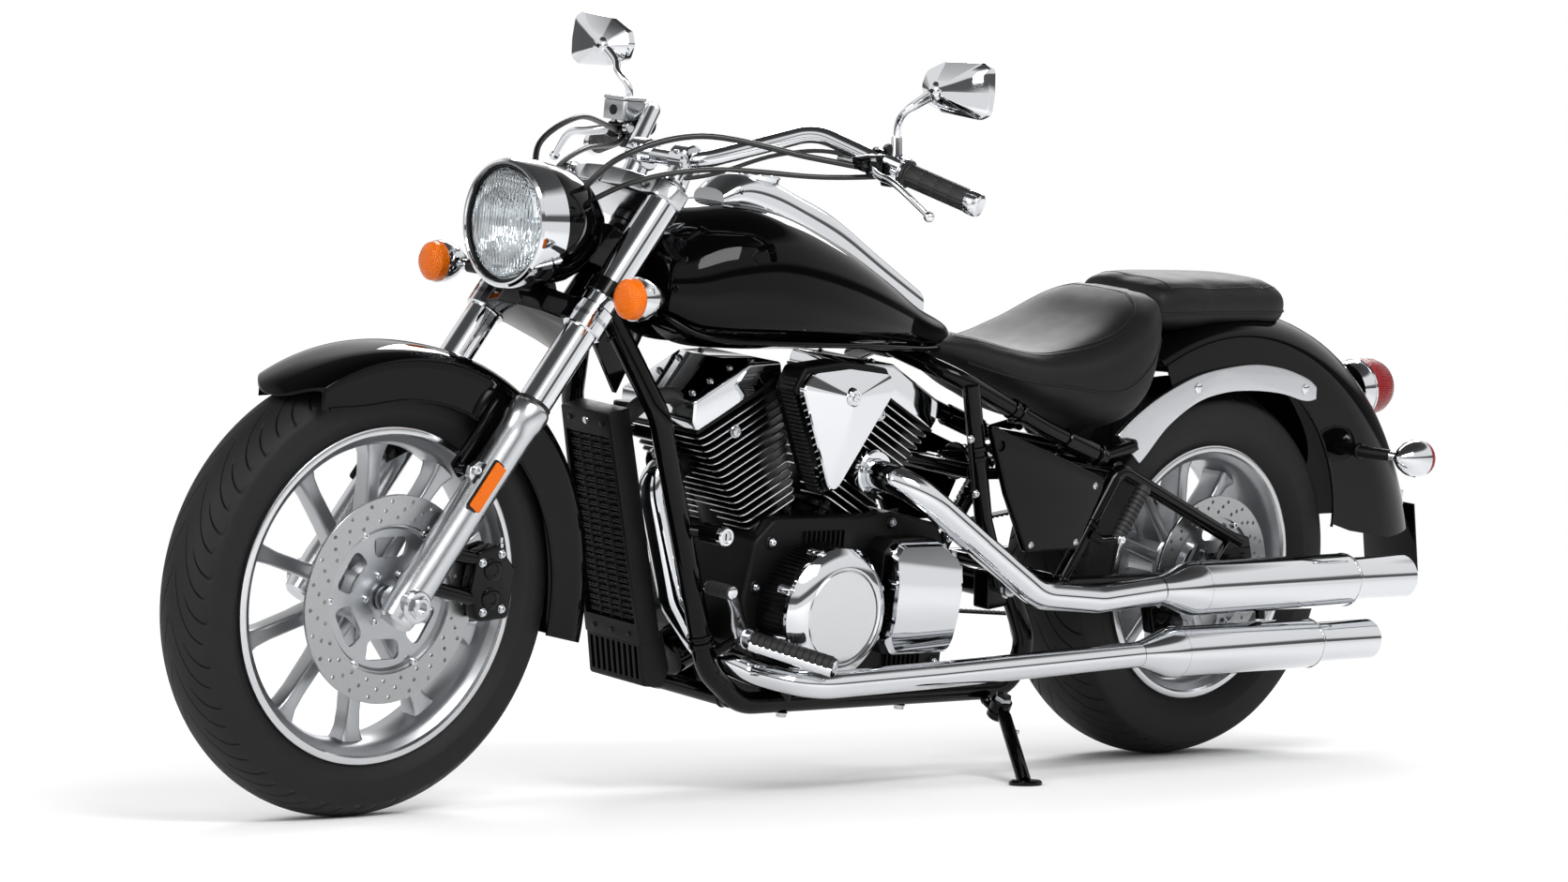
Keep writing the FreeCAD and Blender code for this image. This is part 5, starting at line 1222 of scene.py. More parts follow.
def reflectors():
    low, high = 160, 238
    edge = roundCorners([(-3, low - 2), (24, low - 2), (24, high + 2), (-3, high + 2)], 5)
    face = roundCorners([(0, low + 1), (21, low + 1), (21, high - 1), (0, high - 1)], 3)
    backing = [atFork(p, 133.4, s) for p, s in edge]
    lens = [atFork(p, 136, s) for p, s in face]
    shapes = [prism(backing, left * 3.2, "blackNylon", 0.8), prism(lens, left * 4.4, "amberAcrylic", 1.6)]
    gather("reflectors", "steering", bothSides(shapes), ["reflectors"])


def axles():
    for name, centre, reach, nut, body, node in (
        ("frontAxle", frontAxle, 148, 17, "steering", "front_axle"),
        ("rearAxle", rearAxle, 168, 19, "chassis", "rear_axle"),
    ):
        shapes = [ringShape(centre - left * reach, centre + left * reach, 14, 8, "zincBolt", 48, 1)]
        half = [ringShape(centre + left * (reach - 14), centre + left * (reach - 3), nut, 13.9,
                          "chromePlate", 6, 1.2)]
        half.append(ringShape(centre + left * (reach - 17), centre + left * (reach - 14), nut + 1, 13.9,
                              "zincBolt", 40, 0.6))
        if body == "chassis":
            half.append(ringShape(centre + left * 112, centre + left * 129, 20, 13.9, "zincBolt", 40, 1))
        else:
            half.append(ringShape(centre + left * 64, centre + left * 80, 19, 13.9, "zincBolt", 40, 1))
        gather(name, body, shapes + bothSides(half), [node])


# Engine

engine = {
    "crank": at(910, 0, 290), "angle": 27.5, "barrel": 60, "finStart": 165, "fins": 15, "finEnd": 352,
    "firstHalf": 52, "lastHalf": 90, "depth": 85, "wall": 3.2, "pushrod": 9, "caseHalf": 112,
}


def atCylinder(side, across, along, sideways=0.0):
    tilt = radians(engine["angle"]) * side
    axis = at(sin(tilt), 0, cos(tilt))
    over = at(cos(tilt), 0, -sin(tilt)) * side
    return engine["crank"] + axis * along + over * across + left * sideways


def cylinderBasis(side):  # x across, y left, z along the cylinder
    tilt = radians(engine["angle"]) * side
    over = at(cos(tilt), 0, -sin(tilt)) * side
    axis = at(sin(tilt), 0, cos(tilt))
    return Matrix((over, left, axis)).transposed().to_4x4()


def finPlate(side, first, thick, grow, material):
    half, depth = first, engine["depth"] + grow
    outline = roundCorners([(half, depth), (-half, depth), (-half, -depth), (half, -depth)], 13, 6)
    rows = []
    for along, inset in ((-thick / 2, 0.6), (-thick / 2 + 0.6, 0), (thick / 2 - 0.6, 0), (thick / 2, 0.6)):
        rows.append([atCylinder(side, p * (1 - inset / half), engine["finStart"] + 2 + along,
                                y * (1 - inset / depth))
                     for p, y in outline])
    return skin(rows, material)


def finBand(side, first, thick, material):  # the edge that the mill left bright
    depth = engine["depth"]
    outline = roundCorners([(first, depth), (-first, depth), (-first, -depth), (first, -depth)], 13, 6)
    rows = []
    for along, out in ((-thick / 2, 0.2), (-thick / 2, 1.0), (thick / 2, 1.0), (thick / 2, 0.2), (0, -2)):
        rows.append([atCylinder(side, p * (1 + out / first), engine["finStart"] + 2 + along,
                                y * (1 + out / depth))
                     for p, y in outline])
    return skin(rows, material, loop=True)


def exhaustPort(side):  # its face, and the way out
    if side > 0:
        return atCylinder(1, 100, 290), (atCylinder(1, 1, 0) - engine["crank"]).normalized()
    return at(800, 91, 500), left


def cylinders():
    pitch = (engine["finEnd"] - engine["finStart"]) / engine["fins"]
    grow = (engine["lastHalf"] / engine["firstHalf"] - 1) / (engine["fins"] - 1)
    for side, name in ((1, "front"), (-1, "rear")):
        axis = atCylinder(side, 0, 1) - engine["crank"]
        centre = atCylinder(side, 0, engine["finStart"] + 2)
        basis = cylinderBasis(side)
        shapes = [rod(atCylinder(side, 0, 125), atCylinder(side, 0, engine["finEnd"]), engine["barrel"],
                      "wrinkleEnamel", 64)]
        for seed in (
            finPlate(side, engine["firstHalf"], engine["wall"], 0, "wrinkleEnamel"),
            finBand(side, engine["firstHalf"], 1.7, "turnedAluminium"),
        ):
            shapes.append(rowOf(seed, engine["fins"], axis * pitch, centre, (1, 1, 1), (grow, 0, 0), basis))
        outline = roundCorners([(72, 60), (-72, 60), (-72, -60), (72, -60)], 18, 4)
        block = [atCylinder(side, p, 296, y) for p, y in outline]
        shapes.append(prism(block, axis * 56, "wrinkleEnamel", 1))
        outline = roundCorners([(58, 72), (-58, 72), (-58, -72), (58, -72)], 26, 5)
        foot = [atCylinder(side, p, 150, y) for p, y in outline]
        shapes.append(prism(foot, axis * 9, "wrinkleEnamel", 1.5))
        for across in (-34, 10):
            low, high = atCylinder(side, across, 119, 70), atCylinder(side, across, 168, 70)
            shapes.append(rod(low, high, engine["pushrod"], "blackPowderCoat", 28))
            for share in (0.12, 0.62):
                spot = low.lerp(high, share)
                shapes.append(rod(spot, spot + axis * 9, engine["pushrod"] + 2.6, "wrinkleEnamel", 28, 1.5))
            shapes.append(hexBolt(atCylinder(side, across + 17, 122, 70), axis, 5))
        port, way = exhaustPort(side)
        shapes.append(rod(port - way * 50, port, 30, "wrinkleEnamel", 40, 2))
        plug = atCylinder(side, 26 * side, 322, 86)
        shapes.append(hexBolt(plug, left, 8))
        gather(name + "Cylinder", "chassis", shapes, [name + "_cylinder"], 32)
    print("cylinders done")


def headCovers():
    shapes = []
    for side in (1, -1):
        outline = [(-92, 353), (92, 353), (94, 372), (80, 400), (-40, 402), (-98, 376)]
        points = [atCylinder(side, p, s, -83) for p, s in roundCorners(outline, 7, 4)]
        shapes.append(prism(points, left * 166, "chromePlate", 5, 4))
        skirt = [atCylinder(side, p, s, -84) for p, s in ((-93, 351), (93, 351), (93, 355), (-93, 355))]
        shapes.append(prism(skirt, left * 168, "wrinkleEnamel", 1))
        axis = atCylinder(side, 0, 1) - engine["crank"]
        for across in (-62, -20, 22, 60):
            top = 376 + 24 * min(1, (across + 98) / 58) if across < -40 else 401
            for y in (-58, 58):
                shapes.append(hexBolt(atCylinder(side, across, top, y), axis, 4.5))
        outline = roundCorners([(-80, 360), (-52, 360), (-46, 386), (-76, 372)], 4, 3)
        inset = [atCylinder(side, p, s, 81.6) for p, s in outline]
        shapes.append(prism(inset, left * 2.2, "blackPowderCoat", 0.5))
    gather("headCovers", "chassis", shapes, ["head_covers"], 30)


airCleaner = {"outline": [(1021, 637), (1002, 662), (929, 669), (840, 660), (830, 635), (942, 470)]}


def airCleanerPieces():
    outline = airCleaner["outline"]
    centre = at(925, 0, 600)
    top = [(1026, 630), (1008, 668), (930, 677), (838, 668), (822, 640), (840, 628), (930, 640), (1008, 624)]
    shapes = [slab(roundCorners(top, 12, 5), 101, 148, "wrinkleEnamel", 3, 3)]
    core = roundCorners([(centre.x + (x - 925) * 1.03, 600 + (z - 600) * 1.03) for x, z in outline], 16, 5)
    path = [at(x, 126, z) for x, z in core] + [at(core[0][0], 126, core[0][1])]
    fold = prism([at(-2.4, -14, -1.6), at(2.4, -14, -1.6), at(1.0, -14, 3.2), at(-1.0, -14, 3.2)],
                 at(0, 28, 0), "mouldedRubber", 0.4, 1)
    shapes.append(alongPath(fold, path, 7.0))
    duct = at(916, 30, 570)
    shapes.append(rod(duct, duct + left * 62, 33, "wrinkleEnamel", 40, 2))
    back = slab(roundCorners([(centre.x + (x - 925) * 0.9, 600 + (z - 600) * 0.9) for x, z in outline], 14,
                             5), 86, 101, "wrinkleEnamel", 2)
    shapes.append(back)
    gather("airCleanerBox", "chassis", shapes, ["air_cleaner_box"])
    # The cover: three facets meet at a fold under the bolt
    rim = roundCorners(outline, 17, 6)
    peak = at(936, 187, 628)
    rows = []
    for y, s in ((149.6, 0.985), (150.2, 1.0), (160, 1.0)):
        rows.append([at(925 + (x - 925) * s, y, 600 + (z - 600) * s) for x, z in rim])
    for t in (0.02, 0.05, 0.97):
        rows.append([at(x, 162.5, z).lerp(peak, t) for x, z in rim])
    cover = skin(rows, "chromePlate")
    boss = [(-4, 0), (-4, 15), (4, 14), (7, 11.5), (7, 8), (5, 7.4), (5, 0)]
    pieces = [cover, lathe(boss, peak - left * 6, left, "chromePlate", 40)]
    pieces.append(hexBolt(peak - left * 1.5, left, 6.2, "chromePlate", 4))
    pieces.append(slab(roundCorners(outline, 15, 6), 147.6, 150.4, "blackNylon", 0.5))
    gather("airCleanerCover", "chassis", pieces, ["air_cleaner_cover"], 12)


def engineCase():
    outline = [(622, 176), (984, 176), (1034, 240), (1058, 310), (1042, 400), (1004, 434), (816, 434),
               (760, 440), (660, 420), (618, 360)]
    half = engine["caseHalf"]
    case = slab(roundCorners(outline, 22, 6), -half + 1, half - 1, "wrinkleEnamel", 6, 3)
    drive = at(640, -94, 300)
    room = [rod(drive, drive - left * 46, 60, "wrinkleEnamel", 48, 0)]
    room.append(slab([(560, 230), (640, 241), (640, 359), (560, 370)], -140, -94, "wrinkleEnamel", 0))
    shapes = [cutAway(case, room)]
    shapes.append(slab([(641, 142), (960, 142), (978, 178), (631, 178)], -78, 78, "wrinkleEnamel", 5, 3))
    rib = [at(-2, 0, 0), at(2, 0, 0), at(1.4, 7, 0), at(-1.4, 7, 0)]
    for x, z, count, tall in ((862, 362, 9, 52), (676, 188, 8, 30)):
        seed = prism([p + at(x, half - 2, z) for p in rib], up * tall, "wrinkleEnamel", 0.5, 1)
        shapes.append(rowOf(seed, count, forward * 10))
    pan = roundCorners([(660, -60), (950, -60), (950, 60), (660, 60)], 16, 4)
    shapes.append(prism([at(x, y, 142.4) for x, y in pan], up * -7, "castAluminium", 2))
    for x, z in ((1010, 398), (1034, 330), (1014, 260), (976, 200), (860, 196), (640, 200), (634, 396),
                 (760, 424)):
        shapes.append(lathe([(-6, 0), (-6, 12), (3, 11), (5, 9), (5, 0)], at(x, half - 3, z), left,
                            "wrinkleEnamel", 28))
        shapes.append(hexBolt(at(x, half + 1.5, z), left, 5))
    filterCan = [(0, 0), (0, 33), (4, 36), (62, 36), (66, 33), (68, 26), (66, 12), (66, 0)]
    shapes.append(lathe(filterCan, at(1046, 0, 236), at(0.8, 0, -0.35), "blackLacquer", 48))
    shapes.append(ringShape(drive, drive - left * 22, 45, 20, "castAluminium", 40))
    gather("engineCase", "chassis", shapes, ["engine_case"])


cover = {"centre": at(925, 0, 296), "radius": 97, "bolts": 8, "rear": (735, 314)}


def clutchCover():
    centre = cover["centre"]
    r = cover["radius"]
    band = [(112.5, 0), (112.5, r + 4), (168, r + 2), (170, r), (170, 0)]
    shapes = [lathe(band, centre, left, "wrinkleEnamel", 96)]
    fin = prism([at(-1.5, 118, r + 1), at(1.5, 118, r + 1), at(1.0, 118, r + 6), at(-1.0, 118, r + 6)],
                at(0, 44, 0), "wrinkleEnamel", 0.4, 1)
    fin = moved(fin, Matrix.Translation((centre.x, 0, centre.z)))
    shapes.append(ringOf(fin, 84, centre, left))
    ring = [(168, 60), (168, r + 3), (172, r + 5), (178, r + 4.5), (186, r - 3), (193, r - 12),
            (196, r - 22), (195, 72), (191, 71), (191, 60)]
    shapes.append(lathe(ring, centre, left, "chromePlate", 128, loop=True))
    plate = [(190.5, 0), (190.5, 70), (193, 70.2), (194.4, 68.6), (194.4, 0)]
    shapes.append(lathe(plate, centre, left, "turnedAluminium", 96))
    for k in range(cover["bolts"]):
        turn = 2 * pi * (k + 0.5) / cover["bolts"]
        spot = centre + at(cos(turn), 0, sin(turn)) * (r - 1)
        shapes.append(lathe([(150, 0), (150, 10), (173, 10), (175, 8.6), (175, 0)], spot, left,
                            "chromePlate", 28))
        cap = [(174, 0), (174, 6.4), (179.5, 6.4), (180.4, 5.4), (180.4, 3.2), (177, 3), (177, 0)]
        shapes.append(lathe(cap, spot, left, "zincBolt", 24))
    gather("clutchCover", "chassis", shapes, ["clutch_cover"], 30)


def caseCovers():
    outline = [(668, 228), (790, 228), (806, 250), (806, 384), (790, 400), (700, 400), (664, 372), (664, 246)]
    x0, z0 = cover["rear"]
    half = engine["caseHalf"]
    base = roundCorners([(x0 + (x - x0) * 1.03, z0 + (z - z0) * 1.03) for x, z in outline], 12, 4)
    shapes = [slab(base, half + 0.5, 150, "wrinkleEnamel", 2)]
    # Chrome shell with three facets, folded along two level lines
    rows = []
    rim = roundCorners(outline, 16, 6)
    for y, s in ((148, 0.99), (149, 1.005), (166, 1.005)):
        rows.append([at(x0 + (x - x0) * s, y, z0 + (z - z0) * s) for x, z in rim])
    for s, drop in ((0.985, 0), (0.94, 1)):
        row = []
        for x, z in rim:
            high = z0 + (z - z0) * s
            y = 171 + 13 * min(1, max(0, (400 - high) / 62)) - 12 * max(0, (286 - high) / 58) + drop
            row.append(at(x0 + (x - x0) * s, y - 6 * (1 - drop), high))
        rows.append(row)
    points, faces, _ = skin(rows, "chromePlate", caps=False)
    mesh = bmesh.new()
    spots = [mesh.verts.new(p) for p in points]
    for face in faces:
        mesh.faces.new([spots[i] for i in face])
    mesh.faces.new(spots[: len(rim)])
    mesh.faces.new(spots[-len(rim):])
    for level in (338, 286):
        parts = mesh.faces[:] + mesh.edges[:] + mesh.verts[:]
        bmesh.ops.bisect_plane(mesh, geom=parts, plane_co=at(0, 0, level), plane_no=up)
    for v in mesh.verts:
        if v.co.y > 172:
            v.co.y = 172 + 12 * min(1, max(0, (398 - v.co.z) / 60)) - 12 * max(0, (286 - v.co.z) / 58)
    bmesh.ops.recalc_face_normals(mesh, faces=mesh.faces)
    shell = fromMesh(mesh, "chromePlate")
    room = lathe([(100, 0), (100, 106), (215, 106), (215, 0)], cover["centre"], left, "chromePlate", 96)
    shapes.append(cutAway(shell, [room]))
    for x, z in ((700, 392), (676, 380), (690, 236), (782, 240)):
        shapes.append(lathe([(0, 0), (0, 7), (2, 6.6), (3, 4), (3, 0)], at(x, 168, z), left, "zincBolt", 24))
    # The round cover on the right
    crank = engine["crank"]
    band = [(112.5, 0), (112.5, 112), (150, 108), (156, 106), (156, 0)]
    shapes.append(lathe(band, crank, -left, "wrinkleEnamel", 96))
    dome = [(152, 40), (152, 108), (158, 108), (168, 98), (174, 84), (177, 80), (174, 76), (172, 0),
            (150, 0), (150, 40)]
    shapes.append(lathe(dome[:-2], crank, -left, "chromePlate", 96))
    spot = crank + at(0, -158, 98)
    shapes.append(ringOf(hexBolt(spot, -left, 5), 6, crank, left))
    gather("caseCovers", "chassis", shapes, ["case_covers"], 24)
    print("engine done")


# Radiator

radiatorSizes = {"top": at(1268, 0, 596), "low": at(1172, 0, 250), "rows": 30, "columns": 13, "slats": 9}


def radiatorPieces():
    top, low = radiatorSizes["top"], radiatorSizes["low"]
    along = (low - top).normalized()
    face = at(-along.z, 0, along.x)
    long = (low - top).length

    def spot(s, y, out):
        return top + along * s + left * y + face * out

    frame = [spot(s, y, 0) for s, y in ((0, 56), (long, 64), (long, -64), (0, -56))]
    tub = prism(frame, face * 40, "wrinkleEnamel", 3, 3)
    room = prism([spot(s, y, 31) for s, y in ((36, 49), (long - 32, 56), (long - 32, -56), (36, -49))],
                 face * 20, "darkCore", 0)
    shapes = [cutAway(tub, [room])]
    dash = prism([spot(42, y, 31.5) for y in (-3.2, 3.2)] + [spot(45, y, 31.5) for y in (3.2, -3.2)],
                 face * 3, "blackNylon", 0.4, 1)
    step = (long - 84) / (radiatorSizes["rows"] - 1)
    for k in range(radiatorSizes["columns"]):
        y = (k - (radiatorSizes["columns"] - 1) / 2) * 7.6
        shapes.append(rowOf(moved(dash, Matrix.Translation(left * y)), radiatorSizes["rows"], along * step))
    wire = rod(spot(38, -46, 35), spot(38, 46, 35), 1.3, "blackNylon", 8, 0.3)
    shapes.append(rowOf(wire, 16, along * ((long - 76) / 15)))
    for y in (-24, 0, 24):
        shapes.append(rod(spot(37, y, 36.4), spot(long - 33, y, 36.4), 1.3, "blackNylon", 8, 0.3))
    # End tanks, their plates and bolts
    for s, y, size in ((16, -36, 4.4), (16, 0, 6), (16, 36, 4.4), (long - 14, -40, 4), (long - 14, 0, 4),
                       (long - 14, 40, 4)):
        shapes.append(lathe([(0, 0), (0, size), (2, size * 0.9), (2.8, size * 0.5), (2.8, 0)],
                            spot(s, y, 40), face,
                            "zincBolt" if size > 5 else "blackNylon", 24))
    cap = [(0, 0), (0, 17), (3, 19), (9, 19), (11, 16), (11, 0)]
    shapes.append(lathe(cap, top + at(-24, 20, -6), up, "blackNylon", 12))
    outline = roundCorners([(1168, 262), (1212, 250), (1196, 176), (1156, 172), (1146, 200)], 8, 4)
    guard = slab(outline, -62, 62, "wrinkleEnamel", 3, 3)
    slots = []
    for k in range(radiatorSizes["slats"]):
        y = (k - (radiatorSizes["slats"] - 1) / 2) * 12.6
        slots.append(slab([(1190, 238), (1226, 234), (1210, 184), (1180, 188)], y - 3.4, y + 3.4,
                          "darkCore", 0))
    shapes.append(cutAway(guard, slots))
    for y in (-40, 40):
        shapes.append(rod(at(1236, y, 560), at(1262, y, 560), 8, "blackPowderCoat"))
    hose = smoothRow([spot(20, 40, 0), at(1232, 46, 602), at(1170, 40, 610), at(1120, 30, 560),
                      at(1080, 24, 520)], 8)
    shapes.append(sweep(hose, 13, "mouldedRubber", 20))
    hose = smoothRow([spot(long - 20, -44, 0), at(1130, -50, 262), at(1096, -60, 272), at(1060, -70, 286)], 8)
    shapes.append(sweep(hose, 13, "mouldedRubber", 20))
    gather("radiator", "chassis", shapes, ["radiator"])


# Frame, swing arm and what is bolted to them

downTube = [(1300, 30, 728), (1247, 100, 589), (1155, 100, 340), (1108, 100, 206), (1034, 100, 150),
            (474, 114, 152), (456, 134, 222), (504, 134, 310)]
seatRail = [(706, 14, 684), (660, 126, 650), (467, 134, 572), (324, 134, 522)]
tubes = {"rail": 17, "seatRail": 14, "arm": 14, "brace": 12, "pivot": at(520, 0, 318)}


def headAxis(along):
    return atFork(-58, 0, along)


def sided(points, side):
    return [at(x, y * side, z) for x, y, z in points]


def clampBand(place, way, radius, wide, material="blackPowderCoat", lug=None):
    way = way.normalized()
    shapes = [ringShape(place - way * wide / 2, place + way * wide / 2, radius + 3, radius - 0.4, material,
                        32)]
    if lug:  # the ears that its screw draws together
        ear = place + lug.normalized() * (radius + 5)
        cross = way.cross(lug).normalized()
        shapes.append(rod(ear - cross * 5, ear + cross * 5, wide * 0.42, material, 20))
        shapes.append(hexBolt(ear + cross * 5, cross, wide * 0.26))
    return shapes


def weld(place, way, radius, wide=3.0):  # a bead laid round the foot of a tube, ripple by ripple
    way = way.normalized()
    over = way.orthogonal().normalized() * radius
    path, sizes = [], []
    for k in range(73):
        path.append(place + Matrix.Rotation(2 * pi * k / 72, 3, way) @ over)
        sizes.append(wide * (0.86 + 0.14 * cos(k * pi / 1.5)))
    return sweep(path, sizes, "blackPowderCoat", 8)


def shockEars(tube, bolt):
    shapes = [rod(bolt - left * 22, bolt + left * 22, 6, "zincBolt", 20)]
    shapes += [hexBolt(bolt + left * 21, left, 8), hexBolt(bolt - left * 21, -left, 8)]
    end = 1 if bolt.x > tube.x else -1
    for side in (1, -1):
        outline = [(tube.x, tube.z - 10), (bolt.x + end * 10, bolt.z - 8), (bolt.x + end * 10, bolt.z + 8),
                   (tube.x, tube.z + 10)]
        low, high = sorted((side * 13.4, side * 19))
        shapes.append(slab(outline, low, high, "blackPowderCoat", 1))
    return shapes


def standParts():
    pivot = at(520, 152, 134)
    turned = toRow.inverted().to_3x3()
    axis = (turned @ Vector(joints["side_stand"]["axis"])).normalized()
    return pivot, axis


def standBoss():
    pivot, axis = standParts()
    low, high = pivot - axis * 9.3, pivot + axis * 9.3
    middle = low - axis * 7
    rail = at(520, 106, 150)
    inboard = rail - middle
    inboard = (inboard - axis * inboard.dot(axis)).normalized()
    knee = middle + inboard * 29
    shapes = [rod(low - axis * 14, high + axis * 6, 8, "zincBolt", 24, 1.5),
              rod(low - axis * 14, low, 17, "blackPowderCoat", 32, 2)]
    shapes += [rod(high, high + axis * 8, 14, "zincBolt", 6, 1), rod(middle, knee, 6.5, "blackPowderCoat")]
    shapes.append(sweep([knee, knee.lerp(rail, 0.5), rail], 8, "blackPowderCoat"))
    return shapes


def frameWork():
    headTube = [(520.8, 18.4), (520.8, 32), (535, 32), (537, 30), (688, 30), (690, 32), (704.2, 32),
                (704.2, 18.4)]
    shapes = [lathe(headTube, headAxis(0), upLeg, "blackPowderCoat", 48, loop=True)]
    bore = rod(headAxis(500), headAxis(720), 18.6, "blackPowderCoat", 48, 0)
    spine = sweep(bent([headAxis(640), at(1120, 0, 772), at(830, 0, 714), at(690, 0, 692)], 200), 28,
                  "blackPowderCoat", 32)
    shapes.append(cutAway(spine, [bore]))
    web = [headAxis(544), at(1252, 0, 610), at(1180, 0, 760), headAxis(644)]
    shapes.append(cutAway(prism([p - left * 5 for p in web], left * 10, "blackPowderCoat", 0.5), [bore]))
    for side in (1, -1):
        shapes.append(sweep(bent(sided(downTube, side), 85), tubes["rail"], "blackPowderCoat", 32))
        foot = at(1122, 100 * side, 246)
        along = (at(1155, 100 * side, 340) - foot).normalized()
        shapes += clampBand(foot, along, tubes["rail"], 9)
        shapes += clampBand(foot + along * 13, along, tubes["rail"], 5)
        shapes.append(weld(at(1290, 40 * side, 702), at(53, -70 * side, 139), tubes["rail"]))
        shapes.append(sweep(bent(sided(seatRail, side), 60), tubes["seatRail"], "blackPowderCoat", 28))
        shapes.append(rod(at(420, 134 * side, 554.5), at(350, 134 * side, 531), 18, "blackPowderCoat", 32, 2))
        fall = (at(467, 134 * side, 572) - at(660, 126 * side, 650)).normalized()
        for place in (at(540, 131 * side, 601.5), at(524, 131.6 * side, 595)):
            shapes += clampBand(place, fall, tubes["seatRail"], 8, lug=-up if place.x > 530 else None)
        shapes += clampBand(at(342, 134 * side, 528.4), at(-70, 0, -24), 17, 5)
        post = sided([(640, 134, 640), (582, 134, 426), (534, 134, 324)], side)
        shapes.append(sweep(bent(post, 60), tubes["seatRail"], "blackPowderCoat", 28))
        along = (post[0] - post[1]).normalized()
        for share in (0.47, 0.54):
            shapes += clampBand(post[1].lerp(post[0], share), along, tubes["seatRail"], 7, lug=-forward)
        low, high = at(613, 138 * side, 470), at(636, 138 * side, 556)
        shapes.append(rod(low, high, 3.4, "blackPowderCoat", 16))
        for end in (low, high):
            shapes.append(rod(end, end - forward * 15, 3.4, "blackPowderCoat", 16))
            shapes.append(hexBolt(end + left * side * 2.6, left * side, 5))
        outline = [(496, 300), (510, 290), (560, 284), (566, 346), (520, 346), (498, 336)]
        inner, outer = sorted((side * 108.3, side * 140))
        shapes.append(slab(roundCorners(outline, 5, 3), inner, outer, "blackPowderCoat", 2))
        shapes.append(hexBolt(at(520, 140 * side, 318), left * side, 13, height=9))
        shapes.append(rod(at(330, 134 * side, 524), at(256, 133 * side, 540), 10, "blackPowderCoat"))
        shapes.append(rod(at(256, 120.8 * side, 540), at(256, 134 * side, 540), 12, "blackPowderCoat"))
        for x in (700, 950):
            shapes.append(rod(at(x, 108 * side, 151), at(x, 106 * side, 175.6), 12, "blackPowderCoat"))
            shapes.append(hexBolt(at(x, 106 * side, 134), -up, 8))
        tab = at(560, 134 * side, 500)
        shapes.append(rod(at(600, 134 * side, 500), tab, 9, "blackPowderCoat"))
        shapes.append(rod(tab - left * side * 6, tab + left * side * 14, 8, "blackPowderCoat"))
        for spot, way, size in ((at(600, 120 * side, 500), left, 12), (at(334, 122 * side, 526), left, 12),
                                (at(1052, 84 * side, 158), left, 14), (at(600, 98 * side, 150), left, 14)):
            shapes.append(weld(spot, way, size, 2.6))
    for x, z, reach, size in ((1052, 158, 100, 14), (600, 150, 112, 14), (334, 526, 134, 12),
                              (600, 500, 134, 12), (1236, 560, 100, 10)):
        shapes.append(rod(at(x, -reach, z), at(x, reach, z), size, "blackPowderCoat", 28))
    pivot = tubes["pivot"]
    shapes.append(rod(pivot - left * 148, pivot + left * 148, 9, "zincBolt"))
    shapes += standBoss() + shockEars(at(600, 0, 500), shock["high"])
    gather("frame", "chassis", shapes, ["frame"], 40)


def swingArm():
    arm = tubes["arm"]
    pivot = tubes["pivot"]
    shapes = []
    for side in (1, -1):
        low = sided([(510, 92, 318), (468, 98, 318), (424, 138, 318), (26, 138, 318.5)], side)
        shapes.append(sweep(bent(low, 60), arm, "blackPowderCoat", 28))
        top, foot, tail = sided([(290, 138, 505), (404, 138, 318), (-16, 138, 378)], side)
        shapes.append(sweep(bent([foot, top, tail], 26), tubes["brace"], "blackPowderCoat", 28))
        fall = (foot - top).normalized()
        shapes += clampBand(top + fall * 96, fall, tubes["brace"], 8)
        shapes += clampBand(top + fall * 108, fall, tubes["brace"], 4)
        shapes.append(weld(foot - fall * 13, fall, tubes["brace"], 2.6))
        outline = [(-46, 296), (-50, 350), (-36, 388), (0, 396), (36, 352), (40, 296), (0, 284)]
        inner, outer = sorted((side * 130, side * 146))
        plate = slab(roundCorners(outline, 9, 4), inner, outer, "blackPowderCoat", 2.5, 3)
        slot = slab(roundCorners([(-30, 304), (14, 304), (14, 333), (-30, 333)], 13, 5), inner - 5,
                    outer + 5, "darkCore", 0)
        shapes.append(cutAway(plate, [slot]))
        screw = at(-50, 138 * side, 318)
        shapes.append(rod(screw, screw + forward * 26, 4, "zincBolt", 16))
        shapes.append(hexBolt(screw, -forward, 6))
    shapes.append(rod(at(372, -138, 318), at(372, 138, 318), 13, "blackPowderCoat", 28))
    shapes.append(rod(at(290, -138, 505), at(290, 138, 505), 12, "blackPowderCoat", 28))
    shell = [(-107.6, 9.4), (-107.6, 22), (107.6, 22), (107.6, 9.4)]
    shapes.append(lathe(shell, pivot, left, "blackPowderCoat", 40, loop=True))
    shapes += shockEars(at(290, 0, 505), shock["low"])
    gather("swingArm", "chassis", shapes, ["swingarm"], 40)


shock = {"low": at(322, 0, 497), "high": at(572, 0, 500), "wire": 4.6, "coil": 22.6, "turns": 8}


def rearShock():
    low, high = shock["low"], shock["high"]
    way = (high - low).normalized()
    long = (high - low).length
    side = way.cross(left).normalized()
    shapes = [rod(low + way * 8, high - way * 8, 7, "buffedAluminium"),
              rod(low + way * 125, high - way * 16, 17, "blackPowderCoat", 32, 2)]
    for start in (44, long - 52):
        shapes.append(rod(low + way * start, low + way * (start + 6), 30, "blackPowderCoat", 40, 2))
    first, last = 50 + shock["wire"], long - 52 - shock["wire"]
    path = []
    for k in range(shock["turns"] * 20 + 1):
        turn = 2 * pi * k / 20
        along = first + (last - first) * k / (shock["turns"] * 20)
        path.append(low + way * along + (left * cos(turn) + side * sin(turn)) * shock["coil"])
    shapes.append(sweep(path, shock["wire"], "chromePlate", 10))
    for place in (low, high):
        shapes.append(ringShape(place - left * 12.8, place + left * 12.8, 13, 6.3, "castAluminium", 32))
    gather("rearShock", "chassis", shapes, ["rear_shock"])


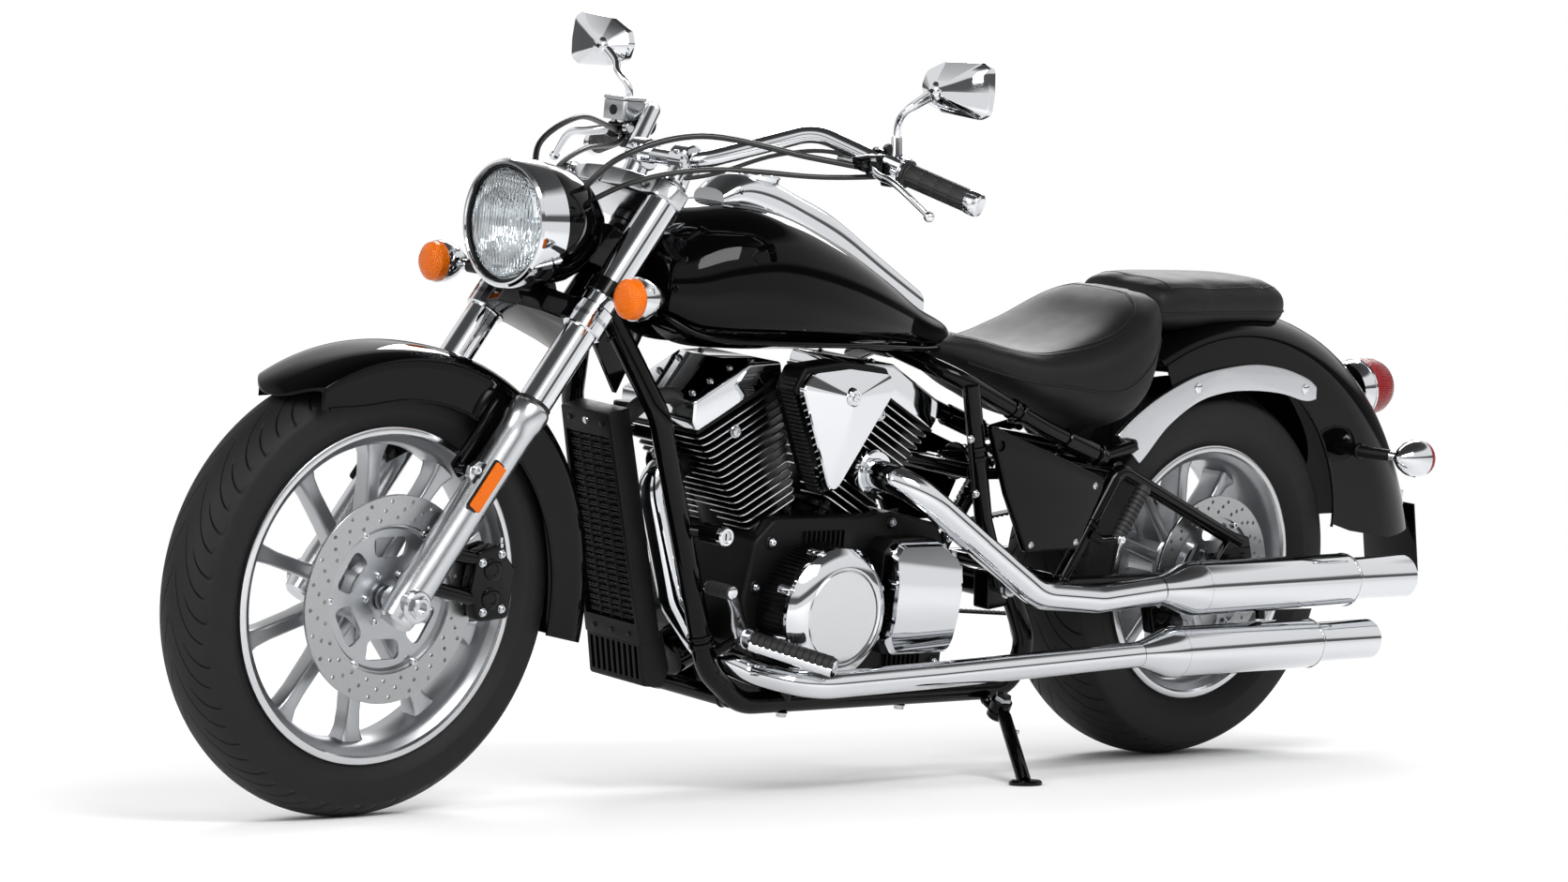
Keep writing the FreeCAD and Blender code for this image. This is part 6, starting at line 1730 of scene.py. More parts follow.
def rearCaliper():
    middle = rearAxle + at(112, 0, -60)
    outline = ((-40, -30), (30, -34), (44, 10), (20, 44), (-36, 34))
    outline = [(middle.x + x, middle.z + z) for x, z in outline]
    body = slab(roundCorners(outline, 9, 4), 93, 119, "blackPowderCoat", 3, 3)
    room = [lathe([(94.4, 40), (94.4, 138), (109.6, 138), (109.6, 40)], rearAxle, left, "darkCore", 96,
                  loop=True)]
    room.append(rod(rearAxle - left * 10, rearAxle + left * 130, 104, "darkCore", 96, 0))
    room.append(rod(at(424, 138, 318), at(20, 138, 318.5), 14.4, "darkCore", 40, 0))
    shapes = [cutAway(body, room)]
    for x, z in ((-14, -8), (18, -2)):
        spot = middle + at(x, 117, z)
        shapes.append(lathe([(0, 0), (0, 13), (4, 12.4), (5, 11), (5, 0)], spot, left, "blackPowderCoat", 32))
    shapes.append(hexBolt(middle + at(-26, 118.6, 22), left, 5))
    shapes.append(hexBolt(middle + at(28, 118.6, 18), left, 5))
    stay = middle + at(20, 114, 24)
    shapes.append(cutAway(rod(stay, at(middle.x + 30, 138, 318.5), 8, "blackPowderCoat"), room[2:]))
    gather("rearCaliper", "chassis", shapes, ["rear_caliper"])


belt = {"front": at(640, -106, 300), "frontRadius": 45.3, "backRadius": 108.3, "wall": 5}


def beltPath(grow):
    front, back = belt["front"], at(0, -106, rearAxle.z)
    small, large = belt["frontRadius"] + grow, belt["backRadius"] + grow
    between = back - front
    angle = atan2(between.z, between.x)
    spread = atan2(large - small, between.length)
    path = []
    for centre, radius, start, end in ((front, small, pi / 2 + spread - 2 * pi, -pi / 2 - spread),
                                       (back, large, -pi / 2 - spread, pi / 2 + spread)):
        for k in range(33):
            turn = angle + start + (end - start) * k / 32
            path.append(centre + at(cos(turn), 0, sin(turn)) * radius)
    return path


def driveBelt():
    rows = []
    for inner, outer in zip(beltPath(1.6), beltPath(belt["wall"])):
        rows.append([inner - left * 9, inner + left * 9, outer + left * 9, outer - left * 9])
    path = beltPath(0.9)
    tooth = prism([at(-2.6, -8.8, -0.6), at(2.6, -8.8, -0.6), at(2.2, -8.8, 0.9), at(-2.2, -8.8, 0.9)],
                  at(0, 17.6, 0), "beltRubber", 0.3, 1)
    shapes = [skin(rows, "beltRubber", loop=True, caps=False), alongPath(tooth, path + path[:1], 11.0)]
    gather("driveBelt", "chassis", shapes, ["drive_belt"])


def rearPulley():
    centre = rearAxle + left * belt["front"].y
    rimRow = [(-9.6, 96), (-9.6, 107.6), (-8.6, 108), (-8.6, 105.4), (8.6, 105.4), (8.6, 108), (9.6, 107.6),
              (9.6, 96)]
    shapes = [lathe(rimRow, centre, left, "castAluminium", 128, loop=True)]
    tooth = ((-2.8, 105), (2.8, 105), (1.8, 107.8), (-1.8, 107.8))
    tooth = prism([centre + at(x, -8.6, z) for x, z in tooth], at(0, 17.2, 0), "castAluminium", 0, 1)
    shapes.append(ringOf(tooth, 60, centre, left))
    node = frame["nodes"]["rear_pulley"]
    spots = [toRow.inverted() @ v.co for v in node.data.vertices]
    near = max(p.y for p in spots if hypot(p.x, p.z - rearAxle.z) < 80)
    web = [(near - centre.y, 36), (-6, 36), (-6, 102), (-1, 102), (near - centre.y, 60)]
    web = lathe([(a, r) for a, r in web], centre, left, "castAluminium", 96, loop=True)
    holes = []
    for k in range(5):
        turn = 2 * pi * k / 5
        spot = centre + at(cos(turn), 0, sin(turn)) * 78
        holes.append(rod(spot - left * 60, spot + left * 60, 15, "castAluminium", 32, 0))
    shapes.append(cutAway(web, holes))
    for k in range(5):
        turn = 2 * pi * (k + 0.5) / 5
        shapes.append(hexBolt(centre + at(cos(turn), 0, sin(turn)) * 50 - left * 6, -left, 6))
    gather("rearPulley", "rear_wheel", shapes, ["rear_pulley"], 30)


def ignitionLock():
    place = at(1162, 0, 420)
    shapes = [rod(place + left * 128, place + left * 170, 15, "blackPowderCoat", 40, 1.5)]
    ring = [(168, 9), (168, 14.6), (176, 14.2), (178, 12.6), (178, 9.6), (175, 9)]
    shapes.append(lathe(ring, place, left, "chromePlate", 40, loop=True))
    shapes.append(rod(place + left * 168, place + left * 175.4, 9.4, "buffedAluminium", 32, 0.4))
    # The key slot is a thin near-black strip laid on the lock's face: painted shade standing for the opening
    slot = slab([(place.x - 1.2, 415), (place.x + 1.2, 415), (place.x + 1.2, 425), (place.x - 1.2, 425)],
                175.2, 175.8, "darkCore", 0.1, 1)
    shapes.append(slot)
    shapes.append(rod(at(1177, 108, 420), at(1162, 134, 420), 9, "blackPowderCoat"))
    gather("ignitionLock", "chassis", shapes, ["ignition_lock"])


def sideStand():
    pivot, axis = standParts()
    foot = at(pivot.x + 100, pivot.y + 165, (pivot.y + 165) * tan(lean))
    down = (foot - pivot).normalized()
    floorUp = (toRow.inverted().to_3x3() @ up).normalized()
    eye = ringShape(pivot - axis * 9, pivot + axis * 9, 17, 8.3, "blackPowderCoat", 40, 1.5)
    shapes = [eye, rod(pivot + down * 16.4, pivot + down * 36, 8, "blackPowderCoat", 24, 1)]
    long = (foot - pivot).length
    leg = [(24, 0), (24, 9), (34, 11), (long - 14, 11), (long - 7, 10), (long - 7, 0)]
    shapes.append(lathe(leg, pivot, down, "blackPowderCoat", 32))
    pad = [(0.2, 0), (0.2, 25), (1.4, 26), (5, 26), (8, 22), (8, 0)]
    shapes.append(lathe(pad, foot, floorUp, "blackPowderCoat", 40))
    shapes.append(weld(pivot + down * 37, down, 8.6, 2))
    hook = pivot + down * 70
    across = axis.cross(down).normalized()
    shapes.append(rod(hook, hook + across * 17, 3.2, "zincBolt", 16))
    gather("sideStand", "side_stand", shapes, ["side_stand"])
    print("frame done")


# Console, seats and the machine's back end

consoleStations = [(1100, 34, 886, 920), (1064, 44, 880, 944), (1010, 46, 866, 940), (940, 42, 846, 916),
                   (850, 34, 806, 882), (740, 24, 756, 822), (640, 14, 716, 768)]


def stationRows(stations, power, steps=6, count=40, grow=0.0):
    rows = []
    for x, half, low, high in smoothStations(stations, steps):
        rows.append(ovalRow(at(x, 0, (low + high) / 2), half + grow, (high - low) / 2 + grow, power, count))
    return rows


def tankCutter(grow):
    stations = smoothStations(tankStations, 4)
    rows = []
    for x, half, low, high, power in stations:
        rows.append(tankRow(x, half + grow, low - grow, high + grow, power))
    return skin(rows, "blackLacquer")


def fenderRoom(grow=0.3):
    rows = []
    for turn, edge, shoulder, crown in smoothStations(rearArch, 8):
        rows.append(archRow(rearAxle, turn, fenders["rearHalf"] + grow, edge, shoulder, crown + grow,
                            fenders["wall"])[:35])
    return skin(rows, "blackLacquer")


def tankConsole():
    rows = stationRows(consoleStations, 0.8)
    body = cutAway(skin(rows, "chromePlate"), [tankCutter(0.4)])
    inset = []
    for x, half, _, high in smoothStations(consoleStations[1:], 6):
        if x < 985:
            inset.append(ovalRow(at(x, 0, high - 5), half * 0.42, 5.8, 0.6, 24))
    shapes = [body, skin(inset, "blackLacquer")]
    dial = at(1016, 0, 929)
    tilt = at(-0.12, 0, 1).normalized()
    bezel = [(0, 34), (6, 41), (12, 42), (15, 40.5), (15.6, 38.5), (13, 36.4), (9, 35.6)]
    shapes.append(lathe(bezel, dial, tilt, "chromePlate", 72, loop=True))
    shapes.append(lathe([(4, 0), (4, 36), (10, 36), (10, 0)], dial, tilt, "dialFace", 64))
    over = tilt.cross(left).normalized()
    tick = [(-0.8, 28), (0.8, 28), (0.8, 34), (-0.8, 34)]
    mark = prism([dial + tilt * 10 + left * x + over * r for x, r in tick], tilt * 0.4, "silveredGlass", 0, 1)
    shapes.append(ringOf(mark, 24, dial, tilt))
    needle = ((-1.4, -6), (1.4, -6), (0.3, 26), (-0.3, 26))
    needle = [dial + tilt * 10.6 + left * x + over * r for x, r in needle]
    shapes.append(prism(needle, tilt * 0.8, "redAcrylic", 0, 1))
    shapes.append(lathe([(13.2, 0), (13.2, 36.8), (14.2, 36.4), (14.4, 0)], dial, tilt, "clearGlass", 64))
    gather("tankConsole", "chassis", shapes, ["tank_console"], 34)


seats = {"voxel": 5.0, "pressure": 4.0, "frames": 20, "sink": 3.0, "cap": 5.0, "relax": 12, "stitch": 6.5}
riderStations = [(664, 70, 676, 716), (560, 108, 640, 704), (452, 150, 596, 692), (335, 172, 560, 728),
                 (250, 160, 590, 772), (196, 120, 690, 794)]
pillionStations = [(186, 96, 716, 800), (130, 108, 718, 804), (0, 106, 720, 806), (-110, 98, 722, 804),
                   (-150, 80, 730, 790)]


def remeshed(shape, voxel):  # an even skin of small faces, still in millimetres
    host = link("host", meshOf("host", [shape]))
    modifier = host.modifiers.new("even", "REMESH")
    modifier.mode, modifier.voxel_size = "VOXEL", voxel
    bpy.context.view_layer.update()
    made = bpy.data.meshes.new_from_object(host.evaluated_get(bpy.context.evaluated_depsgraph_get()))
    bpy.data.objects.remove(host)
    return made


def swollen(shape, cutters):
    # The cover is blown up a little from a slightly smaller foam, which rounds its edges and pulls its sides
    mesh = remeshed(shape, seats["voxel"])
    mesh.transform(Matrix.Scale(0.001, 4))
    pad = link("pad", mesh)
    cloth = pad.modifiers.new("cloth", "CLOTH")
    cloth.settings.use_pressure = True
    cloth.settings.uniform_pressure_force = seats["pressure"]
    cloth.settings.effector_weights.gravity = 0
    cloth.settings.quality = 6
    start = [v.co.copy() for v in mesh.vertices]
    for step in range(1, seats["frames"] + 1):
        bpy.context.scene.frame_set(step)
    blown = bpy.data.meshes.new_from_object(pad.evaluated_get(bpy.context.evaluated_depsgraph_get()))
    for vertex, home in zip(blown.vertices, start):
        shift = vertex.co - home
        if shift.length > seats["cap"] / 1000:
            vertex.co = home + shift.normalized() * seats["cap"] / 1000
    even = bmesh.new()
    even.from_mesh(blown)
    for _ in range(seats["relax"]):
        bmesh.ops.smooth_vert(even, verts=even.verts, factor=0.5, use_axis_x=True, use_axis_y=True,
                              use_axis_z=True)
    even.to_mesh(blown)
    even.free()
    pad.modifiers.clear()
    pad.data = blown
    bpy.context.scene.frame_set(1)
    pad.data.transform(Matrix.Scale(1000, 4))
    points = [v.co.copy() for v in pad.data.vertices]
    faces = [tuple(p.vertices) for p in pad.data.polygons]
    bpy.data.objects.remove(pad)
    return cutAway((points, faces, shape[2]), cutters) if cutters else (points, faces, shape[2])


def onSurface(tree, path, way, sink):  # a path laid on the surface, seen from outside
    laid = []
    for p in path:
        hit = tree.ray_cast(p + way * 200, -way, 400)[0] or tree.find_nearest(p)[0]
        laid.append(hit - way * sink)
    return laid


def stitches(tree, path, way):
    laid = onSurface(tree, smoothRow(path, 10), way, -0.2)
    seed = rod(at(-2.1, 0, 0), at(2.1, 0, 0), 0.5, "waxedThread", 6, 0.2)
    return [sweep(onSurface(tree, smoothRow(path, 10), way, 0.9), 1.6, "grainedLeather", 8),
            alongPath(seed, laid, seats["stitch"])]


def dished(shape):  # the hollow that the rider sits in
    points, faces, material = shape
    made = []
    for p in points:
        deep = 8 * max(0, 1 - ((p.x - 420) / 150) ** 2) * max(0, 1 - (p.y / 120) ** 2)
        high = 640 if p.x > 380 else 660
        made.append(at(p.x, p.y, p.z - deep * min(1, max(0, (p.z - high) / 30))))
    return made, faces, material


def riderSeat():
    s = seats["sink"]
    stations = [(664 - s, 70, 676, 716)] + riderStations[1:-1] + [(196 + s, 120, 690, 794)]
    shape = dished(skin(stationRows(stations, 0.62, 8, 56, -s), "grainedLeather"))
    rails = [sweep(bent(sided(seatRail, side), 60), 14.6, "darkCore", 24) for side in (1, -1)]
    pad = swollen(shape, [tankCutter(0.6)] + rails)
    tree = BVHTree.FromPolygons(pad[0], pad[1])
    shapes = [pad]
    for side in (1, -1):
        line = sided([(640, 44, 700), (560, 76, 690), (452, 112, 680), (335, 130, 712), (262, 112, 758),
                      (232, 60, 784)], side)
        shapes += stitches(tree, line, up)
        shapes += stitches(tree, [p + at(-6, -6 * side, 0) for p in line], up)
        low = sided([(600, 98, 668), (520, 124, 648), (452, 152, 640), (335, 170, 632), (262, 158, 668),
                     (214, 132, 716)], side)
        welt = onSurface(tree, smoothRow(low, 10), left * side, 0.4)
        shapes.append(sweep(welt, 2.4, "grainedLeather", 10))
    seam = [at(232, y, 784) for y in (-60, -30, 0, 30, 60)]
    shapes += stitches(tree, seam, up)
    piece = gather("riderSeat", "chassis", shapes, ["rider_seat"], 60)
    piece.modifiers.new("smooth", "SUBSURF").levels = 1
    piece.modifiers["smooth"].render_levels = 1


def pillionSeat():
    s = seats["sink"]
    stations = [(186 - s, 96, 716, 800)] + pillionStations[1:-1] + [(-150 + s, 80, 730, 790)]
    pad = swollen(skin(stationRows(stations, 0.6, 8, 56, -s), "grainedLeather"), [fenderRoom(0.6)])
    tree = BVHTree.FromPolygons(pad[0], pad[1])
    shapes = [pad]
    for side in (1, -1):
        low = sided([(176, 94, 748), (130, 108, 752), (0, 106, 754), (-100, 99, 754), (-138, 84, 756)], side)
        shapes.append(sweep(onSurface(tree, smoothRow(low, 10), left * side, 0.3), 2.4, "grainedLeather", 10))
        shoulder = sided([(150, 84, 800), (100, 86, 800), (0, 85, 800), (-80, 80, 800), (-120, 70, 796)],
                         side)
        shapes += stitches(tree, shoulder, up)
    band = [at(156 - 0.001 * y * y, y, 800) for y in (-86, -50, -20, 0, 20, 50, 86)]
    shapes += stitches(tree, band, up)
    piece = gather("pillionSeat", "chassis", shapes, ["passenger_seat"], 60)
    piece.modifiers.new("smooth", "SUBSURF").levels = 1
    piece.modifiers["smooth"].render_levels = 1
    print("seats done")


def tailLight():
    base = rearAxle + at(-412, 0, 292)
    way = at(-1, 0, 0.12).normalized()
    bowl = [(0, 0), (0, 47), (8, 49.4), (22, 51), (26, 50.4), (28, 47), (28, 0)]
    lens = [(27, 0), (27, 49), (50, 49.6), (68, 47.4), (80, 42), (88, 31), (91, 16), (92, 0)]
    room = [fenderRoom()]
    shapes = [cutAway(lathe(bowl, base, way, "chromePlate", 64), room),
              cutAway(lathe(lens, base, way, "redAcrylic", 64), room)]
    brim = [(24, 46), (24, 51.4), (27.4, 52), (29.4, 50.8), (29.4, 46)]
    shapes.append(lathe(brim, base, way, "chromePlate", 64, loop=True))
    gather("tailLight", "chassis", shapes, ["tail_light"])


def rearSignals():
    shapes = bulletLamp(at(-388, 200, 523), -forward, "redAcrylic", at(-330, 113, 523))
    root = at(-334, 112.6, 523)
    shapes.append(lathe([(0, 0), (0, 14), (3, 13), (6, 10), (6, 0)], root, left, "blackNylon", 32))
    gather("rearSignals", "chassis", bothSides(shapes), ["rear_signals"])


def plateBracket():
    outline = [(-556, 420), (-560, 420), (-590, 300), (-586, 300)]
    shapes = [slab(outline, -60, 60, "blackPowderCoat", 1)]
    shapes.append(cutAway(rod(at(-520, 0, 440), at(-560, 0, 402), 9, "blackPowderCoat"), [fenderRoom()]))
    for y in (-44, 44):
        shapes.append(hexBolt(at(-562, y, 404), at(-0.97, 0, 0.24), 5))
    hood = [at(-548, -22, 428), at(-548, 22, 428), at(-574, 22, 424), at(-574, -22, 424)]
    shapes.append(prism(hood, at(0, 0, 14), "chromePlate", 3, 3))
    gather("plateBracket", "chassis", shapes, ["plate_bracket"])


def sideCovers():
    outline = [(618, 586), (567, 566), (445, 528), (345, 494), (345, 478), (391, 380), (508, 378), (564, 470)]
    shell = slab(roundCorners(outline, 9, 5), 148.6, 162, "blackLacquer", 4, 4)
    hole = rod(at(588, 100, 548), at(588, 200, 548), 9, "darkCore", 32, 0)
    cover1 = cutAway(shell, [hole])
    shapes = [cover1, rod(at(588, 150, 548), at(588, 158, 548), 8.4, "darkCore", 24, 1)]
    for x, z in ((366, 482), (398, 392), (500, 390)):
        shapes.append(lathe([(0, 0), (0, 6), (1.6, 5.6), (2.6, 3), (1.4, 2.6), (1.4, 0)], at(x, 161.8, z),
                            left, "zincBolt", 20))
    gather("sideCovers", "chassis", bothSides(shapes), ["side_covers"], 40)
    print("rear done")


# Exhaust

exhaust = {"pipe": 22.5, "upperRadius": 44, "lowerRadius": 41, "step": 8}


def silencer(start, end, radius, pipe):
    way = (end - start).normalized()
    long = (end - start).length
    tail = radius - exhaust["step"]
    rows = [(2, 14), (0.2, pipe + 0.2), (10, pipe + 1.8), (26, pipe + 6), (44, radius - 9),
            (60, radius - 3.4), (72, radius - 0.8), (84, radius), (long - 153, radius),
            (long - 150, radius - 0.8), (long - 143, tail + 0.5), (long - 140, tail), (long - 1.2, tail),
            (long, tail - 1), (long, tail - 3), (long - 1.2, tail - 4), (long - 120, tail - 4),
            (long - 120, 14)]
    shapes = [lathe(rows, start, way, "chromePlate", 96, loop=True)]
    shapes.append(lathe([(long - 119.6, 0), (long - 119.6, tail - 4.4), (long - 117, tail - 4.4),
                         (long - 117, 0)], start, way, "darkCore", 48))
    shapes.append(ringShape(start + way * (long - 80), start + way * (long - 62), tail - 12, tail - 14,
                            "darkCore", 40))
    for along, size in ((long - 156, radius), (84, radius)):  # rolled lines round the shell
        shapes.append(lathe([(along, size - 1), (along, size + 0.5), (along + 1.4, size + 0.8),
                             (along + 2.8, size + 0.5), (along + 2.8, size - 1)],
                            start, way, "chromePlate", 96, loop=True))
    return shapes


def portCollar(port, way, radius):
    way = way.normalized()
    shapes = [lathe([(4.5, radius + 0.4), (4.5, radius + 12), (7, radius + 13), (14, radius + 13),
                     (16.5, radius + 10), (16.5, radius + 0.4)],
                    port, way, "chromePlate", 64, loop=True)]
    over = way.orthogonal().normalized()
    for turn in (0.6, 0.6 + pi):
        spot = port + Matrix.Rotation(turn, 3, way) @ over * (radius + 7.6)
        shapes.append(hexBolt(spot + way * 16, way, 4.6, height=6))
    return shapes


def exhaustPieces():
    size = exhaust["pipe"]
    start, end = at(268, 230, 322), at(-336, 230, 328)
    port, way = exhaustPort(-1)
    line = [port + left * 0.6, port + left * 84, at(643, 188, 399), at(518, 204, 318), at(400, 222, 310),
            start]
    shapes = [sweep(bent(line, 90, 12), size, "chromePlate", 48)]
    shapes += silencer(start, end, exhaust["upperRadius"], size) + portCollar(port, way, size)
    shapes.append(rod(at(476, 160, 305.6), at(452, 200, 312), 7, "blackPowderCoat"))
    shapes.append(rod(at(20, 233, 290), at(20, 236, 268.4), 8, "blackPowderCoat", 24))
    gather("exhaustUpper", "chassis", shapes, ["exhaust_upper"], 30)
    size -= 2
    start, end = at(312, 240, 222), at(-251, 240, 226)
    port, way = exhaustPort(1)
    line = [port + way * 0.6, port + way * 42, at(1126, 30, 300), at(1080, 56, 226), at(1036, 124, 204),
            at(1000, 226, 199)]
    line += [at(764, 228, 205), start]
    shapes = [sweep(bent(line, 60, 12), size, "chromePlate", 48)]
    shapes += silencer(start, end, exhaust["lowerRadius"], size) + portCollar(port, way, size)
    gather("exhaustLower", "chassis", shapes, ["exhaust_lower"], 30)
    print("exhaust done")


# Foot controls and pegs

pegRoot = at(1058, 0, 256)

def footControls():
    root = pegRoot
    shapes = [ringShape(root + left * 122, root + left * 134, 16, 9.4, "buffedAluminium", 40, 1.5)]
    path = smoothRow([root + at(12, 128, 10), root + at(30, 136, 32), root + at(50, 150, 56),
                      root + at(80, 166, 79)], 8)
    shapes.append(ovalSweep(path, [(3.6, 15 - 7 * k / len(path)) for k in range(len(path))],
                            "buffedAluminium", left, 0.7, 20))
    for k in (5, 9):
        spot = path[k]
        shapes.append(rod(spot + left * 3.0, spot + left * 4.2, 3.4, "darkCore", 16, 0.3))
    toe = root + at(82, 124, 80)
    grip = [(0, 0), (0, 8), (2, 9)]
    for k in range(8):
        along = 4 + k * 6
        grip += [(along, 11), (along + 3.4, 11), (along + 4, 9.8), (along + 5.4, 9.8)]
    grip += [(52, 11), (54, 9), (54, 0)]
    shapes.append(lathe(grip, toe, left, "mouldedRubber", 32))
    for along in (-1.4, 52.4):
        shapes.append(lathe([(0, 0), (0, 9.4), (1.6, 9.2), (3, 6), (3, 0)], toe + left * along, left,
                            "chromePlate", 28))
    shapes.append(hexBolt(root + left * 134, left, 6))
    gather("footControls", "chassis", bothSides(shapes), ["foot_controls"])


def ribbedPeg(start, end, radius, ribs):
    way = (end - start).normalized()
    long = (end - start).length
    grip = [(0, 0), (0, radius - 2), (2, radius - 1.4)]
    step = (long - 10) / ribs
    for k in range(ribs):
        along = 4 + k * step
        grip += [(along, radius - 1.8), (along + 0.8, radius), (along + step - 2.4, radius),
                 (along + step - 1.6, radius - 1.8)]
    grip += [(long - 4, radius - 1.6), (long - 1, radius - 3), (long - 1, 0)]
    cap = [(long - 2, 0), (long - 2, radius - 4), (long - 0.6, radius - 4.4), (long, radius - 6), (long, 0)]
    return [lathe(grip, start, way, "mouldedRubber", 32), lathe(cap, start, way, "chromePlate", 28)]


def footPegs():
    root = pegRoot
    shapes = [rod(root + left * 121, root + left * 146, 8.8, "zincBolt", 24)]
    shapes += ribbedPeg(root + left * 142, root + at(-58, 266, -20), 14, 12)
    base, end = root + at(0, 142, -7), root + at(-57, 264, -27)
    shapes.append(ovalSweep([base.lerp(end, k / 8) for k in range(9)], [(13.6, 8.6)] * 9, "chromePlate",
                            forward, 0.6, 20))
    shapes += ribbedPeg(at(266, 176, 481), at(320, 176, 396), 13, 11)
    shapes.append(sweep(bent(sided([(352, 150, 402), (336, 160, 393), (318, 176, 398)], 1), 20), 8,
                        "blackPowderCoat", 20))
    shapes.append(hexBolt(at(318, 185, 398), left, 6, "chromePlate"))
    shapes.append(rod(at(1112, 118, 234), at(1060, 118, 255), 8, "blackPowderCoat"))
    gather("footPegs", "chassis", bothSides(shapes), ["foot_pegs"])
    print("controls done")


makeWheels()
forkLegs()
tripleClamps()
headlight()
frontSignals()
frontFender()
rearFender()
fuelTank()
handlebar()
grips()
handControls()
mirrors()
controlCables()
frontCaliper()
reflectors()
axles()
print("steering done")
cylinders()
headCovers()
airCleanerPieces()
engineCase()
clutchCover()
caseCovers()
radiatorPieces()
frameWork()
swingArm()
rearShock()
rearCaliper()
driveBelt()
rearPulley()
ignitionLock()
sideStand()
tankConsole()
riderSeat()
pillionSeat()
tailLight()
rearSignals()
plateBracket()
sideCovers()
exhaustPieces()
footControls()
footPegs()

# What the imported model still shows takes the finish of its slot
slotFinish = {
    "frame_black": "blackPowderCoat", "steel": "zincBolt", "caliper_black": "blackPowderCoat",
    "belt_rubber": "beltRubber", "engine_black": "wrinkleEnamel", "chrome": "chromePlate",
    "radiator_black": "darkCore", "gloss_black": "blackLacquer", "seat_leather": "grainedLeather",
    "satin_alloy": "buffedAluminium", "red_lens": "redAcrylic", "satin_black": "blackPowderCoat",
    "peg_rubber": "mouldedRubber", "grip_rubber": "mouldedRubber", "amber_lens": "amberAcrylic",
    "cable_black": "cableSheath", "cast_alloy": "castAluminium", "tyre": "tyreRubber",
    "disc_steel": "rearDiscSteel",
}
for node, thing in frame["nodes"].items():
    thing.data.materials.clear()
    thing.data.materials.append(finish[slotFinish[slots[node]]])

# Floor, lamps and camera

studio = {
    "cameraPlace": (5845.5, 5321.6, 625.4), "cameraAim": (879.5, 0, 528.9), "lens": 108.6,
    "aside": -0.1, "world": 0.55, "key": 260, "rim": 160, "fill": 90, "shadowReach": (2.2, 5.0),
    "bands": ((0.05, 0.12), (0.16, 0.12), (0.24, 0.95), (0.6, 1.0), (0.72, 0.1), (0.95, 0.05)),
}


def lookingRay(tree):  # 1 for what the camera, metal or glass sees
    rays = addNode(tree, "ShaderNodeLightPath")
    seen = {0: rays.outputs["Is Camera Ray"], 1: rays.outputs["Is Glossy Ray"]}
    either = addNode(tree, "ShaderNodeMath", seen, operation="MAXIMUM")
    all3 = {0: either.outputs[0], 1: rays.outputs["Is Transmission Ray"]}
    return addNode(tree, "ShaderNodeMath", all3, operation="MAXIMUM").outputs[0]


def floor():
    size = 60
    corners = [(-size, -size, 0), (size, -size, 0), (size, size, 0), (-size, size, 0)]
    mesh = bpy.data.meshes.new("floor")
    mesh.from_pydata(corners, [], [(0, 1, 2, 3)])
    material = bpy.data.materials.new("paintedFloor")
    material.use_nodes = True
    shader = material.node_tree.nodes["Principled BSDF"]
    shader.inputs["Base Color"].default_value = linear("F8F8F8")
    shader.inputs["Roughness"].default_value = 0.75
    # Past the shadow's reach, what looks at the floor sees plain white, so no horizon shows
    tree = material.node_tree
    place = addNode(tree, "ShaderNodeTexCoord").outputs["Object"]
    away = addNode(tree, "ShaderNodeVectorMath", {0: place}, operation="LENGTH").outputs["Value"]
    low, high = studio["shadowReach"]
    limits = {"Value": away, "From Min": low, "From Max": high}
    far = addNode(tree, "ShaderNodeMapRange", limits, interpolation_type="SMOOTHSTEP")
    share = addNode(tree, "ShaderNodeMath", {0: far.outputs[0], 1: lookingRay(tree)}, operation="MULTIPLY")
    white = addNode(tree, "ShaderNodeEmission", {"Color": (1, 1, 1, 1), "Strength": 1.0})
    links = {0: share.outputs[0], 1: shader.outputs[0], 2: white.outputs[0]}
    mixed = addNode(tree, "ShaderNodeMixShader", links)
    tree.links.new(mixed.outputs[0], tree.nodes["Material Output"].inputs["Surface"])
    mesh.materials.append(material)
    ground = link("floor", mesh)


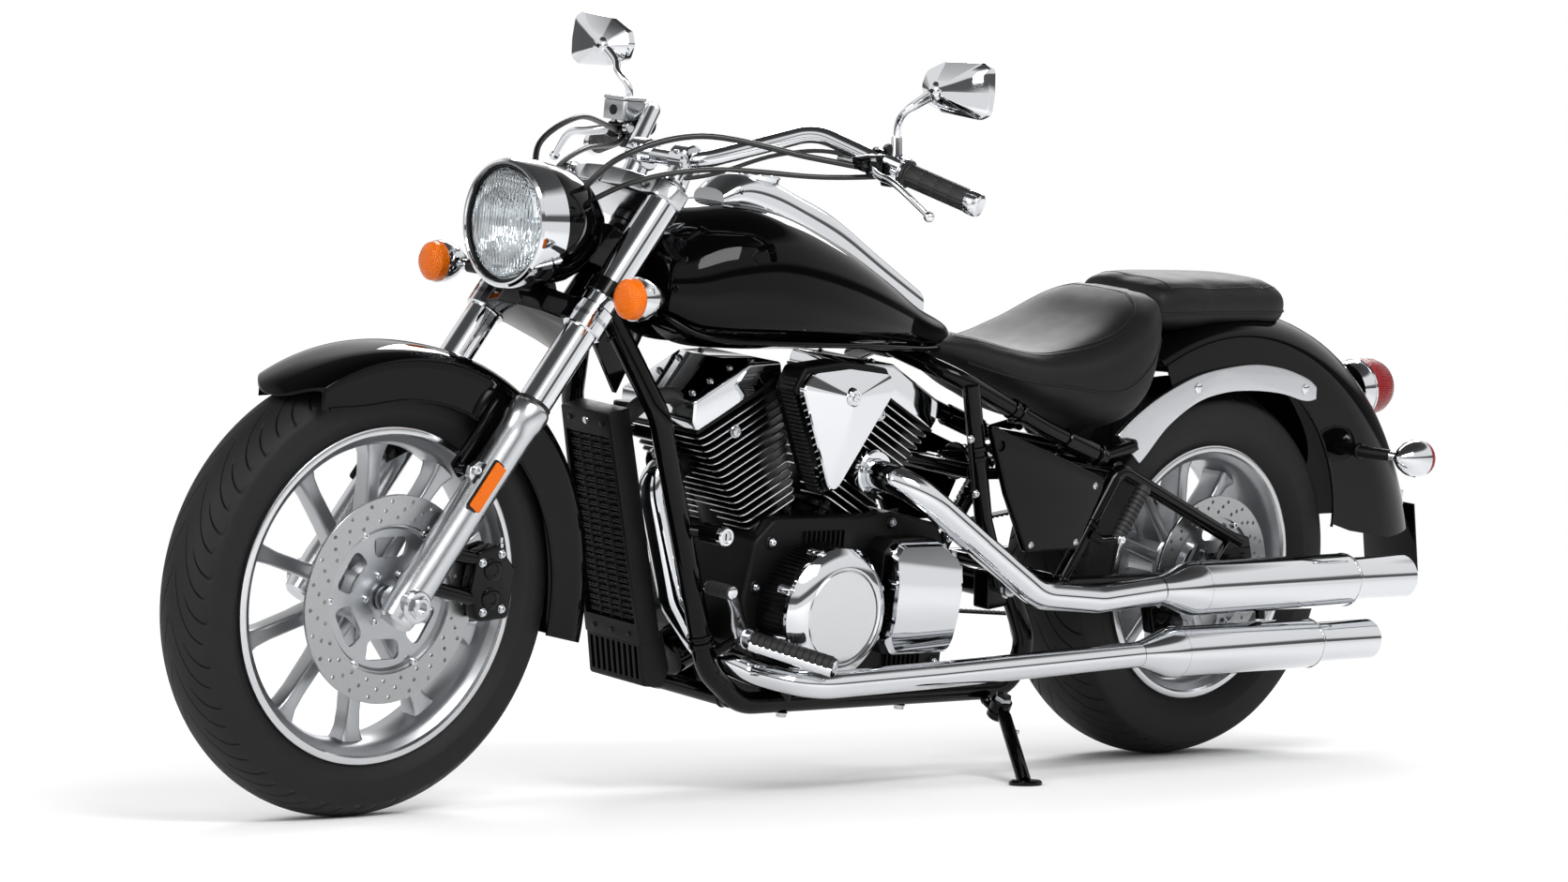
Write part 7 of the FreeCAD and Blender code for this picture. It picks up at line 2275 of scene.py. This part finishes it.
def world():
    # White for the camera and glass, white with a thin dark band and a dark top for metal,
    # and a plain level of light
    made = bpy.data.worlds.new("studio")
    bpy.context.scene.world = made
    made.use_nodes = True
    tree = made.node_tree
    tree.nodes.clear()
    way = addNode(tree, "ShaderNodeTexCoord").outputs["Generated"]
    height = addNode(tree, "ShaderNodeSeparateXYZ", {0: way}).outputs["Z"]
    ramp = addNode(tree, "ShaderNodeValToRGB", {0: height})
    stops = ramp.color_ramp.elements
    stops[0].position, stops[0].color = 0.0, (1, 1, 1, 1)
    stops[1].position, stops[1].color = 0.02, (1, 1, 1, 1)
    for place, level in studio["bands"]:
        stop = stops.new(place)
        stop.color = (level, level, level, 1)
    soft = addNode(tree, "ShaderNodeBackground", {"Color": (1, 1, 1, 1), "Strength": studio["world"]})
    banded = addNode(tree, "ShaderNodeBackground", {"Color": ramp.outputs[0], "Strength": 1.0})
    white = addNode(tree, "ShaderNodeBackground", {"Color": (1, 1, 1, 1), "Strength": 1.0})
    rays = addNode(tree, "ShaderNodeLightPath")
    lit = addNode(tree, "ShaderNodeMixShader",
                  {0: rays.outputs["Is Glossy Ray"], 1: soft.outputs[0], 2: banded.outputs[0]})
    clear = addNode(tree, "ShaderNodeMath",
                    {0: rays.outputs["Is Camera Ray"], 1: rays.outputs["Is Transmission Ray"]},
                    operation="MAXIMUM")
    mixed = addNode(tree, "ShaderNodeMixShader",
                    {0: clear.outputs[0], 1: lit.outputs[0], 2: white.outputs[0]})
    addNode(tree, "ShaderNodeOutputWorld", {"Surface": mixed.outputs[0]})


def lamp(name, place, aim, wide, tall, power):
    data = bpy.data.lights.new(name, "AREA")
    data.shape = "RECTANGLE"
    data.size, data.size_y, data.energy = wide, tall, power
    made = bpy.data.objects.new(name, data)
    bpy.context.scene.collection.objects.link(made)
    made.location = place
    made.rotation_euler = (Vector(aim) - Vector(place)).to_track_quat("-Z", "Y").to_euler()
    made.visible_camera = False


def cameraAndLamps():
    floor()
    world()
    aim = (0, 0, 0.5)
    lamp("keyBox", (1.5, 4.5, 4.2), aim, 3.2, 2.2, studio["key"])
    lamp("rimBox", (-3.5, -3.0, 3.6), aim, 3.0, 1.6, studio["rim"])
    lamp("noseBox", (5.0, 0.5, 2.6), aim, 1.6, 2.6, studio["fill"])
    data = bpy.data.cameras.new("camera")
    data.lens, data.sensor_width = studio["lens"], 36
    made = bpy.data.objects.new("camera", data)
    bpy.context.scene.collection.objects.link(made)
    shift = Vector((rearPlace.x, studio["aside"], 0))
    place = Vector(studio["cameraPlace"]) * 0.001 + shift
    target = Vector(studio["cameraAim"]) * 0.001 + shift
    made.location = place
    made.rotation_euler = (target - place).to_track_quat("-Z", "Y").to_euler()
    bpy.context.scene.camera = made
    bpy.context.scene.view_settings.view_transform = "Standard"


cameraAndLamps()
print("scene done")
